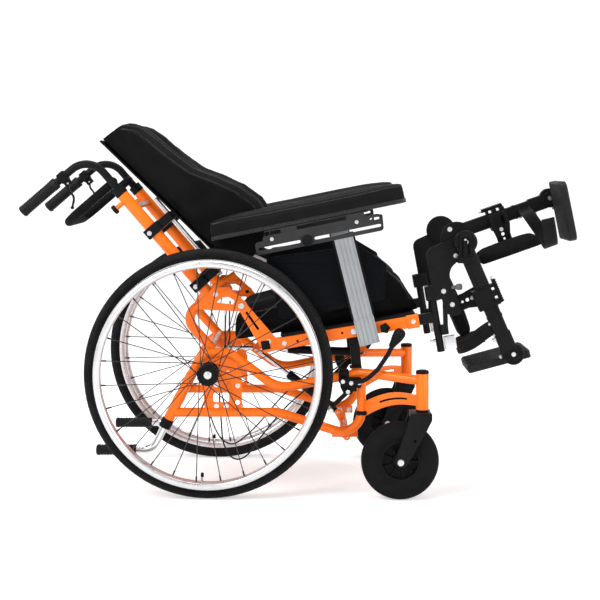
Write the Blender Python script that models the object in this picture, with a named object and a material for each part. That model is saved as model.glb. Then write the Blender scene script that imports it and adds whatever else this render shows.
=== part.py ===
"""Pediatric positioning wheelchair, as an assembly of separate parts.

Metres, +Z up. The chair faces +X, its left side is +Y and the wheels stand on Z = 0.
The seat tilts on the base, the back reclines on the seat and the leg rests hang from
the seat, so each of these groups hangs from an empty that sits on its joint's axis.
Sizes in a group are given in that group's own level frame.
"""

from math import ceil, cos, pi, radians, sin, sqrt, tan

import bmesh
import bpy
from mathutils import Euler, Matrix, Vector

# Clearances and facets
GAP = 0.0003
RUNNING_GAP = 0.0005
TUBE_SIDES = 8
BEND_STEP = radians(36)
CORNER_STEP = radians(50)

# Places of the main groups, in side view
AXLE_X = -0.2407
REAR_WHEEL_RADIUS = 0.305
PIVOT_AHEAD_OF_AXLE = 0.3564
PIVOT_HEIGHT = 0.4016
SEAT_TILT = radians(9.5)
BACK_RECLINE = radians(31.4)
LEG_ANGLE = {"right": radians(13.5), "left": radians(99.7)}
FOOT_ANGLE = radians(8)

# Places across the chair, from its middle
FRAME_Y = 0.185
SEAT_RAIL_Y = 0.190
BACK_TUBE_Y = 0.178
REAR_TRACK_Y = 0.245
CASTER_Y = 0.257
LEVER_TUBE_Y = 0.153

# Base side frame
FRAME_TUBE = 0.0115
LEG_TUBE = 0.0130
LEG_SOCKET_LENGTH = 0.150
SOCKET_AHEAD = -0.1136
SOCKET_HEIGHT = 0.1627
APEX_REAR_AHEAD = -0.0183
APEX_FRONT_AHEAD = 0.0507
APEX_HEIGHT = 0.3468
VALLEY_AHEAD = 0.1690
VALLEY_HEIGHT = 0.2575
UPRIGHT_AHEAD = 0.3762
RAIL_HEIGHT = 0.2975
LOWER_RAIL_HEIGHT = 0.1991
LOWER_BEND_AHEAD = 0.1687
LOWER_FRONT_HEIGHT = 0.1330
HOUSING_AHEAD = 0.5217
HOUSING_BOTTOM = 0.2137
HOUSING_TOP = 0.3085
HOUSING_RADIUS = 0.0155
STEM_RADIUS = 0.0080
STEM_TOP_WALL = 0.0120
RAIL_BELOW_HOUSING_TOP = 0.0200
APEX_BEND = 0.045
VALLEY_BEND = 0.080
LOWER_BEND = 0.050

# Plates of the base frame
PLATE_THICKNESS = 0.005
AXLE_PLATE_REAR = -0.0080
AXLE_PLATE_FRONT = 0.0792
AXLE_PLATE_SHOULDER = 0.2900
AXLE_PLATE_WINDOW = (0.0080, 0.0476, 0.2240, 0.2480)
AXLE_HOLES = ((0.0447, 0.306), (0.0447, 0.272), (0.0687, 0.2235))
HOLE_RADIUS = 0.0060
GUSSET_ARCH = 0.018
GUSSET_REAR = (0.1836, 0.2220)
GUSSET_FRONT = (0.2248, 0.2497)
GUSSET_SLOT = 0.0050

# Axle and receiver
AXLE_RADIUS = 0.0063
RECEIVER_RADIUS = 0.0120
RECEIVER_OUTER_Y = 0.2040

# Tipping levers
COLLAR_RADIUS = 0.0152
COLLAR_LENGTH = 0.024
TIP_TUBE = 0.0095
TIP_LEVER_HEIGHT = 0.1060
TIP_LEVER_END = -0.2829
TIP_GRIP_LENGTH = 0.100
TIP_GRIP = 0.0135
TIP_INSERT = 0.055
TIP_BEND = 0.035

# Rear wheel
TYRE_WIDTH = 0.0350
TYRE_DEPTH = 0.0260
RIM_DEPTH = 0.0150
RIM_WIDTH = 0.0240
HUB_RADIUS = 0.0160
HUB_FLANGE = 0.0240
HUB_FLANGE_Y = 0.0240
FLANGE_HALF = 0.003
HUB_CAP = 0.0265
HUB_OUTER_Y = 0.0310
SPOKES = 28
SPOKE = 0.0013
SPOKE_CROSSINGS = 3
SPOKE_LACING = 0.0016
HANDRIM_RADIUS = 0.2688
HANDRIM_TUBE = 0.0095
HANDRIM_OFFSET = 0.0360
HANDRIM_TABS = 6
WHEEL_STEPS = 28

# Casters
CASTER_RADIUS = 0.095
CASTER_TYRE_WIDTH = 0.050
CASTER_TRAIL = 0.0546
CASTER_TYRE_DEPTH = 0.045
CASTER_HUB = 0.017
CASTER_RIBS = 9
CASTER_STEPS = 18
FORK_WALL = 0.0055
FORK_CLEARANCE = 0.0030
FORK_FRONT = 0.0215
FORK_REAR = -0.0315
FORK_CROWN = 0.0135
FORK_END = 0.0150
CASTER_AXLE = 0.0050

# Cross tubes of the base
REAR_CROSS_RISE = 0.012
FRONT_CROSS_AHEAD = 0.3357
FRONT_CROSS_HEIGHT = 0.1450
CROSS_TUBE = 0.0105
FLANGE_LENGTH = 0.064
FLANGE_HEIGHT = 0.020
FLANGE_THICKNESS = 0.004

# Tilt posts and pivot
POST_AHEAD = 0.3653
POST_DEPTH = 0.024
POST_WIDTH = 0.018
POST_Y = 0.1675
POST_LIFT = 0.0022
PIVOT_PIN = 0.0050
PIVOT_TUBE = 0.0100
PIN_HEAD = 0.0080
PIN_HEAD_THICKNESS = 0.0025
PIN_REACH = 0.2003

# Wheel locks
LOCK_AHEAD = 0.3324
LOCK_CLAMP_LENGTH = 0.025
LOCK_Y = 0.1988
LOCK_THICKNESS = 0.0150
LOCK_PIVOT_AHEAD = 0.3497
LOCK_PIVOT_DROP = 0.0127
SHOE_PIVOT_AHEAD = 0.3417
SHOE_PIVOT_DROP = 0.0340
LOCK_PIN = 0.0035
LOCK_PLATE = 0.0040
SHOE_RADIUS = 0.0060
SHOE_CLEARANCE = 0.0010
SHOE_ANGLE = radians(16.8)
LOCK_KNOB = 0.0145
LOCK_KNOB_LENGTH = 0.052
LOCK_KNOB_Y = 0.243

# Seat frame
SEAT_RAIL_WIDTH = 0.020
SEAT_RAIL_HEIGHT = 0.030
SEAT_REAR = -0.2255
SEAT_FRONT = 0.1644
SLEEVE_LENGTH = 0.030
SLEEVE_WALL = 0.0020
REAR_CROSS = (-0.2204, 0.0030)
REAR_CROSS_SIZE = 0.020
FRONT_CROSS_X = 0.120
RECLINE_CROSS = (0.032, -0.003)
RECLINE_BASE = (0.0200, -0.0900)
RECLINE_Y = 0.060
SEAT_SIDE_PLATE_Y = 0.1955
HINGE = (-0.2637, 0.1084)
HINGE_BOSS = 0.0145
SEAT_SLOT = ((-0.2534, 0.0890), (-0.2324, 0.0457))
SEAT_SLOT_WIDTH = 0.006
TILT_LUG = (-0.2560, -0.0280)
HANGER_X = 0.2067
HANGER_BAR = (0.018, 0.026)
HANGER_POST = 0.0095
HANGER_WALL = 0.0040
HANGER_POST_LOW = -0.086
HANGER_POST_HIGH = 0.076
HANGER_BRACKET = ((-0.0155, 0.0440), (0.0240, 0.0790))
HANGER_CRADLE = ((0.0060, -0.0445), (0.0255, -0.0215))
SEAT_KNOB_X = 0.0775

# Seat pan and cushion
PAN_THICKNESS = 0.004
PAN_HALF_WIDTH = 0.197
PAN_REAR = -0.180
PAN_FRONT = 0.158
CUSHION_HALF_WIDTH = 0.163
CUSHION_REAR = -0.300
CUSHION_FRONT = 0.176
CUSHION_HEIGHT = 0.100
THIGH_SIDE_HEIGHT = 0.175
THIGH_SIDE_X = 0.060
SIDE_REAR_HEIGHT = 0.100
FRONT_EDGE_HEIGHT = 0.060

# Armrests
UPRIGHT_X = 0.0315
UPRIGHT_LEAN = radians(4.5)
UPRIGHT_LENGTH = 0.245
UPRIGHT_WIDTH = 0.051
UPRIGHT_DEPTH = 0.014
UPRIGHT_Y = 0.2047
FLUTE = 0.0012
ARM_SOCKET_LOW = -0.036
ARM_SOCKET_HIGH = 0.0305
ARM_TONGUE = 0.030
GUARD_Y = 0.2003
GUARD_THICKNESS = 0.004
GUARD_OUTLINE = (
    (-0.185, 0.217), (-0.175, 0.060), (-0.125, 0.0554), (0.0569, 0.0651), (0.0894, 0.0646),
    (0.1064, 0.142), (0.1084, 0.1542), (0.046, 0.2074),
)
GUARD_RIBS = (((-0.150, 0.160), (-0.010, 0.172)), ((-0.130, 0.085), (-0.010, 0.092)))
GUARD_RIB_WIDTH = 0.006
GUARD_RIB_HEIGHT = 0.002
ARM_HEAD = (-0.0757, 0.2428)
ARM_HEAD_TILT = radians(1.9)
ARM_PLATE = 0.0035
ARM_SLOTS = (
    ((-0.118, 0.001), (-0.020, 0.001), 0.007),
    ((0.022, 0.001), (0.182, 0.001), 0.007),
    ((0.164, 0.0195), (0.182, 0.0195), 0.006),
)
PAD_LENGTH = 0.489
PAD_HEIGHT = 0.054
PAD_WIDTH = 0.060
PAD_REAR = -0.231
PAD_BOTTOM = 0.0430
PAD_Y = 0.190
ARM_KNOB = 0.0145

# Back frame
BACK_TUBE = 0.0150
BACK_TUBE_X = -0.0440
BACK_TUBE_LOW = 0.060
BACK_TUBE_HIGH = 0.403
LEVER_TUBE = 0.0120
BACK_CROSS_Z = 0.365
BACK_CROSS = 0.0095
LEVER_REAR = (-0.132, 0.075)
LEVER_LOW = (-0.130, -0.036)
RECLINE_LUG = (-0.130, -0.066)
BACK_PLATE_Y = 0.1900
BACK_PLATE_WINDOW = (
    (-0.0433, 0.0480), (-0.022, 0.0460), (-0.0105, 0.0381), (-0.0044, 0.0212), (-0.0137, 0.0152),
)
COLLAR_HEIGHT = 0.022
CLAMP_KNOB_Z = 0.3863

# Back shell and cushion
SHELL_LOW = 0.095
SHELL_HIGH = 0.545
SHELL_HALF_WIDTH = 0.140
SHELL_THICKNESS = 0.0045
SHELL_PITCH = 0.0877
SHELL_REAR_X = 0.0475
BACK_RAIL = 0.0060
BACK_RAIL_Y = 0.128
BACK_RAIL_X = 0.0060
CLAMP_HEIGHTS = (0.1100, 0.2850)
CLAMP_HEIGHT = 0.026
CLAMP_HALF_WIDTH = 0.0195
WING_HALF_WIDTH = 0.153
WING_INNER = 0.112
BACK_PAD = 0.055
LUMBAR_SWELL = 0.008
WING_FRONT = (
    (0.062, 0.165), (0.115, 0.204), (0.168, 0.212), (0.228, 0.200), (0.285, 0.177), (0.335, 0.150),
    (0.382, 0.138), (0.426, 0.129), (0.472, 0.119), (0.512, 0.105), (0.536, 0.088), (0.548, 0.066),
)

# Push bar, grips and levers
HANDLE_TUBE = 0.0100
HANDLE_LOW = 0.285
HANDLE_HEIGHT = 0.5325
HANDLE_BEND = 0.055
GRIP_END_X = -0.2634
GRIP_LENGTH = 0.115
GRIP = 0.0150
HOOP = 0.0110
HOOP_HEIGHT = 0.4435
HOOP_REAR = -0.200
HOOP_Y = 0.148
RELEASE_PIVOT_X = -0.1280
RELEASE_PIVOT_DROP = 0.0205
RELEASE_REACH = (-0.0320, -0.0520)

# Gas springs
SPRING_BASE_AHEAD = 0.3237
SPRING_BASE_HEIGHT = 0.1680
SPRING_CYLINDER = 0.0110
SPRING_ROD = 0.0050
SPRING_EYE = 0.0090
SPRING_EYE_WIDTH = 0.0130
SPRING_PIN = 0.0040
EAR_GAP = 0.0145
EAR_THICKNESS = 0.004
PIN_STAND_OUT = 0.002
TILT_CYLINDER_LENGTH = 0.165
RECLINE_CYLINDER_LENGTH = 0.200

# Leg rests, in the leg's own frame under the knee
KNEE = (0.1011, 0.1743)
KNEE_Y = 0.2195
KNEE_DISC = 0.0290
KNEE_DISC_WIDTH = 0.024
KNEE_PIN = 0.0060
HANGER_PLATE_REAR = (0.0024, 0.0770)
HANGER_PLATE_CORNER = (0.0010, 0.1688)
HANGER_PLATE_ROUND = 0.025
HANGER_PLATE_TOP = (0.0680, 0.1868)
HANGER_PLATE_FRONT = (
    (0.0796, 0.1306), (0.0598, 0.1176), (0.0512, 0.1002), (0.0517, 0.0838), (0.0549, 0.0733),
    (0.0610, 0.0346), (0.0677, -0.0004), (0.0421, -0.0036), (0.0300, 0.0048), (0.0262, -0.0220),
    (0.0250, -0.0445), (0.0089, -0.0445), (0.0070, -0.0215), (0.0147, -0.0204), (0.0236, 0.0440),
)
LEG_PLATE_Y = 0.2005
LEG_LENGTH = 0.299
LEG_TUBE_WIDTH = 0.022
LEG_TUBE_DEPTH = 0.034
LEG_TUBE_ABOVE_ANKLE = 0.084
LEG_SLEEVE_WALL = 0.0026
LEG_SLEEVE_TOP = 0.149
LEG_SLEEVE_ABOVE_ANKLE = 0.018
CALF_CLAMP_TOP = 0.110
CALF_CLAMP_BOTTOM = 0.145
CALF_PAD_X = -0.0805
CALF_PAD_Z = {"right": -0.1405, "left": -0.1310}
CALF_PAD_Y = 0.100
CALF_PAD_SIZE = (0.034, 0.110, 0.170)
ANKLE_DISC = 0.0265
ANKLE_PIN = 0.0060
STRAP_WIDTH = 0.035
STRAP_THICKNESS = 0.0020
STRAP_ROUTE = (
    (-0.0200, -0.010, 0.076), (-0.0212, 0.003, 0.076), (-0.040, 0.015, 0.072), (-0.075, 0.034, 0.0600),
    (-0.105, 0.064, 0.0570), (-0.1175, 0.098, 0.056), (-0.108, 0.130, 0.0545), (-0.075, 0.150, 0.046),
    (-0.038, 0.158, 0.036),
)
FOOT_HEEL = -0.115
FOOT_TOE = 0.045
FOOT_TOP = -0.004
FOOT_THICKNESS = 0.020
FOOT_OUTER_Y = 0.198
FOOT_INNER_Y = 0.035
FOOT_HUB = 0.018
FOOT_LUG = 0.014

# Release cables: routes in side view from the tilt pivot, at rest, and their places across
CABLE = 0.0020
CABLE_SIDES = 5
CABLE_Y = {"right": -0.105, "left": 0.105}
CABLE_ROUTE = {
    "right": [
        (-0.322, 0.046), (-0.323, -0.010), (-0.324, -0.070), (-0.337, -0.160), (-0.333, -0.240),
        (-0.327, -0.295), (-0.305, -0.332), (-0.270, -0.328), (-0.225, -0.270), (-0.160, -0.195),
        (-0.080, -0.130),
    ],
    "left": [
        (-0.322, 0.046), (-0.323, -0.010), (-0.326, -0.070), (-0.376, -0.175), (-0.378, -0.240),
        (-0.362, -0.295), (-0.338, -0.330), (-0.305, -0.336), (-0.250, -0.290), (-0.175, -0.205),
        (-0.090, -0.135),
    ],
}


# Helpers that make closed shapes

def clear_scene():
    for item in list(bpy.data.objects):
        bpy.data.objects.remove(item, do_unlink=True)


def to_mesh(bm):
    """Turn a bmesh into a mesh whose faces point out."""
    bmesh.ops.recalc_face_normals(bm, faces=bm.faces)
    mesh = bpy.data.meshes.new("shape")
    bm.to_mesh(mesh)
    bm.free()
    return mesh


def moved(mesh, matrix):
    mesh.transform(matrix)
    if matrix.determinant() < 0:
        mesh.flip_normals()
    return mesh


def shifted(mesh, x=0.0, y=0.0, z=0.0):
    return moved(mesh, Matrix.Translation((x, y, z)))


def turned(mesh, angle, axis, about=(0.0, 0.0, 0.0)):
    centre = Matrix.Translation(about)
    return moved(mesh, centre @ Matrix.Rotation(angle, 4, axis) @ centre.inverted())


def fillet(corners, bends, step=BEND_STEP):
    """Round each inner corner of a route by its bend radius."""
    corners = [Vector(c) for c in corners]
    if not isinstance(bends, (list, tuple)):
        bends = [bends] * (len(corners) - 2)
    route = [corners[0]]
    for before, corner, after, bend in zip(corners, corners[1:], corners[2:], bends):
        into = (corner - before).normalized()
        out = (after - corner).normalized()
        turn = into.angle(out)
        half = tan(turn / 2)
        reach = min(bend * half, (corner - route[-1]).length * 0.95, (after - corner).length * 0.49)
        radius = reach / half
        centre = corner + (out - into).normalized() * sqrt(reach ** 2 + radius ** 2)
        spoke = corner - into * reach - centre
        steps = max(2, ceil(turn / step))
        for i in range(steps + 1):
            route.append(centre + Matrix.Rotation(turn * i / steps, 3, into.cross(out)) @ spoke)
    route.append(corners[-1])
    return route


def round_section(radius, sides=TUBE_SIDES):
    return [(radius * cos(2 * pi * i / sides), radius * sin(2 * pi * i / sides)) for i in range(sides)]


def box_section(width, height, corner=0.0):
    """A rectangle with clipped corners: width lies across the chair."""
    w, h = width / 2, height / 2
    c = corner
    if not c:
        return [(w, -h), (w, h), (-w, h), (-w, -h)]
    return [
        (w, -h + c), (w, h - c), (w - c, h), (-w + c, h),
        (-w, h - c), (-w, -h + c), (-w + c, -h), (w - c, -h),
    ]


def sweep(route, section, side=(0.0, 1.0, 0.0)):
    """Carry a section along a route. Its first coordinate starts along side."""
    route = [Vector(p) for p in route]
    bm = bmesh.new()
    rings = []
    normal = Vector(side)
    for i, point in enumerate(route):
        into = point - route[max(i - 1, 0)]
        out = route[min(i + 1, len(route) - 1)] - point
        along = (into.normalized() + out.normalized()).normalized()
        normal = (normal - along * normal.dot(along)).normalized()
        other = along.cross(normal)
        rings.append([bm.verts.new(point + normal * u + other * v) for u, v in section])
    for ring, following in zip(rings, rings[1:]):
        for i in range(len(section)):
            j = (i + 1) % len(section)
            bm.faces.new((ring[i], ring[j], following[j], following[i]))
    bm.faces.new(rings[0])
    bm.faces.new(rings[-1])
    return to_mesh(bm)


def tube(corners, radius, bends=0.04, sides=TUBE_SIDES):
    return sweep(fillet(corners, bends), round_section(radius, sides), side_across(corners))


def side_across(corners):
    """A start direction that isn't along the route's first run."""
    first = (Vector(corners[1]) - Vector(corners[0])).normalized()
    return (0, 1, 0) if abs(first.y) < 0.9 else (1, 0, 0)


def rod(start, end, radius, sides=TUBE_SIDES):
    return sweep([start, end], round_section(radius, sides), side_across([start, end]))


def block(low, high, bevel=0.0):
    """A box between two corners, with its edges bevelled."""
    bm = bmesh.new()
    bmesh.ops.create_cube(bm, size=1.0)
    size = Vector(high) - Vector(low)
    bmesh.ops.scale(bm, vec=size, verts=bm.verts)
    bmesh.ops.translate(bm, vec=(Vector(high) + Vector(low)) / 2, verts=bm.verts)
    if bevel:
        bmesh.ops.bevel(bm, geom=bm.edges[:], offset=bevel, segments=1, affect="EDGES")
    return to_mesh(bm)


def turned_profile(profile, steps, axis="Y"):
    """Turn a closed profile of (radius, place along the axis) round the axis."""
    bm = bmesh.new()
    rings = []
    for radius, along in profile:
        count = steps if radius > 0 else 1
        ring = []
        for i in range(count):
            angle = 2 * pi * i / steps
            ring.append(bm.verts.new((radius * cos(angle), along, radius * sin(angle))))
        rings.append(ring)
    closed = profile[0][0] > 0 and profile[-1][0] > 0
    pairs = list(zip(rings, rings[1:]))
    if closed:
        pairs.append((rings[-1], rings[0]))
    for first, second in pairs:
        for i in range(steps):
            j = (i + 1) % steps
            corners = [first[i % len(first)], first[j % len(first)]]
            corners += [second[j % len(second)], second[i % len(second)]]
            corners = list(dict.fromkeys(corners))
            if len(corners) > 2:
                bm.faces.new(corners)
    mesh = to_mesh(bm)
    if axis == "Z":
        mesh = moved(mesh, Matrix.Rotation(pi / 2, 4, "X"))
    if axis == "X":
        mesh = moved(mesh, Matrix.Rotation(-pi / 2, 4, "Z"))
    return mesh


def circle(centre, radius, sides=16):
    x, z = centre
    angles = [2 * pi * i / sides for i in range(sides)]
    return [(x + radius * cos(angle), z + radius * sin(angle)) for angle in angles]


def slot_outline(start, end, width, sides=6):
    """A long hole with round ends."""
    start, end = Vector(start), Vector(end)
    along = (end - start).normalized()
    across = Vector((-along.y, along.x))
    outline = []
    for centre, sign in ((end, 1), (start, -1)):
        for i in range(sides + 1):
            angle = pi / 2 - pi * i / sides
            outline.append(centre + sign * (along * cos(angle) + across * sin(angle)) * width / 2)
    return [tuple(p) for p in outline]


def rounded(corners, radius):
    """Round every corner of an outline, or each by its own radius."""
    radii = radius if isinstance(radius, (list, tuple)) else [radius] * len(corners)
    outline = []
    count = len(corners)
    for i in range(count):
        before = Vector(corners[i - 1]).to_3d()
        corner = Vector(corners[i]).to_3d()
        after = Vector(corners[(i + 1) % count]).to_3d()
        if radii[i] <= 0:
            outline.append(tuple(corner)[:2])
            continue
        start = corner.lerp(before, 0.499)
        end = corner.lerp(after, 0.499)
        outline += [tuple(p)[:2] for p in fillet([start, corner, end], radii[i], CORNER_STEP)[1:-1]]
    return outline


def plate(outline, thickness, middle=0.0, holes=()):
    """A flat plate in side view: outline and holes are lists of (x, z)."""
    curve = bpy.data.curves.new("plate", "CURVE")
    curve.dimensions = "2D"
    curve.fill_mode = "BOTH"
    curve.extrude = thickness / 2
    for loop in (outline, *holes):
        spline = curve.splines.new("POLY")
        spline.points.add(len(loop) - 1)
        for point, (x, z) in zip(spline.points, loop):
            point.co = (x, z, 0, 1)
        spline.use_cyclic_u = True
    holder = bpy.data.objects.new("plate", curve)
    bpy.context.scene.collection.objects.link(holder)
    mesh = bpy.data.meshes.new_from_object(holder.evaluated_get(bpy.context.evaluated_depsgraph_get()))
    bpy.data.objects.remove(holder, do_unlink=True)
    bm = bmesh.new()
    bm.from_mesh(mesh)
    bmesh.ops.remove_doubles(bm, verts=bm.verts, dist=0.000002)
    return shifted(moved(to_mesh(bm), Matrix.Rotation(pi / 2, 4, "X")), y=middle)


def loft(rings):
    """Skin closed rings of equal length and close both ends."""
    bm = bmesh.new()
    made = [[bm.verts.new(p) for p in ring] for ring in rings]
    for ring, following in zip(made, made[1:]):
        for i in range(len(ring)):
            j = (i + 1) % len(ring)
            bm.faces.new((ring[i], ring[j], following[j], following[i]))
    bm.faces.new(made[0])
    bm.faces.new(made[-1])
    return to_mesh(bm)


def link(mesh, name):
    item = bpy.data.objects.new(name, mesh)
    bpy.context.scene.collection.objects.link(item)
    return item


def helper_collection(name, meshes):
    """A collection of helper solids that a Boolean reads and that is then removed."""
    group = bpy.data.collections.new(name)
    bpy.context.scene.collection.children.link(group)
    for mesh in meshes:
        group.objects.link(bpy.data.objects.new(name, mesh))
    return group


def drop_collection(group):
    for item in list(group.objects):
        bpy.data.objects.remove(item, do_unlink=True)
    bpy.data.collections.remove(group)


def combine(base, others, operation):
    """Join or cut closed solids with Blender's exact Boolean."""
    if not others:
        return base
    item = link(base, "base")
    group = helper_collection("tools", others)
    step = item.modifiers.new("combine", "BOOLEAN")
    step.operation = operation
    step.solver = "EXACT"
    step.operand_type = "COLLECTION"
    step.collection = group
    result = bpy.data.meshes.new_from_object(item.evaluated_get(bpy.context.evaluated_depsgraph_get()))
    bpy.data.objects.remove(item, do_unlink=True)
    drop_collection(group)
    return result


def weld(solids, cuts=()):
    """One closed body out of solids that cross, less the cuts."""
    joined = combine(solids[0], solids[1:], "UNION")
    return combine(joined, list(cuts), "DIFFERENCE")


def tidy(mesh):
    """Merge the tiny faces that a Boolean leaves."""
    bm = bmesh.new()
    bm.from_mesh(mesh)
    bmesh.ops.remove_doubles(bm, verts=bm.verts, dist=0.00002)
    bmesh.ops.dissolve_degenerate(bm, edges=bm.edges, dist=0.00002)
    bmesh.ops.dissolve_limit(bm, angle_limit=radians(0.5), verts=bm.verts, edges=bm.edges)
    bm.to_mesh(mesh)
    bm.free()
    return mesh


FINISHES = {
    "orange": ((0.90, 0.27, 0.02), 0.30, 0.0),
    "black_paint": ((0.015, 0.015, 0.017), 0.45, 0.0),
    "black_plastic": ((0.02, 0.02, 0.022), 0.55, 0.0),
    "rubber": ((0.025, 0.025, 0.026), 0.80, 0.0),
    "silver": ((0.80, 0.80, 0.80), 0.28, 0.9),
    "chrome": ((0.85, 0.85, 0.86), 0.08, 1.0),
    "aluminium": ((0.45, 0.46, 0.48), 0.40, 0.9),
    "fabric": ((0.012, 0.012, 0.013), 0.90, 0.0),
}


def material(name, finish):
    color, roughness, metallic = FINISHES[finish]
    made = bpy.data.materials.new(name + "_" + finish)
    made.use_nodes = True
    shader = made.node_tree.nodes["Principled BSDF"]
    shader.inputs["Base Color"].default_value = (*color, 1.0)
    shader.inputs["Roughness"].default_value = roughness
    shader.inputs["Metallic"].default_value = metallic
    return made


def part(name, finish, parent, solids, cuts=()):
    """One named sub-part, made in its parent's frame and shaded smooth."""
    mesh = tidy(weld(list(solids), cuts))
    mesh.name = name
    mesh.materials.clear()
    mesh.materials.append(material(name, finish))
    mesh.shade_smooth()
    mesh.set_sharp_from_angle(angle=radians(35))
    item = link(mesh, name)
    item.parent = parent
    return item


def joint_frame(name, parent, place, turn=0.0):
    """An empty on a joint's axis: a positive turn raises its +X end."""
    frame = bpy.data.objects.new(name, None)
    bpy.context.scene.collection.objects.link(frame)
    frame.parent = parent
    frame.location = place
    frame.rotation_euler = Euler((0.0, -turn, 0.0))
    return frame


def ahead(distance):
    """A place along the chair, given from the rear axle."""
    return AXLE_X + distance


SIDES = (("right", -1), ("left", 1))


# Base frame

def leg_tube_direction():
    """Down the rear leg tube, from the apex to the tipping lever's socket."""
    drop = SOCKET_HEIGHT - APEX_HEIGHT
    back = SOCKET_AHEAD - APEX_REAR_AHEAD
    return Vector((back, 0, drop)).normalized()


def on_leg_tube(sign, distance):
    """A point on the rear leg tube's axis, past its lower end by distance."""
    end = Vector((ahead(SOCKET_AHEAD), sign * FRAME_Y, SOCKET_HEIGHT))
    return end + leg_tube_direction() * distance


def upper_rail(sign):
    """The upper tube: rear leg, apex over the axle, valley, and the flare to the caster."""
    y = sign * FRAME_Y
    corners = [
        on_leg_tube(sign, -0.01),
        (ahead(APEX_REAR_AHEAD), y, APEX_HEIGHT),
        (ahead(APEX_FRONT_AHEAD), y, APEX_HEIGHT),
        (ahead(VALLEY_AHEAD), y, VALLEY_HEIGHT),
        (ahead(UPRIGHT_AHEAD), y, RAIL_HEIGHT),
        (ahead(HOUSING_AHEAD), sign * CASTER_Y, HOUSING_TOP - RAIL_BELOW_HOUSING_TOP),
    ]
    bends = [APEX_BEND, APEX_BEND, VALLEY_BEND, LOWER_BEND]
    return tube(corners, FRAME_TUBE, bends)


def lower_rail(sign):
    y = sign * FRAME_Y
    crossing = (LOWER_RAIL_HEIGHT - SOCKET_HEIGHT) / leg_tube_direction().z
    start = on_leg_tube(sign, crossing)
    corners = [
        start,
        (ahead(LOWER_BEND_AHEAD), y, LOWER_RAIL_HEIGHT),
        (ahead(UPRIGHT_AHEAD), y, LOWER_FRONT_HEIGHT),
        (ahead(UPRIGHT_AHEAD), y, RAIL_HEIGHT),
    ]
    return tube(corners, FRAME_TUBE, [LOWER_BEND, LOWER_BEND])


def axle_plate(sign):
    """The drilled plate between the apex and the lower rail that carries the axle."""
    rear, front = ahead(AXLE_PLATE_REAR), ahead(AXLE_PLATE_FRONT)
    corners = [
        (rear - 0.005, LOWER_RAIL_HEIGHT), (front, LOWER_RAIL_HEIGHT), (front, AXLE_PLATE_SHOULDER),
        (ahead(APEX_FRONT_AHEAD), APEX_HEIGHT), (ahead(APEX_REAR_AHEAD) + 0.004, APEX_HEIGHT),
        (rear - 0.012, AXLE_PLATE_SHOULDER),
    ]
    left, right, low, high = AXLE_PLATE_WINDOW
    window = [(ahead(left), low), (ahead(right), low), (ahead(right), high), (ahead(left), high)]
    holes = [circle((ahead(x), z), HOLE_RADIUS, 8) for x, z in AXLE_HOLES]
    return plate(corners, PLATE_THICKNESS, sign * FRAME_Y, [window, *holes])


def gusset(sign):
    """The arched, slotted plate from the front upright to the caster housing."""
    run = Vector((HOUSING_AHEAD - UPRIGHT_AHEAD, CASTER_Y - FRAME_Y)).length
    flare = Vector((HOUSING_AHEAD - UPRIGHT_AHEAD, sign * (CASTER_Y - FRAME_Y)))
    steps = 4

    def edge(start, end, share):
        height = start + (end - start) * share
        return height + GUSSET_ARCH * sin(pi * share)

    low = [(run * i / steps, edge(GUSSET_REAR[0], GUSSET_FRONT[0], i / steps)) for i in range(steps + 1)]
    high = [(run * i / steps, edge(GUSSET_REAR[1], GUSSET_FRONT[1], i / steps)) for i in range(steps + 1)]
    outline = low + high[::-1]
    shares = [0.30 + 0.46 * i / 3 for i in range(4)]

    def middle(share, offset):
        lower = edge(GUSSET_REAR[0], GUSSET_FRONT[0], share)
        upper = edge(GUSSET_REAR[1], GUSSET_FRONT[1], share)
        return (run * share, (lower + upper) / 2 + offset)

    slot = [middle(s, -GUSSET_SLOT / 2) for s in shares] + [middle(s, GUSSET_SLOT / 2) for s in shares[::-1]]
    made = plate(outline, PLATE_THICKNESS, 0.0, [slot])
    made = turned(made, flare.angle_signed(Vector((1, 0))), "Z")
    return shifted(made, ahead(UPRIGHT_AHEAD), sign * FRAME_Y)


def caster_housing(sign):
    place = (ahead(HOUSING_AHEAD), sign * CASTER_Y)
    return rod((*place, HOUSING_BOTTOM), (*place, HOUSING_TOP), HOUSING_RADIUS, 12)


def stem_bore(sign):
    place = (ahead(HOUSING_AHEAD), sign * CASTER_Y)
    top = HOUSING_TOP - STEM_TOP_WALL + RUNNING_GAP
    return rod((*place, HOUSING_BOTTOM - 0.01), (*place, top), STEM_RADIUS + RUNNING_GAP, 12)


def axle_pin(sign):
    """The quick-release axle and the receiver it locks into."""
    centre = (ahead(0), REAR_WHEEL_RADIUS)
    inner = FRAME_Y - RECEIVER_RADIUS
    end = REAR_TRACK_Y + HUB_OUTER_Y - RUNNING_GAP
    receiver = rod((centre[0], sign * inner, centre[1]), (centre[0], sign * RECEIVER_OUTER_Y, centre[1]),
                   RECEIVER_RADIUS, 12)
    pin = rod((centre[0], sign * FRAME_Y, centre[1]), (centre[0], sign * end, centre[1]), AXLE_RADIUS, 12)
    return [receiver, pin]


def base_frame(side, sign):
    leg = rod(on_leg_tube(sign, 0), on_leg_tube(sign, -LEG_SOCKET_LENGTH), LEG_TUBE, 10)
    collar = rod(on_leg_tube(sign, 0.002), on_leg_tube(sign, 0.002 - COLLAR_LENGTH), COLLAR_RADIUS, 10)
    socket = rod(on_leg_tube(sign, 0.01), on_leg_tube(sign, -TIP_INSERT - 0.002), TIP_TUBE + GAP, 10)
    solids = [upper_rail(sign), lower_rail(sign), axle_plate(sign), gusset(sign), caster_housing(sign)]
    solids += [leg, collar, *axle_pin(sign), bend_lug(sign)]
    return part("base_frame_" + side, "orange", None, solids, [stem_bore(sign), socket])


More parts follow.
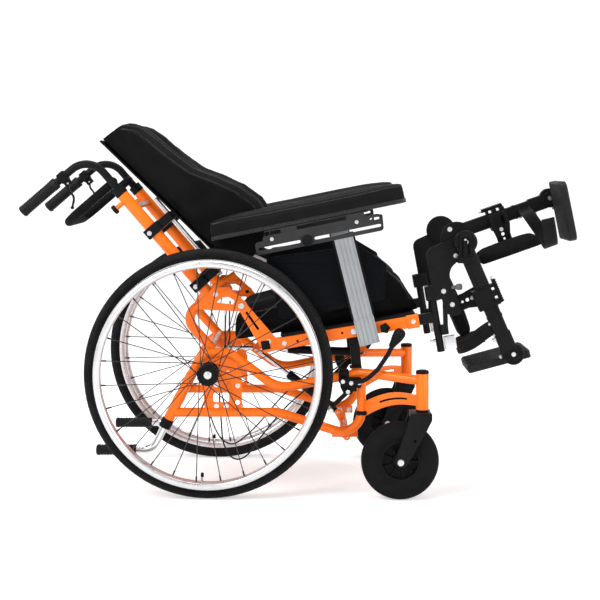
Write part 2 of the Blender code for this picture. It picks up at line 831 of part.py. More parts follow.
def bend_lug(sign):
    """The lug under the front bend of the lower rail."""
    centre = (ahead(UPRIGHT_AHEAD) - 0.036, LOWER_FRONT_HEIGHT + 0.004)
    outline = circle(centre, 0.008, 10)
    return plate(outline, PLATE_THICKNESS, sign * FRAME_Y, [])


def tip_lever(side, sign):
    """The cranked step tube: pressing it down tips the chair on its rear wheels."""
    grip_end = ahead(TIP_LEVER_END)
    y = sign * FRAME_Y
    slope = leg_tube_direction()
    corner = on_leg_tube(sign, (TIP_LEVER_HEIGHT - SOCKET_HEIGHT) / slope.z)
    corners = [on_leg_tube(sign, -TIP_INSERT), corner, (grip_end + 0.01, y, TIP_LEVER_HEIGHT)]
    pipe = tube(corners, TIP_TUBE, TIP_BEND, 10)
    start = (grip_end + TIP_GRIP_LENGTH, y, TIP_LEVER_HEIGHT)
    grip = turned_profile([
        (0, 0), (TIP_GRIP - 0.003, 0), (TIP_GRIP, 0.003), (TIP_GRIP, TIP_GRIP_LENGTH), (0, TIP_GRIP_LENGTH),
    ], 10, "X")
    grip = shifted(grip, grip_end, y, TIP_LEVER_HEIGHT)
    return part("tip_lever_" + side, "chrome", None, [pipe, grip])


# Rear wheels

def tyre_profile(outer, depth, width):
    """A tyre's section as (radius, place across)."""
    half = width / 2
    return [
        (outer - depth, -half * 0.6), (outer - depth * 0.45, -half), (outer, -half * 0.4),
        (outer, half * 0.4), (outer - depth * 0.45, half), (outer - depth, half * 0.6),
    ]


def rear_tyre(side, frame):
    ring = turned_profile(tyre_profile(REAR_WHEEL_RADIUS, TYRE_DEPTH, TYRE_WIDTH), WHEEL_STEPS)
    return part("rear_tyre_" + side, "rubber", frame, [ring])


def spoke(index):
    """One of the crossed spokes: alternate spokes start on alternate flanges and lean both ways."""
    per_flange = SPOKES // 2
    flange = 1 if index % 2 else -1
    lean = 1 if (index // 2) % 2 else -1
    rim_angle = 2 * pi * (index + 0.5) / SPOKES
    swing = lean * 2 * pi * SPOKE_CROSSINGS / per_flange
    hub_angle = rim_angle + swing
    hub = (HUB_FLANGE - 0.004) * Vector((cos(hub_angle), 0, sin(hub_angle)))
    hub.y = flange * HUB_FLANGE_Y + lean * SPOKE_LACING
    rim_radius = REAR_WHEEL_RADIUS - TYRE_DEPTH - RIM_DEPTH / 2
    rim = rim_radius * Vector((cos(rim_angle), 0, sin(rim_angle)))
    rim.y = flange * 0.0045 + lean * SPOKE_LACING
    return rod(hub, rim, SPOKE, 3)


def rear_wheel(side, sign, frame):
    """Rim, laced spokes and hub. The axle runs through the hub's bore."""
    outer = REAR_WHEEL_RADIUS - TYRE_DEPTH - GAP
    half = RIM_WIDTH / 2
    rim = turned_profile([
        (outer - RIM_DEPTH, -half * 0.45), (outer, -half), (outer, half), (outer - RIM_DEPTH, half * 0.45),
    ], WHEEL_STEPS)
    inner_end = REAR_TRACK_Y - RECEIVER_OUTER_Y - GAP
    hub = turned_profile([
        (0, -inner_end), (HUB_RADIUS - 0.003, -inner_end), (HUB_RADIUS, -HUB_FLANGE_Y - FLANGE_HALF),
        (HUB_FLANGE, -HUB_FLANGE_Y - FLANGE_HALF), (HUB_FLANGE, -HUB_FLANGE_Y + FLANGE_HALF),
        (HUB_RADIUS, 0), (HUB_FLANGE, HUB_FLANGE_Y - FLANGE_HALF), (HUB_CAP, HUB_FLANGE_Y),
        (HUB_CAP - 0.003, HUB_OUTER_Y + 0.006), (0, HUB_OUTER_Y + 0.006),
    ], 12)
    if sign < 0:
        hub = turned(hub, pi, "Z")
    spokes = [spoke(i) for i in range(SPOKES)]
    bore = rod((0, -sign * (inner_end + 0.01), 0), (0, sign * HUB_OUTER_Y, 0), AXLE_RADIUS + RUNNING_GAP, 12)
    return part("rear_wheel_" + side, "silver", frame, [rim, hub, *spokes], [bore])


def handrim(side, sign, frame):
    """The push rim and the tabs that hold it to the wheel's rim."""
    y = sign * HANDRIM_OFFSET
    section = [(HANDRIM_RADIUS + u, y + v) for u, v in round_section(HANDRIM_TUBE, 6)]
    ring = turned_profile(section, WHEEL_STEPS)
    tabs = []
    foot = REAR_WHEEL_RADIUS - TYRE_DEPTH - RIM_DEPTH * 0.55
    for i in range(HANDRIM_TABS):
        angle = 2 * pi * (i + 0.5) / HANDRIM_TABS
        out = Vector((cos(angle), 0, sin(angle)))
        start = out * HANDRIM_RADIUS + Vector((0, y, 0))
        end = out * foot + Vector((0, sign * (RIM_WIDTH / 2 - GAP), 0))
        tabs.append(sweep([start, end], box_section(0.004, 0.012), out.cross(Vector((0, 1, 0)))))
    return part("handrim_" + side, "silver", frame, [ring, *tabs])


# Casters

def caster_fork(side, frame):
    """Fork in the swivel's frame: stem on the axis, wheel trailing behind it."""
    crown_top = HOUSING_BOTTOM - GAP
    half = CASTER_TYRE_WIDTH / 2 + FORK_CLEARANCE
    axle = (-CASTER_TRAIL, CASTER_RADIUS)
    leg = rounded([
        (FORK_FRONT, crown_top), (FORK_REAR, crown_top), (FORK_REAR - 0.002, crown_top - 0.016),
        (axle[0] - FORK_END, axle[1] + 0.004), (axle[0] - 0.004, axle[1] - FORK_END),
        (axle[0] + 0.014, axle[1] - 0.009), (FORK_FRONT - 0.014, crown_top - 0.044),
        (FORK_FRONT, crown_top - 0.016),
    ], [0, 0, 0, 0.010, 0.008, 0.008, 0, 0])
    solids = [plate(leg, FORK_WALL, y) for y in (-half - FORK_WALL / 2, half + FORK_WALL / 2)]
    solids.append(block((FORK_REAR + 0.001, -half - 0.001, crown_top - FORK_CROWN),
                        (FORK_FRONT - 0.001, half + 0.001, crown_top - 0.0001)))
    stem_top = HOUSING_TOP - STEM_TOP_WALL
    solids.append(rod((0, 0, crown_top - 0.004), (0, 0, stem_top), STEM_RADIUS, 12))
    reach = half + FORK_WALL + 0.002
    solids.append(rod((axle[0], -reach, axle[1]), (axle[0], reach, axle[1]), CASTER_AXLE, 10))
    return part("caster_fork_" + side, "black_paint", frame, solids)


def caster_wheel(side, frame):
    """Moulded tyre on a ribbed hub."""
    outer = CASTER_RADIUS
    half = CASTER_TYRE_WIDTH / 2
    rim = outer - CASTER_TYRE_DEPTH
    tyre = turned_profile([
        (rim - 0.004, -half * 0.7), (outer - 0.024, -half), (outer - 0.004, -half * 0.6),
        (outer, 0), (outer - 0.004, half * 0.6), (outer - 0.024, half), (rim - 0.004, half * 0.7),
    ], CASTER_STEPS)
    web = rod((0, -0.004, 0), (0, 0.004, 0), rim, CASTER_STEPS // 2)
    hub = rod((0, -half, 0), (0, half, 0), CASTER_HUB, 10)
    ribs = []
    for i in range(CASTER_RIBS):
        rib = block((CASTER_HUB - 0.002, -half * 0.55, -0.0015), (rim + 0.001, half * 0.55, 0.0015))
        ribs.append(turned(rib, 2 * pi * (i + 0.25) / CASTER_RIBS, "Y"))
    bore = rod((0, -half - 0.01, 0), (0, half + 0.01, 0), CASTER_AXLE + RUNNING_GAP, 10)
    return part("caster_wheel_" + side, "rubber", frame, [tyre, web, hub, *ribs], [bore])


# Cross members and tilt posts

def cross_member(name, place, end, slope=0.0, extra=()):
    """A cross tube whose end flanges bolt to the inner sides of the side frames."""
    x, z = place
    solids = [rod((x, -end + 0.001, z), (x, end - 0.001, z), CROSS_TUBE)]
    for sign in (-1, 1):
        inner, outer = sorted((sign * (end - FLANGE_THICKNESS), sign * end))
        flange = block((-FLANGE_LENGTH / 2, inner, -FLANGE_HEIGHT / 2),
                       (FLANGE_LENGTH / 2, outer, FLANGE_HEIGHT / 2))
        solids.append(shifted(turned(flange, -slope, "Y"), x, 0, z))
    return part(name, "orange", None, solids + list(extra))


def rear_cross():
    """The rear cross tube, between the two rear leg tubes."""
    slope = leg_tube_direction()
    centre = on_leg_tube(1, (LOWER_RAIL_HEIGHT + REAR_CROSS_RISE - SOCKET_HEIGHT) / slope.z)
    angle = Vector((-slope.x, -slope.z)).angle_signed(Vector((1, 0)))
    return cross_member("base_cross_rear", (centre.x, centre.z), FRAME_Y - LEG_TUBE - GAP, angle)


def front_cross():
    """The front cross tube, with the ears that hold the tilt spring's cylinder."""
    place = (ahead(FRONT_CROSS_AHEAD), FRONT_CROSS_HEIGHT)
    lugs = ears((ahead(SPRING_BASE_AHEAD), SPRING_BASE_HEIGHT), place, CROSS_TUBE)
    return cross_member("base_cross_front", place, FRAME_Y - FRAME_TUBE - GAP, 0.0, lugs)


def ears(pin, foot, foot_radius, y=0.0, with_pin=True):
    """A pair of lugs that hold a gas spring's eye, from a tube at foot to the pin."""
    boss = 0.009
    along = Vector((pin[0] - foot[0], pin[1] - foot[1])).normalized()
    across = Vector((-along.y, along.x))
    low = Vector(foot) - along * foot_radius * 0.5
    high = Vector(pin)
    outline = [tuple(low + across * boss), tuple(low - across * boss)]
    for i in range(5):
        angle = -pi / 2 + pi * i / 4
        outline.append(tuple(high + (along * cos(angle) + across * sin(angle)) * boss))
    made = []
    for sign in (-1, 1):
        made.append(plate(outline, EAR_THICKNESS, y + sign * (EAR_GAP + EAR_THICKNESS) / 2))
    if with_pin:
        reach = EAR_GAP / 2 + EAR_THICKNESS + PIN_STAND_OUT
        made.append(rod((pin[0], y - reach, pin[1]), (pin[0], y + reach, pin[1]), SPRING_PIN))
    return made


def tilt_bridge():
    """Two posts on the upper rails, joined by the pivot tube that the seat tilts on."""
    pivot = (ahead(PIVOT_AHEAD_OF_AXLE), PIVOT_HEIGHT)
    foot = (ahead(POST_AHEAD), rail_height(POST_AHEAD) + FRAME_TUBE + POST_LIFT)
    solids = []
    for sign in (-1, 1):
        y = sign * POST_Y
        bottom, top = Vector((foot[0], y, foot[1])), Vector((pivot[0], y, pivot[1] + 0.010))
        solids.append(sweep([bottom, top], box_section(POST_WIDTH, POST_DEPTH)))
        inner, outer = sorted((sign * (POST_Y - POST_WIDTH / 2), sign * (FRAME_Y + 0.008)))
        solids.append(block((foot[0] - 0.018, inner, foot[1]), (foot[0] + 0.012, outer, foot[1] + 0.004)))
        end = (pivot[0], sign * PIN_REACH, pivot[1])
        head = (pivot[0], sign * (PIN_REACH + PIN_HEAD_THICKNESS), pivot[1])
        solids.append(rod((pivot[0], y, pivot[1]), end, PIVOT_PIN, 10))
        solids.append(rod(end, head, PIN_HEAD, 8))
    solids.append(rod((pivot[0], -POST_Y, pivot[1]), (pivot[0], POST_Y, pivot[1]), PIVOT_TUBE))
    return part("tilt_bridge", "black_paint", None, solids)


# Wheel locks

def lock_body(side, sign):
    """Clamp on the upper rail with the housing that carries both pivots."""
    x, z = ahead(LOCK_AHEAD), rail_height(LOCK_AHEAD)
    inner, outer = sorted((sign * (FRAME_Y - 0.016), sign * (LOCK_Y + 0.003)))
    clamp = block((x - LOCK_CLAMP_LENGTH / 2, inner, z - 0.0165),
                  (x + LOCK_CLAMP_LENGTH / 2, outer, z + 0.0165))
    pivot, shoe = lock_pivot(), shoe_pivot()
    outline = rounded([
        (pivot[0] - 0.0265, pivot[1] + 0.0128), (pivot[0] - 0.0265, pivot[1] - 0.011),
        (shoe[0] - 0.009, shoe[1] - 0.008), (shoe[0] + 0.009, shoe[1] - 0.008),
        (pivot[0] + 0.010, pivot[1] - 0.013), (pivot[0] + 0.0258, pivot[1] - 0.013),
        (pivot[0] + 0.0258, pivot[1] + 0.0128),
    ], [0.003, 0, 0.004, 0.004, 0, 0.003, 0.003])
    middle = LOCK_Y + LOCK_THICKNESS / 2
    solids = [clamp, plate(outline, LOCK_THICKNESS, sign * middle)]
    face = LOCK_Y + LOCK_THICKNESS
    reach = face + LOCK_PLATE + 0.003
    for place in (pivot, shoe):
        solids.append(rod((place[0], sign * middle, place[1]), (place[0], sign * reach, place[1]), LOCK_PIN))
    slope = Vector((1, 0, rail_slope()))
    centre = Vector((x, sign * FRAME_Y, z))
    bore = rod(centre - slope * 0.04, centre + slope * 0.04, FRAME_TUBE + GAP)
    return part("wheel_lock_body_" + side, "black_plastic", None, solids, [bore])


def rail_slope():
    return (RAIL_HEIGHT - VALLEY_HEIGHT) / (UPRIGHT_AHEAD - VALLEY_AHEAD)


def rail_height(place_ahead):
    """Height of the upper rail's middle between the valley and the front upright."""
    return RAIL_HEIGHT - rail_slope() * (UPRIGHT_AHEAD - place_ahead)


def lock_pivot():
    """The lever's pin, just below the upper rail."""
    return ahead(LOCK_PIVOT_AHEAD), rail_height(LOCK_AHEAD) - LOCK_PIVOT_DROP


def shoe_pivot():
    """The pin of the arm that presses on the tyre."""
    return ahead(SHOE_PIVOT_AHEAD), rail_height(LOCK_AHEAD) - SHOE_PIVOT_DROP


def lock_lever(side, sign, frame):
    """Hub, curved strap and pear knob, in the lever pivot's frame."""
    y0 = sign * (GAP + LOCK_PLATE / 2)
    knob_y = sign * (LOCK_KNOB_Y - LOCK_Y - LOCK_THICKNESS)
    hub = rod((0, y0 - LOCK_PLATE / 2, 0), (0, y0 + LOCK_PLATE / 2, 0), 0.0095, 10)
    strap_route = [(0.004, y0, 0.001), (0.034, y0 + sign * 0.003, 0.006), (0.064, (y0 + knob_y) / 2, 0.034),
                   (0.090, knob_y, 0.075), (0.103, knob_y, 0.102)]
    strap = sweep(fillet(strap_route, 0.05), box_section(LOCK_PLATE, 0.011))
    knob = turned_profile([
        (0, 0), (0.0075, 0), (0.0105, 0.016), (LOCK_KNOB, 0.038), (0.0115, 0.049), (0, LOCK_KNOB_LENGTH),
    ], 10, "Z")
    knob = shifted(turned(knob, radians(33), "Y"), 0.0965, knob_y, 0.092)
    bore = rod((0, -0.01, 0), (0, 0.01, 0), LOCK_PIN + GAP)
    return part("wheel_lock_lever_" + side, "black_plastic", frame, [hub, strap, knob], [bore])


def shoe_place():
    """The shoe pin's centre, just off the tyre's tread."""
    reach = REAR_WHEEL_RADIUS + SHOE_RADIUS + SHOE_CLEARANCE
    return (reach * cos(SHOE_ANGLE), REAR_WHEEL_RADIUS - reach * sin(SHOE_ANGLE))


def lock_shoe(side, sign, frame):
    """The arm that presses a pin on the tyre, in the shoe pivot's frame."""
    y0 = sign * (GAP + LOCK_PLATE / 2)
    place = shoe_place()
    pin = Vector((place[0] - SHOE_PIVOT_AHEAD, 0, place[1] - shoe_pivot()[1]))
    arm = sweep([(0, y0, 0), (pin.x, y0, pin.z)], box_section(LOCK_PLATE, 0.011))
    hub = rod((0, y0 - LOCK_PLATE / 2, 0), (0, y0 + LOCK_PLATE / 2, 0), 0.0075, 10)
    far = sign * (REAR_TRACK_Y + TYRE_WIDTH / 2 - LOCK_Y - LOCK_THICKNESS)
    shoe = rod((pin.x, y0 - sign * LOCK_PLATE / 2, pin.z), (pin.x, far, pin.z), SHOE_RADIUS, 10)
    bore = rod((0, -0.01, 0), (0, 0.01, 0), LOCK_PIN + GAP)
    return part("wheel_lock_shoe_" + side, "black_paint", frame, [arm, hub, shoe], [bore])


# Seat frame, in the tilt pivot's frame

def in_frame(mesh, frame):
    """Carry a shape from its parent's frame into a joint's frame."""
    return moved(mesh, frame.matrix_basis.inverted())


def arm_matrix():
    """The armrest upright leans back a little on the seat."""
    return Matrix.Translation((UPRIGHT_X, 0, 0)) @ Matrix.Rotation(-UPRIGHT_LEAN, 4, "Y")


def arm_socket(sign):
    """The sleeve on the seat rail that the armrest's tongue slides in."""
    half = UPRIGHT_WIDTH / 2
    inner, outer = sorted((sign * UPRIGHT_Y, sign * (UPRIGHT_Y + UPRIGHT_DEPTH)))
    sleeve = block((-half, inner, ARM_SOCKET_LOW), (half, outer, ARM_SOCKET_HIGH))
    inner, outer = sorted((sign * (SEAT_RAIL_Y + SEAT_RAIL_WIDTH / 2 - 0.001), sign * (UPRIGHT_Y + 0.001)))
    pad = block((-0.018, inner, -0.011), (0.018, outer, 0.011))
    return [moved(mesh, arm_matrix()) for mesh in (sleeve, pad)]


def arm_pocket(sign):
    half = UPRIGHT_WIDTH / 2 - SLEEVE_WALL
    wall = SLEEVE_WALL
    inner, outer = sorted((sign * (UPRIGHT_Y + wall), sign * (UPRIGHT_Y + UPRIGHT_DEPTH - wall)))
    pocket = block((-half, inner, ARM_SOCKET_LOW - 0.01), (half, outer, ARM_SOCKET_HIGH + 0.01))
    return moved(pocket, arm_matrix())


def seat_side_plate(sign):
    """The slotted plate at the rear end of a seat rail, up to the recline hinge."""
    front_low = (SEAT_REAR + 0.033, 0.016)
    outline = [(SEAT_REAR + 0.031, -0.013), (SEAT_REAR, -0.0175), (-0.2409, 0.0172)]
    start = -pi / 2 - 0.42
    for i in range(6):
        angle = start - pi * 1.04 * i / 5
        outline.append((HINGE[0] + HINGE_BOSS * cos(angle), HINGE[1] + HINGE_BOSS * sin(angle)))
    outline.append(front_low)
    holes = [slot_outline(*SEAT_SLOT, SEAT_SLOT_WIDTH, 4), circle(HINGE, PIVOT_PIN + RUNNING_GAP, 10)]
    return plate(outline, PLATE_THICKNESS, sign * (SEAT_SIDE_PLATE_Y + PLATE_THICKNESS / 2), holes)


def seat_rail(sign):
    """A rail with its front sleeve, the bar and post that carry a leg rest, and a clamp knob."""
    y = sign * SEAT_RAIL_Y
    section = box_section(SEAT_RAIL_WIDTH, SEAT_RAIL_HEIGHT)
    sleeve = box_section(SEAT_RAIL_WIDTH + 2 * SLEEVE_WALL, SEAT_RAIL_HEIGHT + 2 * SLEEVE_WALL)
    bar = box_section(*HANGER_BAR)
    solids = [
        sweep([(SEAT_REAR, y, 0), (SEAT_FRONT - 0.002, y, 0)], section),
        sweep([(SEAT_FRONT - SLEEVE_LENGTH, y, 0), (SEAT_FRONT, y, 0)], sleeve),
        sweep([(SEAT_FRONT - 0.005, y, 0.001), (HANGER_X, y, 0.001)], bar),
        rod((HANGER_X, y, HANGER_POST_LOW), (HANGER_X, y, HANGER_POST_HIGH), HANGER_POST, 10),
    ]
    face = SEAT_RAIL_WIDTH / 2
    knob = turned_profile([
        (0, 0), (0.0035, 0), (0.0035, 0.010), (0.0125, 0.010), (0.0125, 0.022), (0, 0.022),
    ], 8)
    if sign < 0:
        knob = turned(knob, pi, "Z")
    solids.append(shifted(knob, SEAT_KNOB_X, y + sign * (face - 0.001), -0.003))
    return solids


def seat_frame(frame):
    solids, cuts = [], []
    half = REAR_CROSS_SIZE / 2
    reach = SEAT_SIDE_PLATE_Y + PLATE_THICKNESS + 0.002
    x, z = REAR_CROSS
    solids.append(block((x - half, -reach, z - half), (x + half, reach, z + half)))
    inner = SEAT_RAIL_Y - 0.005
    solids.append(rod((FRONT_CROSS_X, -inner, 0), (FRONT_CROSS_X, inner, 0), CROSS_TUBE))
    x, z = RECLINE_CROSS
    solids.append(rod((x, -inner, z), (x, inner, z), BACK_CROSS))
    solids += ears(RECLINE_BASE, RECLINE_CROSS, BACK_CROSS, RECLINE_Y)
    solids += ears(TILT_LUG, REAR_CROSS, half, 0.0, with_pin=False)
    for side, sign in SIDES:
        solids += seat_rail(sign)
        solids.append(seat_side_plate(sign))
        solids += arm_socket(sign)
        cuts.append(arm_pocket(sign))
        cuts.append(rod((0, sign * 0.15, 0), (0, sign * 0.2035, 0), PIVOT_PIN + RUNNING_GAP, 10))
    return part("seat_frame", "orange", frame, solids, cuts)


def seat_pan(frame):
    low = SEAT_RAIL_HEIGHT / 2 + SLEEVE_WALL + GAP
    pan = block((PAN_REAR, -PAN_HALF_WIDTH, low), (PAN_FRONT, PAN_HALF_WIDTH, low + PAN_THICKNESS))
    return part("seat_pan", "black_paint", frame, [pan])


def smooth_between(points, x):
    """Read a smooth curve through points at x, by half-cosine steps."""
    if x <= points[0][0]:
        return points[0][1]
    for (x0, z0), (x1, z1) in zip(points, points[1:]):
        if x <= x1:
            share = (x - x0) / (x1 - x0)
            return z0 + (z1 - z0) * (1 - cos(pi * share)) / 2
    return points[-1][1]


def seat_cushion(frame):
    """A contoured cushion: flat below, hollow in the middle, raised at the thighs' sides."""
    floor = SEAT_RAIL_HEIGHT / 2 + SLEEVE_WALL + PAN_THICKNESS + 2 * GAP
    w = CUSHION_HALF_WIDTH
    side_height = [
        (CUSHION_REAR, SIDE_REAR_HEIGHT), (-0.10, SIDE_REAR_HEIGHT + 0.020),
        (THIGH_SIDE_X, THIGH_SIDE_HEIGHT), (THIGH_SIDE_X + 0.055, THIGH_SIDE_HEIGHT - 0.015),
        (CUSHION_FRONT, FRONT_EDGE_HEIGHT + 0.010),
    ]
    middle_height = [
        (CUSHION_REAR, CUSHION_HEIGHT - 0.020), (-0.12, CUSHION_HEIGHT - 0.012), (0.09, CUSHION_HEIGHT),
        (CUSHION_FRONT, FRONT_EDGE_HEIGHT),
    ]
    rings = []
    stations = 12
    length = CUSHION_FRONT - CUSHION_REAR
    for i in range(stations + 1):
        turn = pi * i / stations
        x = CUSHION_REAR + length * (1 - cos(turn)) / 2
        swell = min(1.0, 0.35 + 1.6 * sin(turn))
        side = floor + (smooth_between(side_height, x) - floor) * swell
        middle = floor + (smooth_between(middle_height, x) - floor) * swell
        inset = 0.020 * (1 - min(1.0, 2.2 * sin(turn)))
        half = w - inset
        profile = [
            (half - 0.012, floor), (half - 0.003, floor + 0.010),
            (half - 0.002, floor + (side - floor) * 0.45), (half, side - 0.018), (half - 0.010, side - 0.003),
            (half - 0.026, side), (half - 0.044, side - (side - middle) * 0.45),
            (half * 0.52, middle + 0.003), (half * 0.26, middle - 0.001),
        ]
        ring = [(x, y, z) for y, z in profile] + [(x, 0, middle)]
        ring += [(x, -y, z) for y, z in profile[::-1]]
        rings.append(ring)
    return part("seat_cushion", "fabric", frame, [loft(rings)])


# Armrests

def arm_upright(side, sign, frame):
    """The fluted upright and the tongue below it."""
    half = UPRIGHT_WIDTH / 2
    outer_y = UPRIGHT_Y + UPRIGHT_DEPTH
    bottom = ARM_SOCKET_HIGH + GAP
    outline = [(-half, UPRIGHT_Y)]
    outline += [(half, UPRIGHT_Y), (half, outer_y - 0.002), (half - 0.002, outer_y)]
    flutes = 4
    pitch = (UPRIGHT_WIDTH - 0.010) / flutes
    for i in range(flutes):
        x = half - 0.005 - pitch * i
        groove = outer_y - FLUTE
        outline += [(x, outer_y), (x - 0.001, groove), (x - 0.003, groove), (x - 0.004, outer_y)]
    outline += [(-half + 0.002, outer_y), (-half, outer_y - 0.002)]
    rings = [[(x, sign * y, z) for x, y in outline] for z in (bottom, UPRIGHT_LENGTH)]
    inner, outer = sorted((sign * (UPRIGHT_Y + SLEEVE_WALL + RUNNING_GAP),
                           sign * (outer_y - SLEEVE_WALL - RUNNING_GAP)))
    wide = half - SLEEVE_WALL - RUNNING_GAP
    tongue = block((-wide, inner, -ARM_TONGUE), (wide, outer, bottom + 0.002))
    return part("arm_upright_" + side, "aluminium", frame, [loft(rings), tongue])


def side_guard(side, sign, frame):
    """The moulded guard between the seat and the wheel, fixed to the upright."""
    outline = rounded(GUARD_OUTLINE, [0.010, 0.008, 0, 0, 0.010, 0, 0.010, 0.020])
    panel = plate(outline, GUARD_THICKNESS, sign * (GUARD_Y + GUARD_THICKNESS / 2))
    ribs = [slot_outline(start, end, GUARD_RIB_WIDTH, 4) for start, end in GUARD_RIBS]
    inner = [plate(rib, GUARD_RIB_HEIGHT, sign * (GUARD_Y + 0.0002 - GUARD_RIB_HEIGHT / 2)) for rib in ribs]
    solids = [in_frame(mesh, frame) for mesh in (panel, *inner)]
    return part("side_guard_" + side, "black_plastic", frame, solids)


def arm_bracket(side, sign, frame):
    """The slotted plate, its clamp knob and the shelf under the pad."""
    low, high = -0.0129, 0.0305
    shelf = PAD_BOTTOM - GAP - 0.003
    outline = rounded([
        (-0.129, low), (0.190, low), (0.194, high - 0.0045), (0.180, high), (0.150, high),
        (0.150, shelf + 0.001), (0.105, shelf + 0.001), (0.105, high), (-0.020, high),
        (-0.020, shelf + 0.001), (-0.060, shelf + 0.001), (-0.060, high), (-0.105, high),
        (-0.108, 0.020), (-0.129, 0.018),
    ], [0.004, 0.004, 0.004, 0, 0, 0, 0, 0, 0, 0, 0, 0, 0, 0, 0.004])
    holes = [slot_outline(start, end, width, 4) for start, end, width in ARM_SLOTS]
    face = UPRIGHT_Y + UPRIGHT_DEPTH + GAP
    panel = plate(outline, ARM_PLATE, sign * (face + ARM_PLATE / 2), holes)
    inner, outer = sorted((sign * (PAD_Y - 0.020), sign * (face + ARM_PLATE)))
    ledge = block((-0.100, inner, shelf), (0.160, outer, shelf + 0.003))
    knob = turned_profile([
        (0, 0), (ARM_KNOB, 0), (ARM_KNOB, 0.008), (ARM_KNOB - 0.003, 0.011), (0, 0.012),
    ], 12)
    if sign < 0:
        knob = turned(knob, pi, "Z")
    knob = shifted(knob, 0, sign * (face + ARM_PLATE - 0.001), 0)
    return part("arm_bracket_" + side, "black_paint", frame, [panel, ledge, knob])


def arm_pad(side, sign, frame):
    """A long crowned pad on its piped base."""
    rings = []
    half = PAD_WIDTH / 2
    centre = PAD_REAR + PAD_LENGTH / 2
    steps = 14
    for i in range(steps + 1):
        turn = pi * i / steps
        x = centre - PAD_LENGTH / 2 * cos(turn)
        crown = PAD_BOTTOM + PAD_HEIGHT * (0.86 + 0.14 * min(1.0, 1.8 * sin(turn)))
        w = half * (0.80 + 0.20 * min(1.0, 2.4 * sin(turn)))
        base = PAD_BOTTOM + 0.012
        profile = [
            (w * 0.93, PAD_BOTTOM), (w, PAD_BOTTOM + 0.003), (w, base - 0.003), (w * 0.95, base),
            (w * 0.96, base + 0.012), (w * 0.95, crown - 0.010), (w * 0.84, crown - 0.002), (w * 0.45, crown),
        ]
        ring = [*profile, (0, crown + 0.0005), *[(-y, z) for y, z in profile[::-1]]]
        rings.append([(x, sign * PAD_Y + y, z) for y, z in ring])
    return part("arm_pad_" + side, "fabric", frame, [loft(rings)])


# Back frame, in the recline hinge's frame

def back_side(sign):
    """Back tube, hooked lever tube, hinge plate with its cut-out, and the clamp knob's lug."""
    y = sign * BACK_TUBE_Y
    low, high = BACK_TUBE_LOW, BACK_TUBE_HIGH
    lever_y = sign * LEVER_TUBE_Y
    lever = [
        (0.009, sign * (BACK_TUBE_Y - 0.010), 0.056), (LEVER_REAR[0], lever_y, LEVER_REAR[1]),
        (LEVER_LOW[0], lever_y, LEVER_LOW[1]),
    ]
    outline = [(-0.0905, 0.0640), (-0.0186, -0.0040)]
    for i in range(5):
        angle = radians(-100 + 33 * i)
        outline.append((HINGE_BOSS * cos(angle), HINGE_BOSS * sin(angle)))
    outline += [(0.0071, 0.0552), (-0.0229, 0.0812), (-0.0905, 0.0740)]
    cut = rounded(BACK_PLATE_WINDOW, 0.003)
    hinge_end = SEAT_SIDE_PLATE_Y + PLATE_THICKNESS + GAP
    solids = [
        rod((BACK_TUBE_X, y, low), (BACK_TUBE_X, y, high), BACK_TUBE, 10),
        tube(lever, LEVER_TUBE, 0.035),
        plate(outline, PLATE_THICKNESS, sign * (BACK_PLATE_Y + PLATE_THICKNESS / 2), [cut]),
        rod((0, sign * (BACK_PLATE_Y + 0.001), 0), (0, sign * (hinge_end + 0.001), 0), PIVOT_PIN, 10),
        rod((0, sign * hinge_end, 0), (0, sign * (hinge_end + PIN_HEAD_THICKNESS), 0), PIN_HEAD, 8),
        rod((BACK_TUBE_X, y, high - 0.001), (BACK_TUBE_X, y, high + COLLAR_HEIGHT), BACK_TUBE + 0.0015, 10),
        rod((BACK_TUBE_X, y, CLAMP_KNOB_Z), (BACK_TUBE_X - 0.034, y, CLAMP_KNOB_Z), 0.0060),
    ]
    knob = turned_profile([(0, 0), (0.012, 0.002), (0.012, 0.011), (0, 0.011)], 8, "X")
    solids.append(shifted(knob, BACK_TUBE_X - 0.044, y, CLAMP_KNOB_Z))
    return solids


def back_frame(frame):
    solids, cuts = [], []
    for side, sign in SIDES:
        solids += back_side(sign)
        y = sign * BACK_TUBE_Y
        cuts.append(rod((BACK_TUBE_X, y, HANDLE_LOW - 0.006), (BACK_TUBE_X, y, BACK_TUBE_HIGH + 0.05),
                        HANDLE_TUBE + RUNNING_GAP, 10))
    inner = BACK_TUBE_Y - 0.006
    x, z = BACK_TUBE_X - 0.004, BACK_CROSS_Z
    solids.append(rod((x, -inner, z), (x, inner, z), BACK_CROSS))
    x, z = LEVER_LOW
    solids.append(rod((x, -LEVER_TUBE_Y, z + 0.004), (x, LEVER_TUBE_Y, z + 0.004), BACK_CROSS))
    solids += ears(RECLINE_LUG, (x, z + 0.004), BACK_CROSS, RECLINE_Y, with_pin=False)
    return part("back_frame", "orange", frame, solids, cuts)


def shell_x(z):
    """The rear face of the back cushion: the shell leans a little forward of the tubes."""
    return SHELL_REAR_X - SHELL_PITCH * z


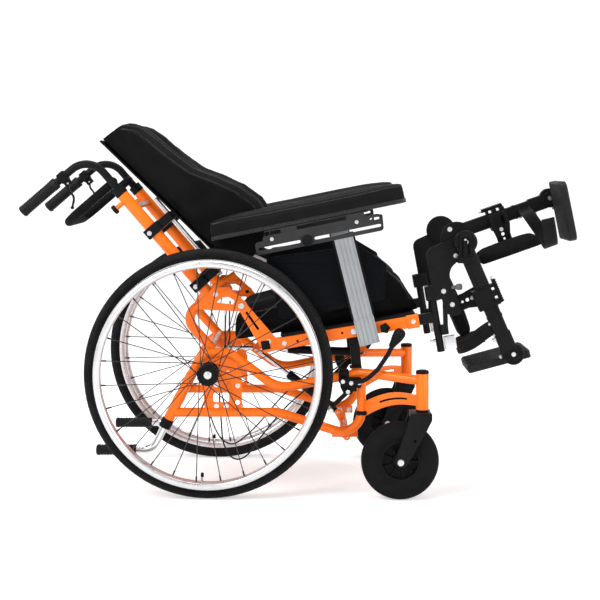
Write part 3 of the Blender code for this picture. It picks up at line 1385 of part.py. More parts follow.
def back_shell(frame):
    """Panel behind the cushion, two upright rails and the clamps that hold them to the tubes."""
    front = [(shell_x(z) - GAP, z) for z in (SHELL_LOW, SHELL_HIGH)]
    rear = [(x - SHELL_THICKNESS, z) for x, z in front[::-1]]
    solids = [plate(front + rear, 2 * SHELL_HALF_WIDTH)]
    cuts = []
    for side, sign in SIDES:
        y = sign * BACK_RAIL_Y
        low, high = CLAMP_HEIGHTS[0] - 0.02, CLAMP_HEIGHTS[1] + 0.06
        solids.append(rod((BACK_RAIL_X, y, low), (BACK_RAIL_X, y, high), BACK_RAIL))
        tube_y = sign * BACK_TUBE_Y
        for z in CLAMP_HEIGHTS:
            half = CLAMP_HEIGHT / 2
            solids.append(block((BACK_TUBE_X - 0.022, tube_y - CLAMP_HALF_WIDTH, z - half),
                                (BACK_TUBE_X + 0.022, tube_y + CLAMP_HALF_WIDTH, z + half)))
            inner, outer = sorted((sign * (BACK_RAIL_Y - 0.009), sign * (BACK_TUBE_Y + 0.010)))
            solids.append(block((BACK_TUBE_X + 0.010, inner, z - half + 0.0015),
                                (BACK_RAIL_X + 0.008, outer, z + half - 0.0015)))
            inner, outer = y - 0.008, y + 0.008
            solids.append(block((BACK_RAIL_X, inner, z - half + 0.003),
                                (shell_x(z) - 0.002, outer, z + half - 0.003)))
        cuts.append(rod((BACK_TUBE_X, tube_y, 0.06), (BACK_TUBE_X, tube_y, 0.34), BACK_TUBE + GAP, 10))
    return part("back_shell", "black_plastic", frame, solids, cuts)


def back_cushion(frame):
    """A deep cushion whose side wings are low and wide at the elbow and narrow at the head."""
    rings = []
    bottom, top = WING_FRONT[0][0], WING_FRONT[-1][0]
    for z, front in WING_FRONT:
        rear = shell_x(z)
        ends = 0.010 if z in (bottom, top) else 0.0
        w = WING_HALF_WIDTH - ends
        middle = rear + BACK_PAD - ends + LUMBAR_SWELL * sin(pi * (z - bottom) / (top - bottom))
        depth = front - rear
        wall = (front + middle) / 2
        half = [
            (rear, w * 0.65), (rear + 0.006, w - 0.014), (rear + 0.020, w - 0.003),
            (rear + depth * 0.5, w + 0.001 - ends * 0.2),
            (front - 0.014, w - 0.001), (front - 0.003, w - 0.009), (front, w - 0.021),
            (front - 0.006, w - 0.035),
            (wall, WING_INNER - 0.004), (middle + 0.005, WING_INNER - 0.018), (middle, WING_INNER * 0.45),
        ]
        ring = [(x, y, z) for x, y in half] + [(middle - 0.002, 0, z)] + [(x, -y, z) for x, y in half[::-1]]
        rings.append(ring)
    return part("back_cushion", "fabric", frame, [loft(rings)])


# Push bar, in the back's frame

def push_handle(side, sign, frame):
    """The bent tube that slides in the back tube, with the release lever's clamp."""
    y = sign * BACK_TUBE_Y
    corners = [
        (BACK_TUBE_X, y, HANDLE_LOW), (BACK_TUBE_X, y, HANDLE_HEIGHT), (GRIP_END_X + 0.004, y, HANDLE_HEIGHT),
    ]
    pipe = tube(corners, HANDLE_TUBE, HANDLE_BEND, 10)
    x, z = RELEASE_PIVOT_X, HANDLE_HEIGHT - RELEASE_PIVOT_DROP
    clamp = block((x - 0.011, y - 0.0135, z + 0.006), (x + 0.011, y + 0.0135, z + 0.034))
    fork = [block((x - 0.009, y + side_y - 0.002, z - 0.006), (x + 0.009, y + side_y + 0.002, z + 0.010))
            for side_y in (-0.008, 0.008)]
    pin = rod((x, y - 0.009, z), (x, y + 0.009, z), 0.0025)
    return part("push_handle_" + side, "black_paint", frame, [pipe, clamp, *fork, pin])


def handle_grip(side, sign, frame):
    y = sign * BACK_TUBE_Y
    grip = turned_profile([
        (0, 0), (GRIP - 0.003, 0), (GRIP, 0.003), (GRIP, GRIP_LENGTH), (0, GRIP_LENGTH),
    ], 12, "X")
    grip = shifted(grip, GRIP_END_X, y, HANDLE_HEIGHT)
    start = (GRIP_END_X + 0.0035, y, HANDLE_HEIGHT)
    bore = rod(start, (GRIP_END_X + GRIP_LENGTH + 0.01, y, HANDLE_HEIGHT), HANDLE_TUBE + GAP, 10)
    return part("handle_grip_" + side, "rubber", frame, [grip], [bore])


def release_lever(side, frame):
    """The curved blade under the grip, in its own pivot's frame."""
    x, z = RELEASE_REACH
    route = [(0, 0, 0), (-0.010, 0, -0.012), (-0.011, 0, -0.036), (x, 0, z)]
    blade = sweep(fillet(route, 0.02), box_section(0.010, 0.004), (0, 1, 0))
    hub = rod((0, -0.0055, 0), (0, 0.0055, 0), 0.0055, 10)
    end = rod((x, -0.006, z), (x, 0.006, z), 0.0040)
    bore = rod((0, -0.01, 0), (0, 0.01, 0), 0.0025 + GAP)
    return part("release_lever_" + side, "black_plastic", frame, [blade, hub, end], [bore])


def push_hoop(frame):
    """The padded hoop between the two handles."""
    end = BACK_TUBE_Y - HANDLE_TUBE - GAP
    x, z = BACK_TUBE_X, HOOP_HEIGHT
    corners = [
        (x, -end, z), (x, -HOOP_Y, z), (HOOP_REAR, -HOOP_Y, z),
        (HOOP_REAR, HOOP_Y, z), (x, HOOP_Y, z), (x, end, z),
    ]
    return part("push_hoop", "rubber", frame, [tube(corners, HOOP, [0.012, 0.045, 0.045, 0.012])])


# Gas springs: the cylinder's frame has +X along the spring

def spring_cylinder(name, length, frame):
    barrel = turned_profile([
        (0, 0.005), (0.0062, 0.005), (0.0062, 0.0115), (SPRING_CYLINDER, 0.0165),
        (SPRING_CYLINDER, length), (0, length),
    ], 10, "X")
    eye = rod((0, -SPRING_EYE_WIDTH / 2, 0), (0, SPRING_EYE_WIDTH / 2, 0), SPRING_EYE, 10)
    cuts = [rod((0, -0.02, 0), (0, 0.02, 0), SPRING_PIN + RUNNING_GAP),
            rod((0.020, 0, 0), (length + 0.01, 0, 0), SPRING_ROD + GAP)]
    return part(name, "black_paint", frame, [barrel, eye], cuts)


def spring_rod(name, start, end, frame):
    """The rod that slides in the cylinder, with the eye at its free end."""
    eye = rod((end, -SPRING_EYE_WIDTH / 2, 0), (end, SPRING_EYE_WIDTH / 2, 0), SPRING_EYE, 10)
    hole = rod((end, -0.02, 0), (end, 0.02, 0), SPRING_PIN + RUNNING_GAP)
    return part(name, "chrome", frame, [rod((start, 0, 0), (end - 0.006, 0, 0), SPRING_ROD), eye], [hole])


def spring_frames(name, parent, base, far, y):
    """Empties for a gas spring's cylinder and rod, and its length."""
    run = Vector((far[0] - base[0], far[1] - base[1]))
    lean = run.angle_signed(Vector((1, 0)))
    cylinder = joint_frame(name + "_cylinder_axis", parent, (base[0], y, base[1]), lean)
    rod_frame = joint_frame(name + "_rod_axis", cylinder, (0, 0, 0))
    return cylinder, rod_frame, run.length


# Release cables

def smooth_route(points, per_span=2):
    """A smooth curve through hand-picked points, read at even steps."""
    padded = [points[0] * 2 - points[1], *points, points[-1] * 2 - points[-2]]
    route = []
    for before, start, end, after in zip(padded, padded[1:], padded[2:], padded[3:]):
        for i in range(per_span):
            t = i / per_span
            square = 2 * before - 5 * start + 4 * end - after
            cube = 3 * start - before - 3 * end + after
            route.append((2 * start + (end - before) * t + square * t ** 2 + cube * t ** 3) / 2)
    route.append(points[-1])
    return route


def release_cable(side, seat):
    """A cable that hangs in a loop behind the seat and ends at the recline spring's lugs."""
    level = Matrix.Rotation(SEAT_TILT, 4, "Y")
    y = CABLE_Y[side]
    points = [level @ Vector((x, y, z)) for x, z in CABLE_ROUTE[side]]
    outward = 1 if side == "left" else -1
    lug_side = RECLINE_Y + outward * (EAR_GAP / 2 + EAR_THICKNESS + PIN_STAND_OUT + GAP + CABLE * 0.9)
    points.append(Vector((RECLINE_BASE[0] - 0.075, y + (lug_side - y) * 0.6, RECLINE_BASE[1] - 0.018)))
    for back, drop in ((0.040, 0.006), (0.020, 0.002), (-0.002, 0.0)):
        points.append(Vector((RECLINE_BASE[0] - back, lug_side, RECLINE_BASE[1] - drop)))
    cord = sweep(smooth_route(points), round_section(CABLE, CABLE_SIDES))
    return part("release_cable_" + side, "rubber", seat, [cord])


# Leg rests

def hanger_plate(y):
    """The side plate: round at the rear, hollow in front, with a strip down to the cradle."""
    knee = Vector(KNEE)
    outline = rounded([HANGER_PLATE_REAR, HANGER_PLATE_CORNER, HANGER_PLATE_TOP], [0, HANGER_PLATE_ROUND, 0])
    for i in range(6):
        angle = radians(115 - 46 * i)
        outline.append((knee.x + 0.019 * cos(angle), knee.y + 0.019 * sin(angle)))
    return plate(outline + list(HANGER_PLATE_FRONT), PLATE_THICKNESS, y)


def leg_hanger(side, sign, frame):
    """The side plate, the bracket and cradle that swing on the post, and the knee's pin."""
    y = sign * (LEG_PLATE_Y - SEAT_RAIL_Y + PLATE_THICKNESS / 2)
    knee = Vector(KNEE)
    solids = [hanger_plate(y)]
    for (rear, low), (front, high) in (HANGER_BRACKET, HANGER_CRADLE):
        near, far = sorted((-sign * (HANGER_POST + HANGER_WALL), y + sign * (PLATE_THICKNESS / 2 - 0.0002)))
        solids.append(block((rear, near, low), (front, far, high)))
    bore = rod((0, 0, -0.12), (0, 0, 0.10), HANGER_POST + RUNNING_GAP, 10)
    reach = sign * (KNEE_Y + KNEE_DISC_WIDTH / 2 - SEAT_RAIL_Y)
    solids.append(rod((knee.x, y, knee.y), (knee.x, reach, knee.y), KNEE_PIN, 10))
    solids.append(rod((0.050, y, 0.0680), (0.064, y, 0.0668), 0.0050))
    solids.append(rod((0.061, y, 0.0670), (0.0765, y, 0.0658), 0.0080))
    return part("leg_hanger_" + side, "black_paint", frame, solids, [bore])


def leg_upper(side, sign, frame):
    """Knee disc with its latch, the inner tube, and the calf pad's bracket."""
    half = KNEE_DISC_WIDTH / 2
    disc = turned_profile([(0, -half), (KNEE_DISC - 0.002, -half), (KNEE_DISC, -half + 0.002),
                           (KNEE_DISC, half), (0, half)], 14)
    inner_end = (0, 0, LEG_TUBE_ABOVE_ANKLE - LEG_LENGTH)
    inner_tube = sweep([(0, 0, -0.015), inner_end], box_section(LEG_TUBE_WIDTH, LEG_TUBE_DEPTH, 0.005))
    near, far = sorted((sign * (half - 0.002), sign * (half + 0.005)))
    latch = block((-0.014, near, -0.052), (0.014, far, 0.016))
    top, bottom = -CALF_CLAMP_TOP, -CALF_CLAMP_BOTTOM
    near, far = sorted((-sign * 0.016, sign * 0.0155))
    clamp = block((-0.022, near, bottom), (0.022, far, top))
    arm_y = KNEE_Y - CALF_PAD_Y - CALF_PAD_SIZE[1] / 2 - 0.008
    back_x = CALF_PAD_X - CALF_PAD_SIZE[0] / 2 - GAP
    near, far = sorted((-sign * arm_y, -sign * 0.010))
    inward = block((-0.020, near, bottom + 0.004), (0.014, far, top - 0.004))
    near, far = sorted((-sign * arm_y, -sign * (arm_y - 0.005)))
    rearward = block((back_x - 0.005, near, bottom + 0.004), (0.014, far, top - 0.004))
    near, far = sorted((-sign * (KNEE_Y - CALF_PAD_Y), -sign * (arm_y - 0.005)))
    behind = block((back_x - 0.005, near, bottom + 0.004), (back_x, far, top - 0.004))
    bore = rod((0, -0.03, 0), (0, 0.03, 0), KNEE_PIN + RUNNING_GAP, 10)
    solids = [disc, inner_tube, latch, clamp, inward, rearward, behind]
    return part("leg_upper_" + side, "black_paint", frame, solids, [bore])


def heel_strap(sign):
    """Flat webbing from the tube's rear, round behind the heel and in over the foot plate."""
    route = [(x, -sign * inward, z) for x, inward, z in STRAP_ROUTE]
    return sweep(route, box_section(STRAP_WIDTH, STRAP_THICKNESS), (0, 0, 1))


def leg_lower(side, sign, frame):
    """The outer tube that sets the leg's length, with the ankle disc and the heel strap."""
    wall = LEG_SLEEVE_WALL + RUNNING_GAP
    top = LEG_LENGTH - LEG_SLEEVE_TOP
    outer = box_section(LEG_TUBE_WIDTH + 2 * LEG_SLEEVE_WALL, LEG_TUBE_DEPTH + 2 * wall, 0.005)
    inner = box_section(LEG_TUBE_WIDTH + 2 * RUNNING_GAP, LEG_TUBE_DEPTH + 2 * RUNNING_GAP, 0.005)
    sleeve = sweep([(0, 0, LEG_SLEEVE_ABOVE_ANKLE), (0, 0, top)], outer, (0, 1, 0))
    hollow = sweep([(0, 0, LEG_TUBE_ABOVE_ANKLE - 0.010), (0, 0, top + 0.01)], inner, (0, 1, 0))
    half = KNEE_DISC_WIDTH / 2
    disc = turned_profile([
        (0, -half), (ANKLE_DISC, -half), (ANKLE_DISC, half), (ANKLE_DISC - 0.004, half + 0.003),
        (0, half + 0.003),
    ], 14)
    if sign < 0:
        disc = turned(disc, pi, "Z")
    bore = rod((0, -sign * (half + 0.01), 0), (0, sign * (half - 0.003), 0), ANKLE_PIN + RUNNING_GAP, 10)
    solids = [sleeve, disc, heel_strap(sign)]
    return part("leg_lower_" + side, "black_paint", frame, solids, [hollow, bore])


def calf_pad(side, sign, frame):
    """A flat crowned pad that the calf rests on."""
    depth, width, height = CALF_PAD_SIZE
    y0 = -sign * (KNEE_Y - CALF_PAD_Y)
    rings = []
    steps = 10
    for i in range(steps + 1):
        turn = pi * i / steps
        z = CALF_PAD_Z[side] - height / 2 * cos(turn)
        swell = min(1.0, 0.45 + 1.3 * sin(turn))
        w = width / 2 * (0.86 + 0.14 * min(1.0, 2 * sin(turn)))
        d = depth / 2
        profile = [
            (w * 0.6, -d), (w * 0.95, -d), (w, -d * 0.4), (w * 0.98, d * swell - 0.009),
            (w * 0.85, d * swell - 0.003), (w * 0.45, d * swell),
        ]
        ring = [(CALF_PAD_X + x, y0 + y, z) for y, x in profile] + [(CALF_PAD_X + d * swell, y0, z)]
        ring += [(CALF_PAD_X + x, y0 - y, z) for y, x in profile[::-1]]
        rings.append(ring)
    return part("calf_pad_" + side, "fabric", frame, [loft(rings)])


def foot_plate(side, sign, frame):
    """The foot plate and its hub on the ankle pin."""
    outer = -sign * (KNEE_Y - FOOT_OUTER_Y)
    inner = -sign * (KNEE_Y - FOOT_INNER_Y)
    near, far = sorted((outer, inner))
    tread = block((FOOT_HEEL, near, FOOT_TOP - FOOT_THICKNESS), (FOOT_TOE, far, FOOT_TOP), 0.006)
    face = -sign * (KNEE_DISC_WIDTH / 2 + GAP)
    hub = rod((0, outer + sign * GAP, 0), (0, face, 0), FOOT_HUB, 12)
    near, far = sorted((outer - sign * 0.010, face))
    lug = block((-FOOT_LUG, near, FOOT_TOP - FOOT_THICKNESS + 0.001), (FOOT_LUG, far, FOOT_TOP - 0.001))
    pin = rod((0, outer, 0), (0, sign * (KNEE_DISC_WIDTH / 2 - 0.004), 0), ANKLE_PIN, 10)
    return part("foot_plate_" + side, "black_plastic", frame, [tread, hub, lug, pin])


def leg_rest(side, sign, seat):
    swing = joint_frame("leg_swing_axis_" + side, seat, (HANGER_X, sign * SEAT_RAIL_Y, 0))
    leg_hanger(side, sign, swing)
    place = (KNEE[0], sign * (KNEE_Y - SEAT_RAIL_Y), KNEE[1])
    knee = joint_frame("knee_axis_" + side, swing, place, LEG_ANGLE[side])
    leg_upper(side, sign, knee)
    calf_pad(side, sign, knee)
    ankle = joint_frame("leg_length_axis_" + side, knee, (0, 0, -LEG_LENGTH))
    leg_lower(side, sign, ankle)
    foot = joint_frame("foot_axis_" + side, ankle, (0, 0, 0), -FOOT_ANGLE)
    foot_plate(side, sign, foot)


def armrest(side, sign, seat):
    arm = joint_frame("arm_height_axis_" + side, seat, (UPRIGHT_X, 0, 0), UPRIGHT_LEAN)
    arm_upright(side, sign, arm)
    side_guard(side, sign, arm)
    inverse = arm.matrix_basis.inverted()
    place = inverse @ Vector((ARM_HEAD[0], 0, ARM_HEAD[1]))
    head = joint_frame("arm_depth_axis_" + side, arm, place, ARM_HEAD_TILT - UPRIGHT_LEAN)
    arm_bracket(side, sign, head)
    arm_pad(side, sign, head)


def wheel_lock(side, sign):
    y = sign * (LOCK_Y + LOCK_THICKNESS)
    lock_body(side, sign)
    (x, z), (shoe_x, shoe_z) = lock_pivot(), shoe_pivot()
    lock_lever(side, sign, joint_frame("lock_lever_axis_" + side, None, (x, y, z)))
    lock_shoe(side, sign, joint_frame("lock_shoe_axis_" + side, None, (shoe_x, y, shoe_z)))


def base_wheels(side, sign):
    wheel = joint_frame("rear_wheel_axis_" + side, None, (ahead(0), sign * REAR_TRACK_Y, REAR_WHEEL_RADIUS))
    rear_tyre(side, wheel)
    rear_wheel(side, sign, wheel)
    handrim(side, sign, wheel)
    swivel = joint_frame("caster_swivel_axis_" + side, None, (ahead(HOUSING_AHEAD), sign * CASTER_Y, 0))
    caster_fork(side, swivel)
    caster_wheel(side, joint_frame("caster_axis_" + side, swivel, (-CASTER_TRAIL, 0, CASTER_RADIUS)))


def push_bar(side, sign, bar):
    push_handle(side, sign, bar)
    handle_grip(side, sign, bar)
    y = sign * BACK_TUBE_Y
    pivot = (RELEASE_PIVOT_X, y, HANDLE_HEIGHT - RELEASE_PIVOT_DROP)
    release_lever(side, joint_frame("release_axis_" + side, bar, pivot))


def main():
    clear_scene()
    spring_base = (ahead(SPRING_BASE_AHEAD), SPRING_BASE_HEIGHT)
    rear_cross()
    front_cross()
    tilt_bridge()
    seat = joint_frame("tilt_axis", None, (ahead(PIVOT_AHEAD_OF_AXLE), 0, PIVOT_HEIGHT), SEAT_TILT)
    seat_frame(seat)
    seat_pan(seat)
    seat_cushion(seat)
    back = joint_frame("recline_axis", seat, (HINGE[0], 0, HINGE[1]), BACK_RECLINE)
    back_frame(back)
    back_shell(back)
    back_cushion(back)
    bar = joint_frame("handle_height_axis", back, (0, 0, 0))
    push_hoop(bar)
    for side, sign in SIDES:
        base_frame(side, sign)
        tip_lever(side, sign)
        base_wheels(side, sign)
        wheel_lock(side, sign)
        armrest(side, sign, seat)
        push_bar(side, sign, bar)
        release_cable(side, seat)
        leg_rest(side, sign, seat)
    tilt_end = seat.matrix_basis @ Vector((TILT_LUG[0], 0, TILT_LUG[1]))
    cylinder, sliding, length = spring_frames("tilt_spring", None, spring_base, (tilt_end.x, tilt_end.z), 0.0)
    spring_cylinder("tilt_spring_cylinder", TILT_CYLINDER_LENGTH, cylinder)
    spring_rod("tilt_spring_rod", 0.080, length, sliding)
    recline_end = back.matrix_basis @ Vector((RECLINE_LUG[0], 0, RECLINE_LUG[1]))
    far_end = (recline_end.x, recline_end.z)
    cylinder, sliding, length = spring_frames("recline_spring", seat, RECLINE_BASE, far_end, RECLINE_Y)
    spring_cylinder("recline_spring_cylinder", RECLINE_CYLINDER_LENGTH, cylinder)
    spring_rod("recline_spring_rod", 0.100, length, sliding)


main()
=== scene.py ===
"""Looks of a pediatric positioning wheelchair, built round its packed frame.

Every piece stands where the frame's own solids stand: metres, +X forward, +Y to the sitter's
left, +Z up. Shapes of a group are drawn in that group's level frame and then placed.
"""

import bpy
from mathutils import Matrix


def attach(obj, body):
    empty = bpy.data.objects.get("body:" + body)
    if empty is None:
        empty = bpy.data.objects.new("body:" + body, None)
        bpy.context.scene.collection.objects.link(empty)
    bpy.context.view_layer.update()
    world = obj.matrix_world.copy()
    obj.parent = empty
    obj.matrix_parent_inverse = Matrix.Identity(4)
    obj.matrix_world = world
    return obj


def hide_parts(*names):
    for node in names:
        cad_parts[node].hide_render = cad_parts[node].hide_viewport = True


bl_info = {
    "name": "Positioning wheelchair",
    "version": (1, 0, 0),
    "blender": (4, 5, 0),
    "location": "3D View > Sidebar > Wheelchair",
    "description": "Builds the wheels, frame, upholstery and leg rests of a tilting child's wheelchair",
    "category": "Add Mesh",
}

from math import atan2, ceil, cos, pi, radians, sin, sqrt, tan

import bmesh
import bpy
from bpy.props import FloatProperty, FloatVectorProperty, IntProperty, PointerProperty
from mathutils import Matrix, Vector
from mathutils.bvhtree import BVHTree

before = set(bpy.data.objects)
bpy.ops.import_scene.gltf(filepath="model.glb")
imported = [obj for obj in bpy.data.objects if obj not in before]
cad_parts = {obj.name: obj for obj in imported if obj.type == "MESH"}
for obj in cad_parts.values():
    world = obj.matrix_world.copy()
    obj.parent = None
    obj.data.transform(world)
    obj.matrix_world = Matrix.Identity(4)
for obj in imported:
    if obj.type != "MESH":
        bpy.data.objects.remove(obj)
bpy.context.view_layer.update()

# Places of the groups
SIDES = (("right", -1), ("left", 1))
AXLE_X = -0.2407
WHEEL_R = 0.305
TRACK_Y = 0.245
FRAME_Y = 0.185
RAIL_Y = 0.19
BACK_TUBE_Y = 0.178
CASTER_Y = 0.257
KNEE_Y = 0.2195
CALF_Y = KNEE_Y - 0.1
LEG_LENGTH = 0.299
TUBE = 0.0115
LEG_TUBE = 0.013
PLATE = 0.005
SEAT_TILT = radians(9.5)
RECLINE = radians(31.4)
LEG_ANGLE = {"right": radians(13.5), "left": radians(99.7)}
FOOT_ANGLE = radians(8)
HINGE = (-0.2637, 0.1084)
HANGER_X = 0.2067
POST_X, POST_LEAN = 0.0315, radians(4.5)
RECLINE_SPRING_Y = 0.06
RECLINE_FOOT = (0.02, -0.09)
RECLINE_HEAD = (-0.13, -0.066)
TILT_HEAD = (-0.256, -0.028)
KNEE = (0.1011, 0.1743)


def level(x, y, z, turn=0.0):
    """A group's level frame: its origin, and how far its front end is raised."""
    return Matrix.Translation((x, y, z)) @ Matrix.Rotation(-turn, 4, "Y")


PLACE = {"base": Matrix.Identity(4), "seat": level(0.1157, 0, 0.4016, SEAT_TILT)}
PLACE["back"] = PLACE["seat"] @ level(HINGE[0], 0, HINGE[1], RECLINE)
PLACE["arm"] = PLACE["seat"] @ level(POST_X, 0, 0, POST_LEAN)
PLACE["head"] = PLACE["seat"] @ level(-0.0757, 0, 0.2428, radians(1.9))
for _side, _sign in SIDES:
    PLACE["hanger_" + _side] = PLACE["seat"] @ level(HANGER_X, _sign * RAIL_Y, 0)
    PLACE["leg_" + _side] = PLACE["hanger_" + _side] @ level(KNEE[0], _sign * (KNEE_Y - RAIL_Y), KNEE[1],
        LEG_ANGLE[_side])
    PLACE["end_" + _side] = PLACE["leg_" + _side] @ level(0, 0, -LEG_LENGTH)
    PLACE["foot_" + _side] = PLACE["end_" + _side] @ level(0, 0, 0, -FOOT_ANGLE)


def ahead(distance):
    """Place along X of something that lies so far ahead of the rear axle."""
    return AXLE_X + distance


FRONT_X = ahead(0.3762)
HOUSING_X = ahead(0.5217)
TILT_FOOT = (ahead(0.3237), 0.168)
LOWER_RAIL_Z, VALLEY_Z, RAIL_Z, UPPER_Z = 0.1991, 0.2575, 0.2975, 0.3468


# What a user may change

def tint(label, color):
    return FloatVectorProperty(name=label, subtype="COLOR", size=3, min=0.0, max=1.0, default=color,
                               description=label + ", as linear red, green and blue")


class ChairSettings(bpy.types.PropertyGroup):
    """Colours and small sizes that someone may want to change before building."""
    paint: tint("Frame paint", (0.86, 0.15, 0.004))
    coating: tint("Black coating", (0.0065, 0.0065, 0.007))
    moulding: tint("Black plastic", (0.006, 0.006, 0.0064))
    cloth: tint("Cushion cloth", (0.007, 0.0069, 0.0072))
    rubber: tint("Tyre rubber", (0.0075, 0.0075, 0.0078))
    silver: tint("Push rim and uprights", (0.62, 0.62, 0.63))
    spokes: IntProperty(name="Spokes", description="Spokes in each rear wheel", default=28, min=12, max=48)
    spoke_radius: FloatProperty(name="Spoke radius", description="Half the thickness of one spoke",
                                default=0.0012, min=0.0005,
                                max=0.002, precision=4, unit="LENGTH")
    welt_radius: FloatProperty(name="Welt radius", description="Half the thickness of the cushions' piping",
                               default=0.0018,
                               min=0.0008, max=0.004, precision=4, unit="LENGTH")
    stitch_pitch: FloatProperty(name="Stitch pitch", description="Distance from one stitch to the next",
                                default=0.0045,
                                min=0.002, max=0.01, precision=4, unit="LENGTH")
    puff: FloatProperty(name="Cushion puff", description="How far the filling may push a cushion's skin out",
                        default=0.0075,
                        min=0.0, max=0.02, precision=4, unit="LENGTH")


def settings():
    """What the user has set for this chair."""
    return bpy.context.scene.wheelchair


# Shapes: each function returns a bmesh with closed skins

def fillet(corners, bends, step=radians(8)):
    """Round each inner corner of a route by its bend radius."""
    corners = [Vector(c) for c in corners]
    if not isinstance(bends, (list, tuple)):
        bends = [bends] * (len(corners) - 2)
    route = [corners[0]]
    for before, corner, after, bend in zip(corners, corners[1:], corners[2:], bends):
        into, out = (corner - before).normalized(), (after - corner).normalized()
        turn = into.angle(out)
        half = tan(turn / 2)
        reach = min(bend * half, (corner - route[-1]).length * 0.95, (after - corner).length * 0.49)
        radius = reach / half
        centre = corner + (out - into).normalized() * sqrt(reach ** 2 + radius ** 2)
        spoke = corner - into * reach - centre
        steps = max(2, ceil(turn / step))
        route += [centre + Matrix.Rotation(turn * i / steps, 3, into.cross(out)) @ spoke
                  for i in range(steps + 1)]
    return route + [corners[-1]]


def spline(points, per_span):
    """A smooth curve through points."""
    points = [Vector(p) for p in points]
    padded = [points[0] * 2 - points[1], *points, points[-1] * 2 - points[-2]]
    route = []
    for a, b, c, d in zip(padded, padded[1:], padded[2:], padded[3:]):
        for i in range(per_span):
            t = i / per_span
            route.append((2 * b + (c - a) * t + (2 * a - 5 * b + 4 * c - d) * t * t
                          + (3 * b - a - 3 * c + d) * t ** 3) / 2)
    return route + [points[-1]]


def circle(radius, sides, centre=(0.0, 0.0)):
    return [(centre[0] + radius * cos(2 * pi * i / sides), centre[1] + radius * sin(2 * pi * i / sides))
            for i in range(sides)]


def rounded(corners, radius, step=radians(18)):
    """An outline with each corner rounded, by one radius or its own."""
    radii = radius if isinstance(radius, (list, tuple)) else [radius] * len(corners)
    outline = []
    for i, corner in enumerate(corners):
        before, here, after = (Vector(c).to_3d() for c in (corners[i - 1], corner,
            corners[(i + 1) % len(corners)]))
        if radii[i] <= 0:
            outline.append(tuple(here)[:2])
            continue
        outline += [tuple(p)[:2] for p in fillet([here.lerp(before, 0.499), here, here.lerp(after, 0.499)],
                                                 radii[i], step)[1:-1]]
    return outline


def bar_section(width, height, corner):
    """The outline of a bar with rounded corners."""
    w, h = width / 2, height / 2
    return rounded([(w, -h), (w, h), (-w, h), (-w, -h)], corner, radians(30))


def slot(start, end, width):
    """A long hole with round ends."""
    sides = 8
    start, end = Vector(start), Vector(end)
    along = (end - start).normalized()
    across = Vector((-along.y, along.x))
    outline = []
    for centre, sign in ((end, 1), (start, -1)):
        for i in range(sides + 1):
            angle = pi / 2 - pi * i / sides
            outline.append(tuple(centre + sign * (along * cos(angle) + across * sin(angle)) * width / 2))
    return outline


def skin(rings, closed=False):
    """Join rings of equal length in turn, and close the ends unless the last ring meets the first."""
    bm = bmesh.new()
    made = [[bm.verts.new(p) for p in ring] for ring in rings]
    for ring, following in list(zip(made, made[1:])) + ([(made[-1], made[0])] if closed else []):
        for i in range(len(ring)):
            j = (i + 1) % len(ring)
            bm.faces.new((ring[i], ring[j], following[j], following[i]))
    if not closed:
        bm.faces.new(made[0])
        bm.faces.new(made[-1])
    return bm


def sweep(route, section, side=None, closed=False, scale=None):
    """Carry a section along a route. Its first coordinate starts along side."""
    route = [Vector(p) for p in route]
    if side is None:
        side = (0, 1, 0) if abs((route[1] - route[0]).normalized().y) < 0.9 else (1, 0, 0)
    normal, rings, last = Vector(side), [], len(route) - 1
    for i, point in enumerate(route):
        into = point - route[i - 1 if closed else max(i - 1, 0)]
        out = route[(i + 1) % len(route) if closed else min(i + 1, last)] - point
        along = (into.normalized() + out.normalized()).normalized()
        normal = (normal - along * normal.dot(along)).normalized()
        other = along.cross(normal)
        k = scale[i] if scale else 1.0
        rings.append([point + normal * u * k + other * v * k for u, v in section])
    return skin(rings, closed)


def pipe(corners, radius, bends, sides=20):
    """A round tube through corners that are bent by radius."""
    return sweep(fillet(corners, bends), circle(radius, sides))


def rod(start, end, radius, sides, edge=0.0):
    """A round bar, with its two end edges eased."""
    start, end = Vector(start), Vector(end)
    if not edge:
        return sweep([start, end], circle(radius, sides))
    along = (end - start).normalized() * edge
    scale = [1 - edge / radius, 1, 1, 1 - edge / radius]
    return sweep([start, start + along, end - along, end], circle(radius, sides), scale=scale)


def revolve(profile, steps, place=(0, 0, 0)):
    """Turn a profile of (radius, place along Y) round an axis along Y."""
    bm = bmesh.new()
    rings = []
    for radius, along in profile:
        count = steps if radius > 0 else 1
        rings.append([bm.verts.new((radius * cos(2 * pi * i / steps), along, radius * sin(2 * pi * i / steps)))
                      for i in range(count)])
    pairs = list(zip(rings, rings[1:]))
    if profile[0][0] > 0 and profile[-1][0] > 0:
        pairs.append((rings[-1], rings[0]))
    for a, b in pairs:
        for i in range(steps):
            j = (i + 1) % steps
            corners = list(dict.fromkeys([a[i % len(a)], a[j % len(a)], b[j % len(b)], b[i % len(b)]]))
            if len(corners) > 2:
                bm.faces.new(corners)
    bmesh.ops.translate(bm, vec=place, verts=bm.verts)
    return bm


def brick(low, high, bevel, segments=2):
    """A block between two corners, with rounded edges."""
    bm = bmesh.new()
    bmesh.ops.create_cube(bm, size=1.0)
    low, high = Vector(low), Vector(high)
    bmesh.ops.scale(bm, vec=high - low, verts=bm.verts)
    bmesh.ops.translate(bm, vec=(high + low) / 2, verts=bm.verts)
    bmesh.ops.bevel(bm, geom=bm.edges[:], offset=bevel, segments=segments, profile=0.5, affect="EDGES")
    return bm


def side_brick(sign, low, high, bevel, segments=2):
    """A brick drawn for the left side, put on the side that sign says."""
    near, far = sorted((sign * low[1], sign * high[1]))
    return brick((low[0], near, low[2]), (high[0], far, high[2]), bevel, segments)


def both_ways(half):
    """A closed profile from one half of it, given as (radius, distance from the middle)."""
    return [(r, -w) for r, w in half] + half[::-1]


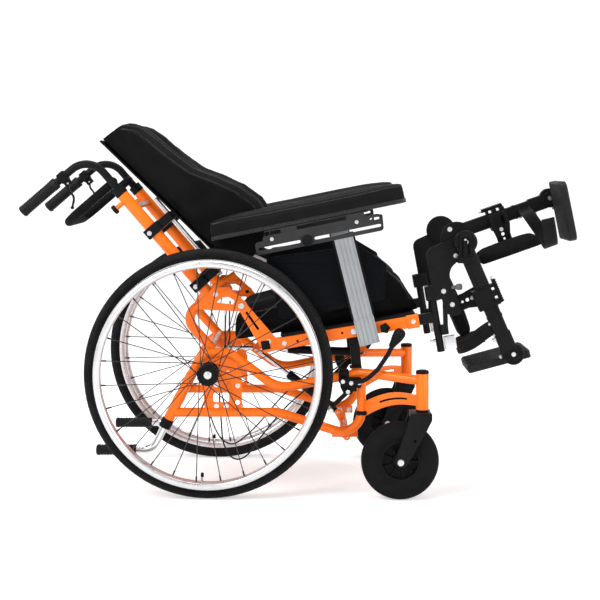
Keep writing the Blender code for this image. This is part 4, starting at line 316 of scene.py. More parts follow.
def slab(outline, thickness, middle, holes=(), edge=0.0007):
    """A flat plate in side view with eased edges; outline and holes are lists of (x, z)."""
    curve = bpy.data.curves.new("slab", "CURVE")
    curve.dimensions, curve.fill_mode = "2D", "BOTH"
    curve.extrude, curve.bevel_depth, curve.bevel_resolution = thickness / 2 - edge, edge, 1
    curve.offset = -edge
    for loop in (outline, *holes):
        line = curve.splines.new("POLY")
        line.points.add(len(loop) - 1)
        for point, (x, z) in zip(line.points, loop):
            point.co = (x, z, 0, 1)
        line.use_cyclic_u = True
    holder = bpy.data.objects.new("slab", curve)
    bpy.context.scene.collection.objects.link(holder)
    mesh = bpy.data.meshes.new_from_object(holder.evaluated_get(bpy.context.evaluated_depsgraph_get()))
    bpy.data.objects.remove(holder, do_unlink=True)
    bm = bmesh.new()
    bm.from_mesh(mesh)
    bmesh.ops.remove_doubles(bm, verts=bm.verts, dist=0.00001)
    place = Matrix.Translation((0, middle, 0)) @ Matrix.Rotation(pi / 2, 4, "X")
    bmesh.ops.transform(bm, matrix=place, verts=bm.verts)
    return bm


def turned(bm, angle, axis="Y"):
    """The shape itself, turned about an axis through the origin."""
    bmesh.ops.transform(bm, matrix=Matrix.Rotation(angle, 4, axis), verts=bm.verts)
    return bm


def shifted(bm, x, y=0.0, z=0.0):
    """The shape itself, moved."""
    bmesh.ops.translate(bm, vec=(x, y, z), verts=bm.verts)
    return bm


def gather(bm, shape, place=Matrix.Identity(4)):
    """Move a shape into a bmesh, at a place."""
    mesh = bpy.data.meshes.new("shape")
    shape.to_mesh(mesh)
    shape.free()
    mesh.transform(place)
    bm.from_mesh(mesh)
    bpy.data.meshes.remove(mesh)


class Piece:
    """Gathers closed shapes, then makes them one object that rides on a body."""

    def __init__(self, name, body, slot_name, *finishes, place="base"):
        self.name, self.body, self.slot_name = name, body, slot_name
        self.finishes, self.place, self.bm = finishes, PLACE[place], bmesh.new()

    def add(self, shape, finish=0):
        bmesh.ops.recalc_face_normals(shape, faces=shape.faces)
        for face in shape.faces:
            face.material_index, face.smooth = finish, True
        gather(self.bm, shape, self.place)

    def done(self, *replaced, sharp=radians(35)):
        mesh = bpy.data.meshes.new(self.name)
        self.bm.to_mesh(mesh)
        self.bm.free()
        mesh.set_sharp_from_angle(angle=sharp)
        for finish in self.finishes:
            mesh.materials.append(finish_of(finish))
        return place_object(self.name, mesh, self.body, self.slot_name, replaced)


def place_object(name, mesh, body, slot_name, replaced=()):
    """Make a mesh an object that rides on a body and stands for the frame's solids it replaces."""
    item = bpy.data.objects.new(name, mesh)
    bpy.context.scene.collection.objects.link(item)
    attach(item, body)
    if replaced:
        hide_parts(*replaced)
    return item


# Geometry Nodes that repeat a shape

def node(tree, kind, *ordered, operation=None, **named):
    """A node with its inputs set, by order or by name, to numbers or to other nodes' outputs."""
    made = tree.nodes.new(kind)
    if operation:
        made.operation = operation
    inputs = [(made.inputs[label.replace("_", " ").title()], value) for label, value in named.items()]
    for socket, value in [*zip(made.inputs, ordered), *inputs]:
        if isinstance(value, bpy.types.Node):
            value = value.outputs[0]
        if isinstance(value, bpy.types.NodeSocket):
            tree.links.new(value, socket)
        else:
            socket.default_value = value
    return made


def node_tree(name, inputs):
    """A tree with named inputs; returns it with its inputs' identifiers and its start node's outputs."""
    tree = bpy.data.node_groups.new(name, "GeometryNodeTree")
    face = tree.interface
    face.new_socket("Geometry", in_out="INPUT", socket_type="NodeSocketGeometry")
    names = {}
    for label, kind, default in (*inputs, ("Material", "Material", None)):
        made = face.new_socket(label, in_out="INPUT", socket_type="NodeSocket" + kind)
        if default is not None:
            made.default_value = default
        names[label] = made.identifier
    face.new_socket("Geometry", in_out="OUTPUT", socket_type="NodeSocketGeometry")
    return tree, names, tree.nodes.new("NodeGroupInput").outputs


def finish_tree(tree, copies, given):
    """Every tree ends in real meshes with their material."""
    real = node(tree, "GeometryNodeRealizeInstances", copies)
    node(tree, "NodeGroupOutput", node(tree, "GeometryNodeSetMaterial", real, material=given["Material"]))


def ring_tree():
    """Repeats a shape round an axis through a centre."""
    tree, names, given = node_tree("repeat_round", [
        ("Count", "Int", 12), ("Centre", "Vector", (0, 0, 0)), ("Axis", "Vector", (0, 1, 0))])
    points = node(tree, "GeometryNodePoints", given["Count"], given["Centre"])
    index = node(tree, "GeometryNodeInputIndex")
    share = node(tree, "ShaderNodeMath", index, given["Count"], operation="DIVIDE")
    full = node(tree, "ShaderNodeMath", share, 2 * pi, operation="MULTIPLY")
    turn = node(tree, "FunctionNodeAxisAngleToRotation", given["Axis"], full)
    back = node(tree, "ShaderNodeVectorMath", given["Centre"], scale=-1.0, operation="SCALE")
    move = node(tree, "GeometryNodeTransform", given["Geometry"], translation=back)
    copies = node(tree, "GeometryNodeInstanceOnPoints", points, instance=move, rotation=turn)
    finish_tree(tree, copies, given)
    return tree, names


def stud_tree():
    """Sets a bolt on each point: a head that stands on a thin washer."""
    tree, names, given = node_tree("set_bolts", [
        ("Head radius", "Float", 0.004), ("Head height", "Float", 0.003), ("Sides", "Int", 6),
        ("Washer radius", "Float", 0.006)])
    head = node(tree, "GeometryNodeMeshCylinder", given["Sides"], radius=given["Head radius"],
                depth=given["Head height"])
    washer = node(tree, "GeometryNodeMeshCylinder", 16, radius=given["Washer radius"], depth=0.0012)
    half = node(tree, "ShaderNodeMath", given["Head height"], 0.5, operation="MULTIPLY")
    lift = node(tree, "GeometryNodeTransform", head, translation=node(tree, "ShaderNodeCombineXYZ", z=half))
    both = node(tree, "GeometryNodeJoinGeometry", lift)
    tree.links.new(washer.outputs["Mesh"], both.inputs[0])
    facing = tree.nodes.new("GeometryNodeInputNamedAttribute")
    facing.data_type = "FLOAT_VECTOR"
    facing.inputs["Name"].default_value = "facing"
    turn = node(tree, "FunctionNodeAlignRotationToVector", vector=facing)
    copies = node(tree, "GeometryNodeInstanceOnPoints", given["Geometry"], instance=both, rotation=turn)
    finish_tree(tree, copies, given)
    return tree, names


def stitch_tree():
    """Lays short rounded stitches end to end along a path."""
    tree, names, given = node_tree("lay_stitches", [
        ("Pitch", "Float", 0.006), ("Length", "Float", 0.0036), ("Radius", "Float", 0.0006)])
    even = node(tree, "GeometryNodeResampleCurve", node(tree, "GeometryNodeMeshToCurve", given["Geometry"]))
    even.mode = "LENGTH"
    tree.links.new(given["Pitch"], even.inputs["Length"])
    turn = node(tree, "FunctionNodeAlignRotationToVector", vector=node(tree, "GeometryNodeInputTangent"))
    stitch = node(tree, "GeometryNodeMeshIcoSphere", radius=1.0, subdivisions=1)
    half = node(tree, "ShaderNodeMath", given["Length"], 0.5, operation="MULTIPLY")
    size = node(tree, "ShaderNodeCombineXYZ", given["Radius"], given["Radius"], half)
    copies = node(tree, "GeometryNodeInstanceOnPoints", even, instance=stitch, rotation=turn, scale=size)
    finish_tree(tree, copies, given)
    return tree, names


TREES = {}


def grown(kind, mesh, finish, **values):
    """Run one of the trees on a mesh and return the mesh that it makes."""
    if kind not in TREES:
        TREES[kind] = {"ring": ring_tree, "studs": stud_tree, "stitches": stitch_tree}[kind]()
    tree, names = TREES[kind]
    item = bpy.data.objects.new(kind, mesh)
    bpy.context.scene.collection.objects.link(item)
    step = item.modifiers.new(kind, "NODES")
    step.node_group = tree
    step[names["Material"]] = finish_of(finish)
    for label, value in values.items():
        step[names[label.replace("_", " ").capitalize()]] = value
    item.update_tag()
    made = bpy.data.meshes.new_from_object(item.evaluated_get(bpy.context.evaluated_depsgraph_get()))
    bpy.data.objects.remove(item, do_unlink=True)
    bpy.data.meshes.remove(mesh)
    return made


def bm_mesh(bm):
    """Turn a bmesh into a smooth mesh."""
    bmesh.ops.recalc_face_normals(bm, faces=bm.faces)
    for face in bm.faces:
        face.smooth = True
    mesh = bpy.data.meshes.new("grown")
    bm.to_mesh(mesh)
    bm.free()
    return mesh


def round_and_round(name, body, slot_name, finish, shape, count, centre):
    """A piece that repeats a shape round an axis along Y."""
    mesh = grown("ring", bm_mesh(shape), finish, count=count, centre=centre)
    mesh.set_sharp_from_angle(angle=radians(35))
    mesh.name = name
    place_object(name, mesh, body, slot_name)


def bolts(name, body, points, place="base", finish="zinc", slot_name="chrome_steel", *, sizes, sides=6):
    """Bolts at points (x, y, z, facing) of a group; sizes are head radius, head height, washer radius."""
    mesh = bpy.data.meshes.new("bolts")
    matrix = PLACE[place]
    mesh.from_pydata([matrix @ Vector(p[:3]) for p in points], [], [])
    facing = mesh.attributes.new("facing", "FLOAT_VECTOR", "POINT")
    for i, point in enumerate(points):
        direction = Vector(point[3]) if isinstance(point[3], (tuple, list)) else Vector((0, point[3], 0))
        facing.data[i].vector = matrix.to_3x3() @ direction
    radius, height, washer = sizes
    made = grown("studs", mesh, finish, head_radius=radius, head_height=height, sides=sides,
                 washer_radius=washer)
    made.set_sharp_from_angle(angle=radians(30))
    made.name = name
    place_object(name, made, body, slot_name)


def stitches(name, body, route):
    """Thread along a route on a body that has a frame of the same name."""
    mesh = bpy.data.meshes.new("stitches")
    mesh.from_pydata([PLACE[body] @ p for p in route], [(i, i + 1) for i in range(len(route) - 1)], [])
    made = grown("stitches", mesh, "thread", pitch=settings().stitch_pitch)
    made.name = name
    place_object(name, made, body, "cushion_fabric")


def spindle(start, toward, profile, sides=24):
    """Turn a profile of (distance along, radius) round any line from start."""
    start, along = Vector(start), Vector(toward).normalized()
    side = along.orthogonal().normalized()
    other = along.cross(side)
    turns = [2 * pi * i / sides for i in range(sides)]
    return skin([[start + along * d + (side * cos(t) + other * sin(t)) * r for t in turns] for d, r in profile])


def ribbed(start, end, ribs, root, crest):
    """A profile of round ribs between two distances."""
    pitch, share = (end - start) / ribs, 0.6
    profile = []
    for i in range(ribs):
        low = start + pitch * i
        rise, fall, ease = low + pitch * (1 - share) / 2, low + pitch * (1 + share) / 2, pitch * share * 0.2
        profile += [(low, root), (rise, root), (rise + ease, crest), (fall - ease, crest), (fall, root)]
    return profile + [(end, root)]


# Procedural finishes, all on Object coordinates

def wired(color, roughness, metallic=0.0, **more):
    """A material and the tools to wire it: its tree, its shader and its object coordinates."""
    made = bpy.data.materials.new("finish")
    made.use_nodes = True
    tree = made.node_tree
    shader = tree.nodes["Principled BSDF"]
    shader.inputs["Base Color"].default_value = (*color, 1.0)
    shader.inputs["Roughness"].default_value = roughness
    shader.inputs["Metallic"].default_value = metallic
    for socket, value in more.items():
        shader.inputs[socket.replace("_", " ").title().replace("Ior", "IOR")].default_value = value
    return made, tree, shader, tree.nodes.new("ShaderNodeTexCoord").outputs["Object"]


def noise(tree, place, scale, detail=3.0):
    """A cloudy texture."""
    return node(tree, "ShaderNodeTexNoise", vector=place, scale=scale, detail=detail).outputs["Fac"]


def spread(tree, value, low, high, start=0.35, end=0.65):
    """Stretch a value's range from start to end over the range from low to high."""
    return node(tree, "ShaderNodeMapRange", value, start, end, low, high).outputs["Result"]


def maths(tree, operation, first, second=0.0):
    """One sum, with a number or an output on either side."""
    return node(tree, "ShaderNodeMath", first, second, operation=operation).outputs[0]


def mottle(tree, shader, value, dark, light):
    """Let a texture shift the base colour between two tones."""
    mix = tree.nodes.new("ShaderNodeMix")
    mix.data_type = "RGBA"
    mix.inputs["A"].default_value = (*dark, 1.0)
    mix.inputs["B"].default_value = (*light, 1.0)
    tree.links.new(value, mix.inputs["Factor"])
    tree.links.new(mix.outputs["Result"], shader.inputs["Base Color"])


def bump(tree, shader, height, distance, strength=1.0, after=None):
    """Raise the surface by a height, on top of an earlier bump if there is one."""
    over = {"normal": after} if after else {}
    made = node(tree, "ShaderNodeBump", height=height, distance=distance, strength=strength, **over)
    tree.links.new(made.outputs["Normal"], shader.inputs["Normal"])
    return made.outputs["Normal"]


def tones(color, change):
    """A darker and a lighter tone of a colour."""
    return tuple(c * (1 - change) for c in color), tuple(min(1.0, c * (1 + change)) for c in color)


def surface(colour, roughness, metallic=0.0, tone=1.0, change=0.06, blotch=18.0, grain=900.0, depth=0.00004,
            wear=0.06, **more):
    """Colour and gloss that drift a little, over a fine grain; colour is a setting's name or three numbers."""
    color = [c * tone for c in (getattr(settings(), colour) if isinstance(colour, str) else colour)]
    made, tree, shader, place = wired(color, roughness, metallic, **more)
    mottle(tree, shader, spread(tree, noise(tree, place, blotch), 0.0, 1.0), *tones(color, change))
    gloss = spread(tree, noise(tree, place, blotch * 3.1, 5.0), roughness - wear, roughness + wear)
    tree.links.new(gloss, shader.inputs["Roughness"])
    bump(tree, shader, noise(tree, place, grain, 2.0), depth)
    return made


def brushed(color, roughness):
    """Metal with fine upright lines."""
    made, tree, shader, place = wired(color, roughness, 1.0)
    mapping = node(tree, "ShaderNodeMapping", place, scale=(1.0, 1.0, 40.0))
    lines = noise(tree, mapping, 60.0, 4.0)
    tree.links.new(spread(tree, lines, roughness - 0.08, roughness + 0.1), shader.inputs["Roughness"])
    mottle(tree, shader, spread(tree, noise(tree, place, 25.0), 0.0, 1.0), *tones(color, 0.05))
    bump(tree, shader, lines, 0.00003)
    return made


def wheel_radius(tree, place):
    """Distance and angle round the rear axle, for patterns that follow the wheel."""
    parts = node(tree, "ShaderNodeSeparateXYZ", place)
    x = maths(tree, "SUBTRACT", parts.outputs["X"], AXLE_X)
    z = maths(tree, "SUBTRACT", parts.outputs["Z"], WHEEL_R)
    squares = maths(tree, "ADD", maths(tree, "MULTIPLY", x, x), maths(tree, "MULTIPLY", z, z))
    return maths(tree, "SQRT", squares), maths(tree, "ARCTAN2", z, x)


def tyre_rubber():
    """Rubber with a band of short radial ticks round the shoulder."""
    color = tuple(settings().rubber)
    made, tree, shader, place = wired(color, 0.62, specular_ior_level=0.08)
    radius, angle = wheel_radius(tree, place)
    ticks = maths(tree, "SINE", maths(tree, "MULTIPLY", angle, 210.0))
    inside = maths(tree, "GREATER_THAN", radius, 0.2895)
    band = maths(tree, "MULTIPLY", inside, maths(tree, "LESS_THAN", radius, 0.3015))
    height = maths(tree, "MULTIPLY", spread(tree, ticks, 0.0, 1.0, -0.3, 0.3), band)
    mottle(tree, shader, spread(tree, noise(tree, place, 22.0, 4.0), 0.0, 1.0), *tones(color, 0.25))
    grain = bump(tree, shader, noise(tree, place, 700.0, 2.0), 0.00006)
    bump(tree, shader, height, 0.0006, 1.0, grain)
    tree.links.new(spread(tree, noise(tree, place, 60.0), 0.55, 0.72), shader.inputs["Roughness"])
    return made


def knit():
    """Open spacer knit: rows of small holes over a soft drift of tone."""
    color = tuple(settings().cloth)
    made, tree, shader, place = wired(color, 0.88, sheen_weight=0.04, sheen_roughness=0.5,
                                      specular_ior_level=0.05)
    cells = node(tree, "ShaderNodeTexVoronoi", vector=place, scale=520.0, randomness=0.18)
    holes = spread(tree, cells.outputs["Distance"], 0.0, 1.0, 0.18, 0.5)
    # painted shade: the colour goes darker towards each hole's centre, as shade inside the holes, and changes a
    # little at random
    painted_hole_shade_and_drift = maths(tree, "MULTIPLY", holes, spread(tree, noise(tree, place, 14.0, 4.0), 0.7, 1.1))
    mottle(tree, shader, painted_hole_shade_and_drift, [c * 0.45 for c in color], [color[0] * 1.5, color[1] * 1.5, color[2] * 1.55])
    soft = bump(tree, shader, noise(tree, place, 55.0, 4.0), 0.0008, 0.6)
    bump(tree, shader, holes, 0.00035, 0.8, soft)
    return made


def woven():
    """Ribbed strap weave."""
    color = tuple(settings().cloth)
    made, tree, shader, place = wired(color, 0.75, sheen_weight=0.06, specular_ior_level=0.12)
    wave = node(tree, "ShaderNodeTexWave", vector=place, scale=260.0, distortion=1.5, detail=1.0).outputs["Fac"]
    mottle(tree, shader, wave, *tones(color, 0.35))
    bump(tree, shader, wave, 0.0003, 0.8)
    return made


def dull(colour, level, roughness, tone=1.0, **more):
    """A dark surface that mirrors little."""
    return surface(colour, roughness, tone=tone, specular_ior_level=level, **more)


FINISHES = {
    "orange": lambda: surface("paint", 0.3, change=0.05, blotch=9.0, grain=420.0, depth=0.00003,
                              specular_ior_level=0.2, coat_weight=0.16, coat_roughness=0.12),
    "powder": lambda: dull("coating", 0.08, 0.4, change=0.12, grain=1500.0, depth=0.00005),
    "plastic": lambda: dull("moulding", 0.07, 0.44, change=0.1, grain=1800.0, depth=0.00006),
    "guard": lambda: dull((0.002, 0.0023, 0.0034), 0.05, 0.38, change=0.1, blotch=7.0, grain=1000.0,
                          depth=0.0001),
    "bracket": lambda: dull((0.026, 0.026, 0.027), 0.12, 0.42, change=0.1, grain=1400.0, depth=0.00005),
    "tread": lambda: dull((0.0095, 0.0095, 0.01), 0.15, 0.55, change=0.12, grain=1400.0, depth=0.0001),
    "rubber": lambda: dull("moulding", 0.14, 0.45, 1.2, change=0.15, blotch=30.0, grain=1200.0, depth=0.00008),
    "foam": lambda: dull("cloth", 0.06, 0.8, change=0.15, grain=1600.0, depth=0.0002),
    "tyre": tyre_rubber,
    "silver": lambda: surface("silver", 0.3, 0.8, change=0.04, grain=900.0, depth=0.00002, wear=0.05),
    "spoke": lambda: surface((0.022, 0.022, 0.023), 0.35, 0.4, change=0.1, depth=0.00002,
                             specular_ior_level=0.3),
    "chrome": lambda: surface((0.72, 0.72, 0.73), 0.12, 1.0, change=0.02, grain=300.0, depth=0.00001,
                              wear=0.03),
    "zinc": lambda: surface((0.6, 0.6, 0.61), 0.28, 1.0, change=0.06, grain=1500.0, depth=0.00003),
    "pewter": lambda: surface((0.09, 0.09, 0.09), 0.42, 0.35, change=0.1, grain=1500.0, depth=0.00003),
    "aluminium": lambda: brushed((0.33, 0.34, 0.355), 0.4),
    "fabric": knit,
    "suede": lambda: dull("cloth", 0.04, 0.92, 0.85, change=0.22, blotch=16.0, grain=1300.0, depth=0.00022),
    "vinyl": lambda: dull("cloth", 0.06, 0.5, 0.85, change=0.15, blotch=26.0, grain=420.0, depth=0.00035),
    "piping": lambda: dull("cloth", 0.34, 0.3, 1.1, change=0.1, grain=700.0, depth=0.0001),
    "webbing": woven,
    "thread": lambda: surface((0.016, 0.016, 0.017), 0.7, change=0.1, depth=0.0001),
    "cable": lambda: dull("moulding", 0.2, 0.34, change=0.1, depth=0.00003),
}
MADE = {}


def finish_of(name):
    """One material per finish, made when it is first asked for."""
    if name not in MADE:
        MADE[name] = FINISHES[name]()
        MADE[name].name = name
    return MADE[name]


# Base frame

LEG_DOWN = Vector((-0.0953, 0, -0.1841)).normalized()
LEG_TOP_Z = 0.1627


def on_leg(sign, distance):
    """A point on the rear leg tube's line, past its lower end by distance."""
    return Vector((ahead(-0.1136), sign * FRAME_Y, LEG_TOP_Z)) + LEG_DOWN * distance


def rail_z(x_ahead):
    """Height of the upper rail between the valley and the front upright."""
    return RAIL_Z - 0.19305 * (0.3762 - x_ahead)


def gusset(sign):
    """The arched, slotted plate between the front upright and the caster housing."""
    flare = Vector((0.1455, sign * 0.072))
    run, arch, half_slot = flare.length, 0.018, 0.0026

    def under(share):
        return 0.1836 + (0.2248 - 0.1836) * share + arch * sin(pi * share)

    def over(share):
        return 0.222 + (0.2497 - 0.222) * share + arch * sin(pi * share)

    shares = [i / 14 for i in range(15)]
    outline = [(run * s, under(s)) for s in shares] + [(run * s, over(s)) for s in shares[::-1]]
    middle = [(run * s, (under(s) + over(s)) / 2) for s in [0.3 + 0.46 * i / 8 for i in range(9)]]
    hole = [(x, z - half_slot) for x, z in middle] + [(x, z + half_slot) for x, z in middle[::-1]]
    made = turned(slab(outline, PLATE, 0.0, [hole]), flare.angle_signed(Vector((1, 0))), "Z")
    return shifted(made, FRONT_X, sign * FRAME_Y)


def base_side(side, sign):
    """One welded side of the base, with its caps, axle receiver and bolts."""
    y = sign * FRAME_Y
    tubes = Piece("base_side_" + side, "base", "frame_orange", "orange")
    upper = [on_leg(sign, -0.02), (ahead(-0.0183), y, UPPER_Z), (ahead(0.0507), y, UPPER_Z),
             (ahead(0.169), y, VALLEY_Z), (FRONT_X, y, RAIL_Z), (HOUSING_X, sign * CASTER_Y, 0.2885)]
    tubes.add(pipe(upper, TUBE, [0.045, 0.045, 0.08, 0.05]))
    crossing = (LOWER_RAIL_Z - LEG_TOP_Z) / LEG_DOWN.z
    lower = [on_leg(sign, crossing), (ahead(0.1687), y, LOWER_RAIL_Z), (FRONT_X, y, 0.133),
             (FRONT_X, y, RAIL_Z)]
    tubes.add(pipe(lower, TUBE, [0.05, 0.05]))
    tubes.add(rod(on_leg(sign, -0.0205), on_leg(sign, -0.15), LEG_TUBE, 24, edge=0.002))
    rear, front = ahead(-0.008), ahead(0.0792)
    plate = rounded([(rear - 0.005, LOWER_RAIL_Z), (front, LOWER_RAIL_Z), (front, 0.29),
                     (ahead(0.0507), UPPER_Z),
                     (ahead(-0.0143), UPPER_Z), (rear - 0.012, 0.29)], [0, 0, 0.012, 0, 0, 0.012])
    window = rounded([(ahead(x), z) for x, z in ((0.008, 0.224), (0.0476, 0.224), (0.0476, 0.248),
                                                 (0.008, 0.248))],
                     0.006)
    holes = [circle(0.006, 16, (ahead(x), z)) for x, z in ((0.0447, 0.306), (0.0447, 0.272), (0.0687, 0.2235))]
    tubes.add(slab(plate, PLATE, y, [window, *holes]))
    tubes.add(gusset(sign))
    housing = (HOUSING_X, sign * CASTER_Y, 0.2137)
    tubes.add(spindle(housing, (0, 0, 1), [(0, 0.0145), (0.001, 0.0155), (0.0938, 0.0155), (0.0948, 0.0148)],
                      28))
    lug = (ahead(0.3402), 0.137)
    tubes.add(slab(circle(0.008, 20, lug), PLATE, y, [circle(0.003, 12, lug)]))
    tubes.done("base_frame_" + side)
    trim = Piece("base_caps_" + side, "base", "plastic_black", "plastic")
    trim.add(spindle(on_leg(sign, 0.002), -LEG_DOWN, [
        (0, 0.0118), (0.0012, 0.0148), (0.003, 0.0152), (0.0085, 0.0152), (0.0092, 0.0146), (0.0105, 0.0146),
        (0.0112, 0.0152),
        (0.0225, 0.0152), (0.024, 0.0143)]))
    trim.add(spindle(housing, (0, 0, 1), [(0.0925, 0.016), (0.0975, 0.016), (0.1, 0.0145), (0.1012, 0.01),
                                          (0.1015, 0.004)]))
    trim.add(spindle(housing, (0, 0, 1), [(0.0005, 0.016), (0.0045, 0.016), (0.0052, 0.0154)]))
    trim.add(brick((FRONT_X - 0.013, y - 0.0135, 0.193), (FRONT_X + 0.013, y + 0.0135, 0.2035), 0.003))
    trim.done()
    metal = Piece("axle_receiver_" + side, "base", "chrome_steel", "zinc", "spoke")
    axle = (ahead(0), sign * (FRAME_Y - 0.012), WHEEL_R)
    metal.add(spindle(axle, (0, sign, 0), [(0, 0.0108), (0.001, 0.012), (0.006, 0.012), (0.0065, 0.0112),
                                           (0.026, 0.0112),
                                           (0.0265, 0.012), (0.0305, 0.012), (0.031, 0.0112)]))
    metal.add(rod((ahead(0), y, WHEEL_R), (ahead(0), sign * (TRACK_Y + 0.03), WHEEL_R), 0.0061, 24, edge=0.001),
              1)
    metal.done()
    face = sign * (FRAME_Y + PLATE / 2)
    bolts("frame_bolts_" + side, "base", [
        (ahead(0.016), face, 0.2145, sign), (ahead(0.04), face, 0.2145, sign),
        (ahead(0.015), face, 0.268, sign),
        (ahead(0.069), face, 0.265, sign)], sizes=(0.0042, 0.003, 0.0062))


def cross_tube(name, place, end, slope=0.0):
    """A cross tube with bolted end flanges; returns the piece still open."""
    x, z = place
    piece = Piece(name, "base", "frame_orange", "orange")
    piece.add(rod((x, -end + 0.002, z), (x, end - 0.002, z), 0.0105, 24))
    points = []
    for sign in (-1, 1):
        flange = side_brick(sign, (-0.032, end - 0.004, -0.01), (0.032, end, 0.01), 0.0012)
        piece.add(shifted(turned(flange, -slope), x, 0, z))
        piece.add(spindle((x, sign * (end - 0.004), z), (0, -sign, 0),
                          [(0, 0.0135), (0.0015, 0.0125), (0.003, 0.0106)]))
        for along in (-0.022, 0.022):
            points.append((x + along * cos(slope), sign * (end - 0.004), z + along * sin(slope), -sign))
    bolts(name + "_bolts", "base", points, sizes=(0.0045, 0.003, 0.0065))
    return piece


def ear_plates(piece, pin, foot, foot_radius, y, pin_piece):
    """Lugs that hold a gas spring's eye, with the pin through them."""
    half = 0.009
    along = Vector((pin[0] - foot[0], pin[1] - foot[1])).normalized()
    across = Vector((-along.y, along.x))
    low, high = Vector(foot) - along * foot_radius * 0.5, Vector(pin)
    outline = [tuple(low + across * half), tuple(low - across * half)]
    for i in range(13):
        angle = -pi / 2 + pi * i / 12
        outline.append(tuple(high + (along * cos(angle) + across * sin(angle)) * half))
    for sign in (-1, 1):
        piece.add(slab(outline, 0.004, y + sign * 0.00925))
    pin_piece.add(rod((pin[0], y - 0.01325, pin[1]), (pin[0], y + 0.01325, pin[1]), 0.004, 20, edge=0.0008))


def base_members():
    """The two cross tubes, the front one with the tilt spring's ears."""
    centre = on_leg(1, (0.2111 - LEG_TOP_Z) / LEG_DOWN.z)
    angle = Vector((-LEG_DOWN.x, -LEG_DOWN.z)).angle_signed(Vector((1, 0)))
    cross_tube("cross_rear", (centre.x, centre.z), 0.1717, angle).done("base_cross_rear")
    place = (ahead(0.3357), 0.145)
    front = cross_tube("cross_front", place, 0.1732)
    pin = Piece("spring_pin_base", "base", "chrome_steel", "zinc")
    ear_plates(front, TILT_FOOT, place, 0.0105, 0.0, pin)
    front.done("base_cross_front")
    pin.done()


def tilt_posts():
    """The two posts and the pivot tube that the seat tilts on."""
    pivot = (ahead(0.3564), 0.4016)
    foot = (ahead(0.3653), rail_z(0.3653) + 0.0137)
    posts = Piece("tilt_posts", "base", "frame_black", "powder")
    points = []
    for sign in (-1, 1):
        y = sign * 0.1675
        route = [(foot[0], y, foot[1] + 0.001), (pivot[0], y, pivot[1] + 0.01)]
        posts.add(sweep(route, bar_section(0.018, 0.024, 0.003)))
        posts.add(side_brick(sign, (foot[0] - 0.018, 0.1585, foot[1]),
                             (foot[0] + 0.012, 0.193, foot[1] + 0.004), 0.0012))
        posts.add(spindle((pivot[0], sign * 0.157, pivot[1]), (0, -sign, 0),
                          [(0, 0.0145), (0.002, 0.0145), (0.004, 0.0125), (0.006, 0.0101)]))
        points.append((foot[0] - 0.013, sign * 0.185, foot[1] + 0.004, (0, 0, 1)))
    posts.add(rod((pivot[0], -0.16, pivot[1]), (pivot[0], 0.16, pivot[1]), 0.01, 24))
    posts.done("tilt_bridge")
    heads = Piece("tilt_pins", "base", "chrome_steel", "zinc")
    for sign in (-1, 1):
        heads.add(rod((pivot[0], sign * 0.17, pivot[1]), (pivot[0], sign * 0.2005, pivot[1]), 0.005, 20))
        heads.add(spindle((pivot[0], sign * 0.2003, pivot[1]), (0, sign, 0), [
            (0, 0.008), (0.0012, 0.008), (0.0024, 0.0068), (0.0026, 0.0032), (0.0008, 0.003)], 24))
    heads.done()


# Wheel locks and tipping levers

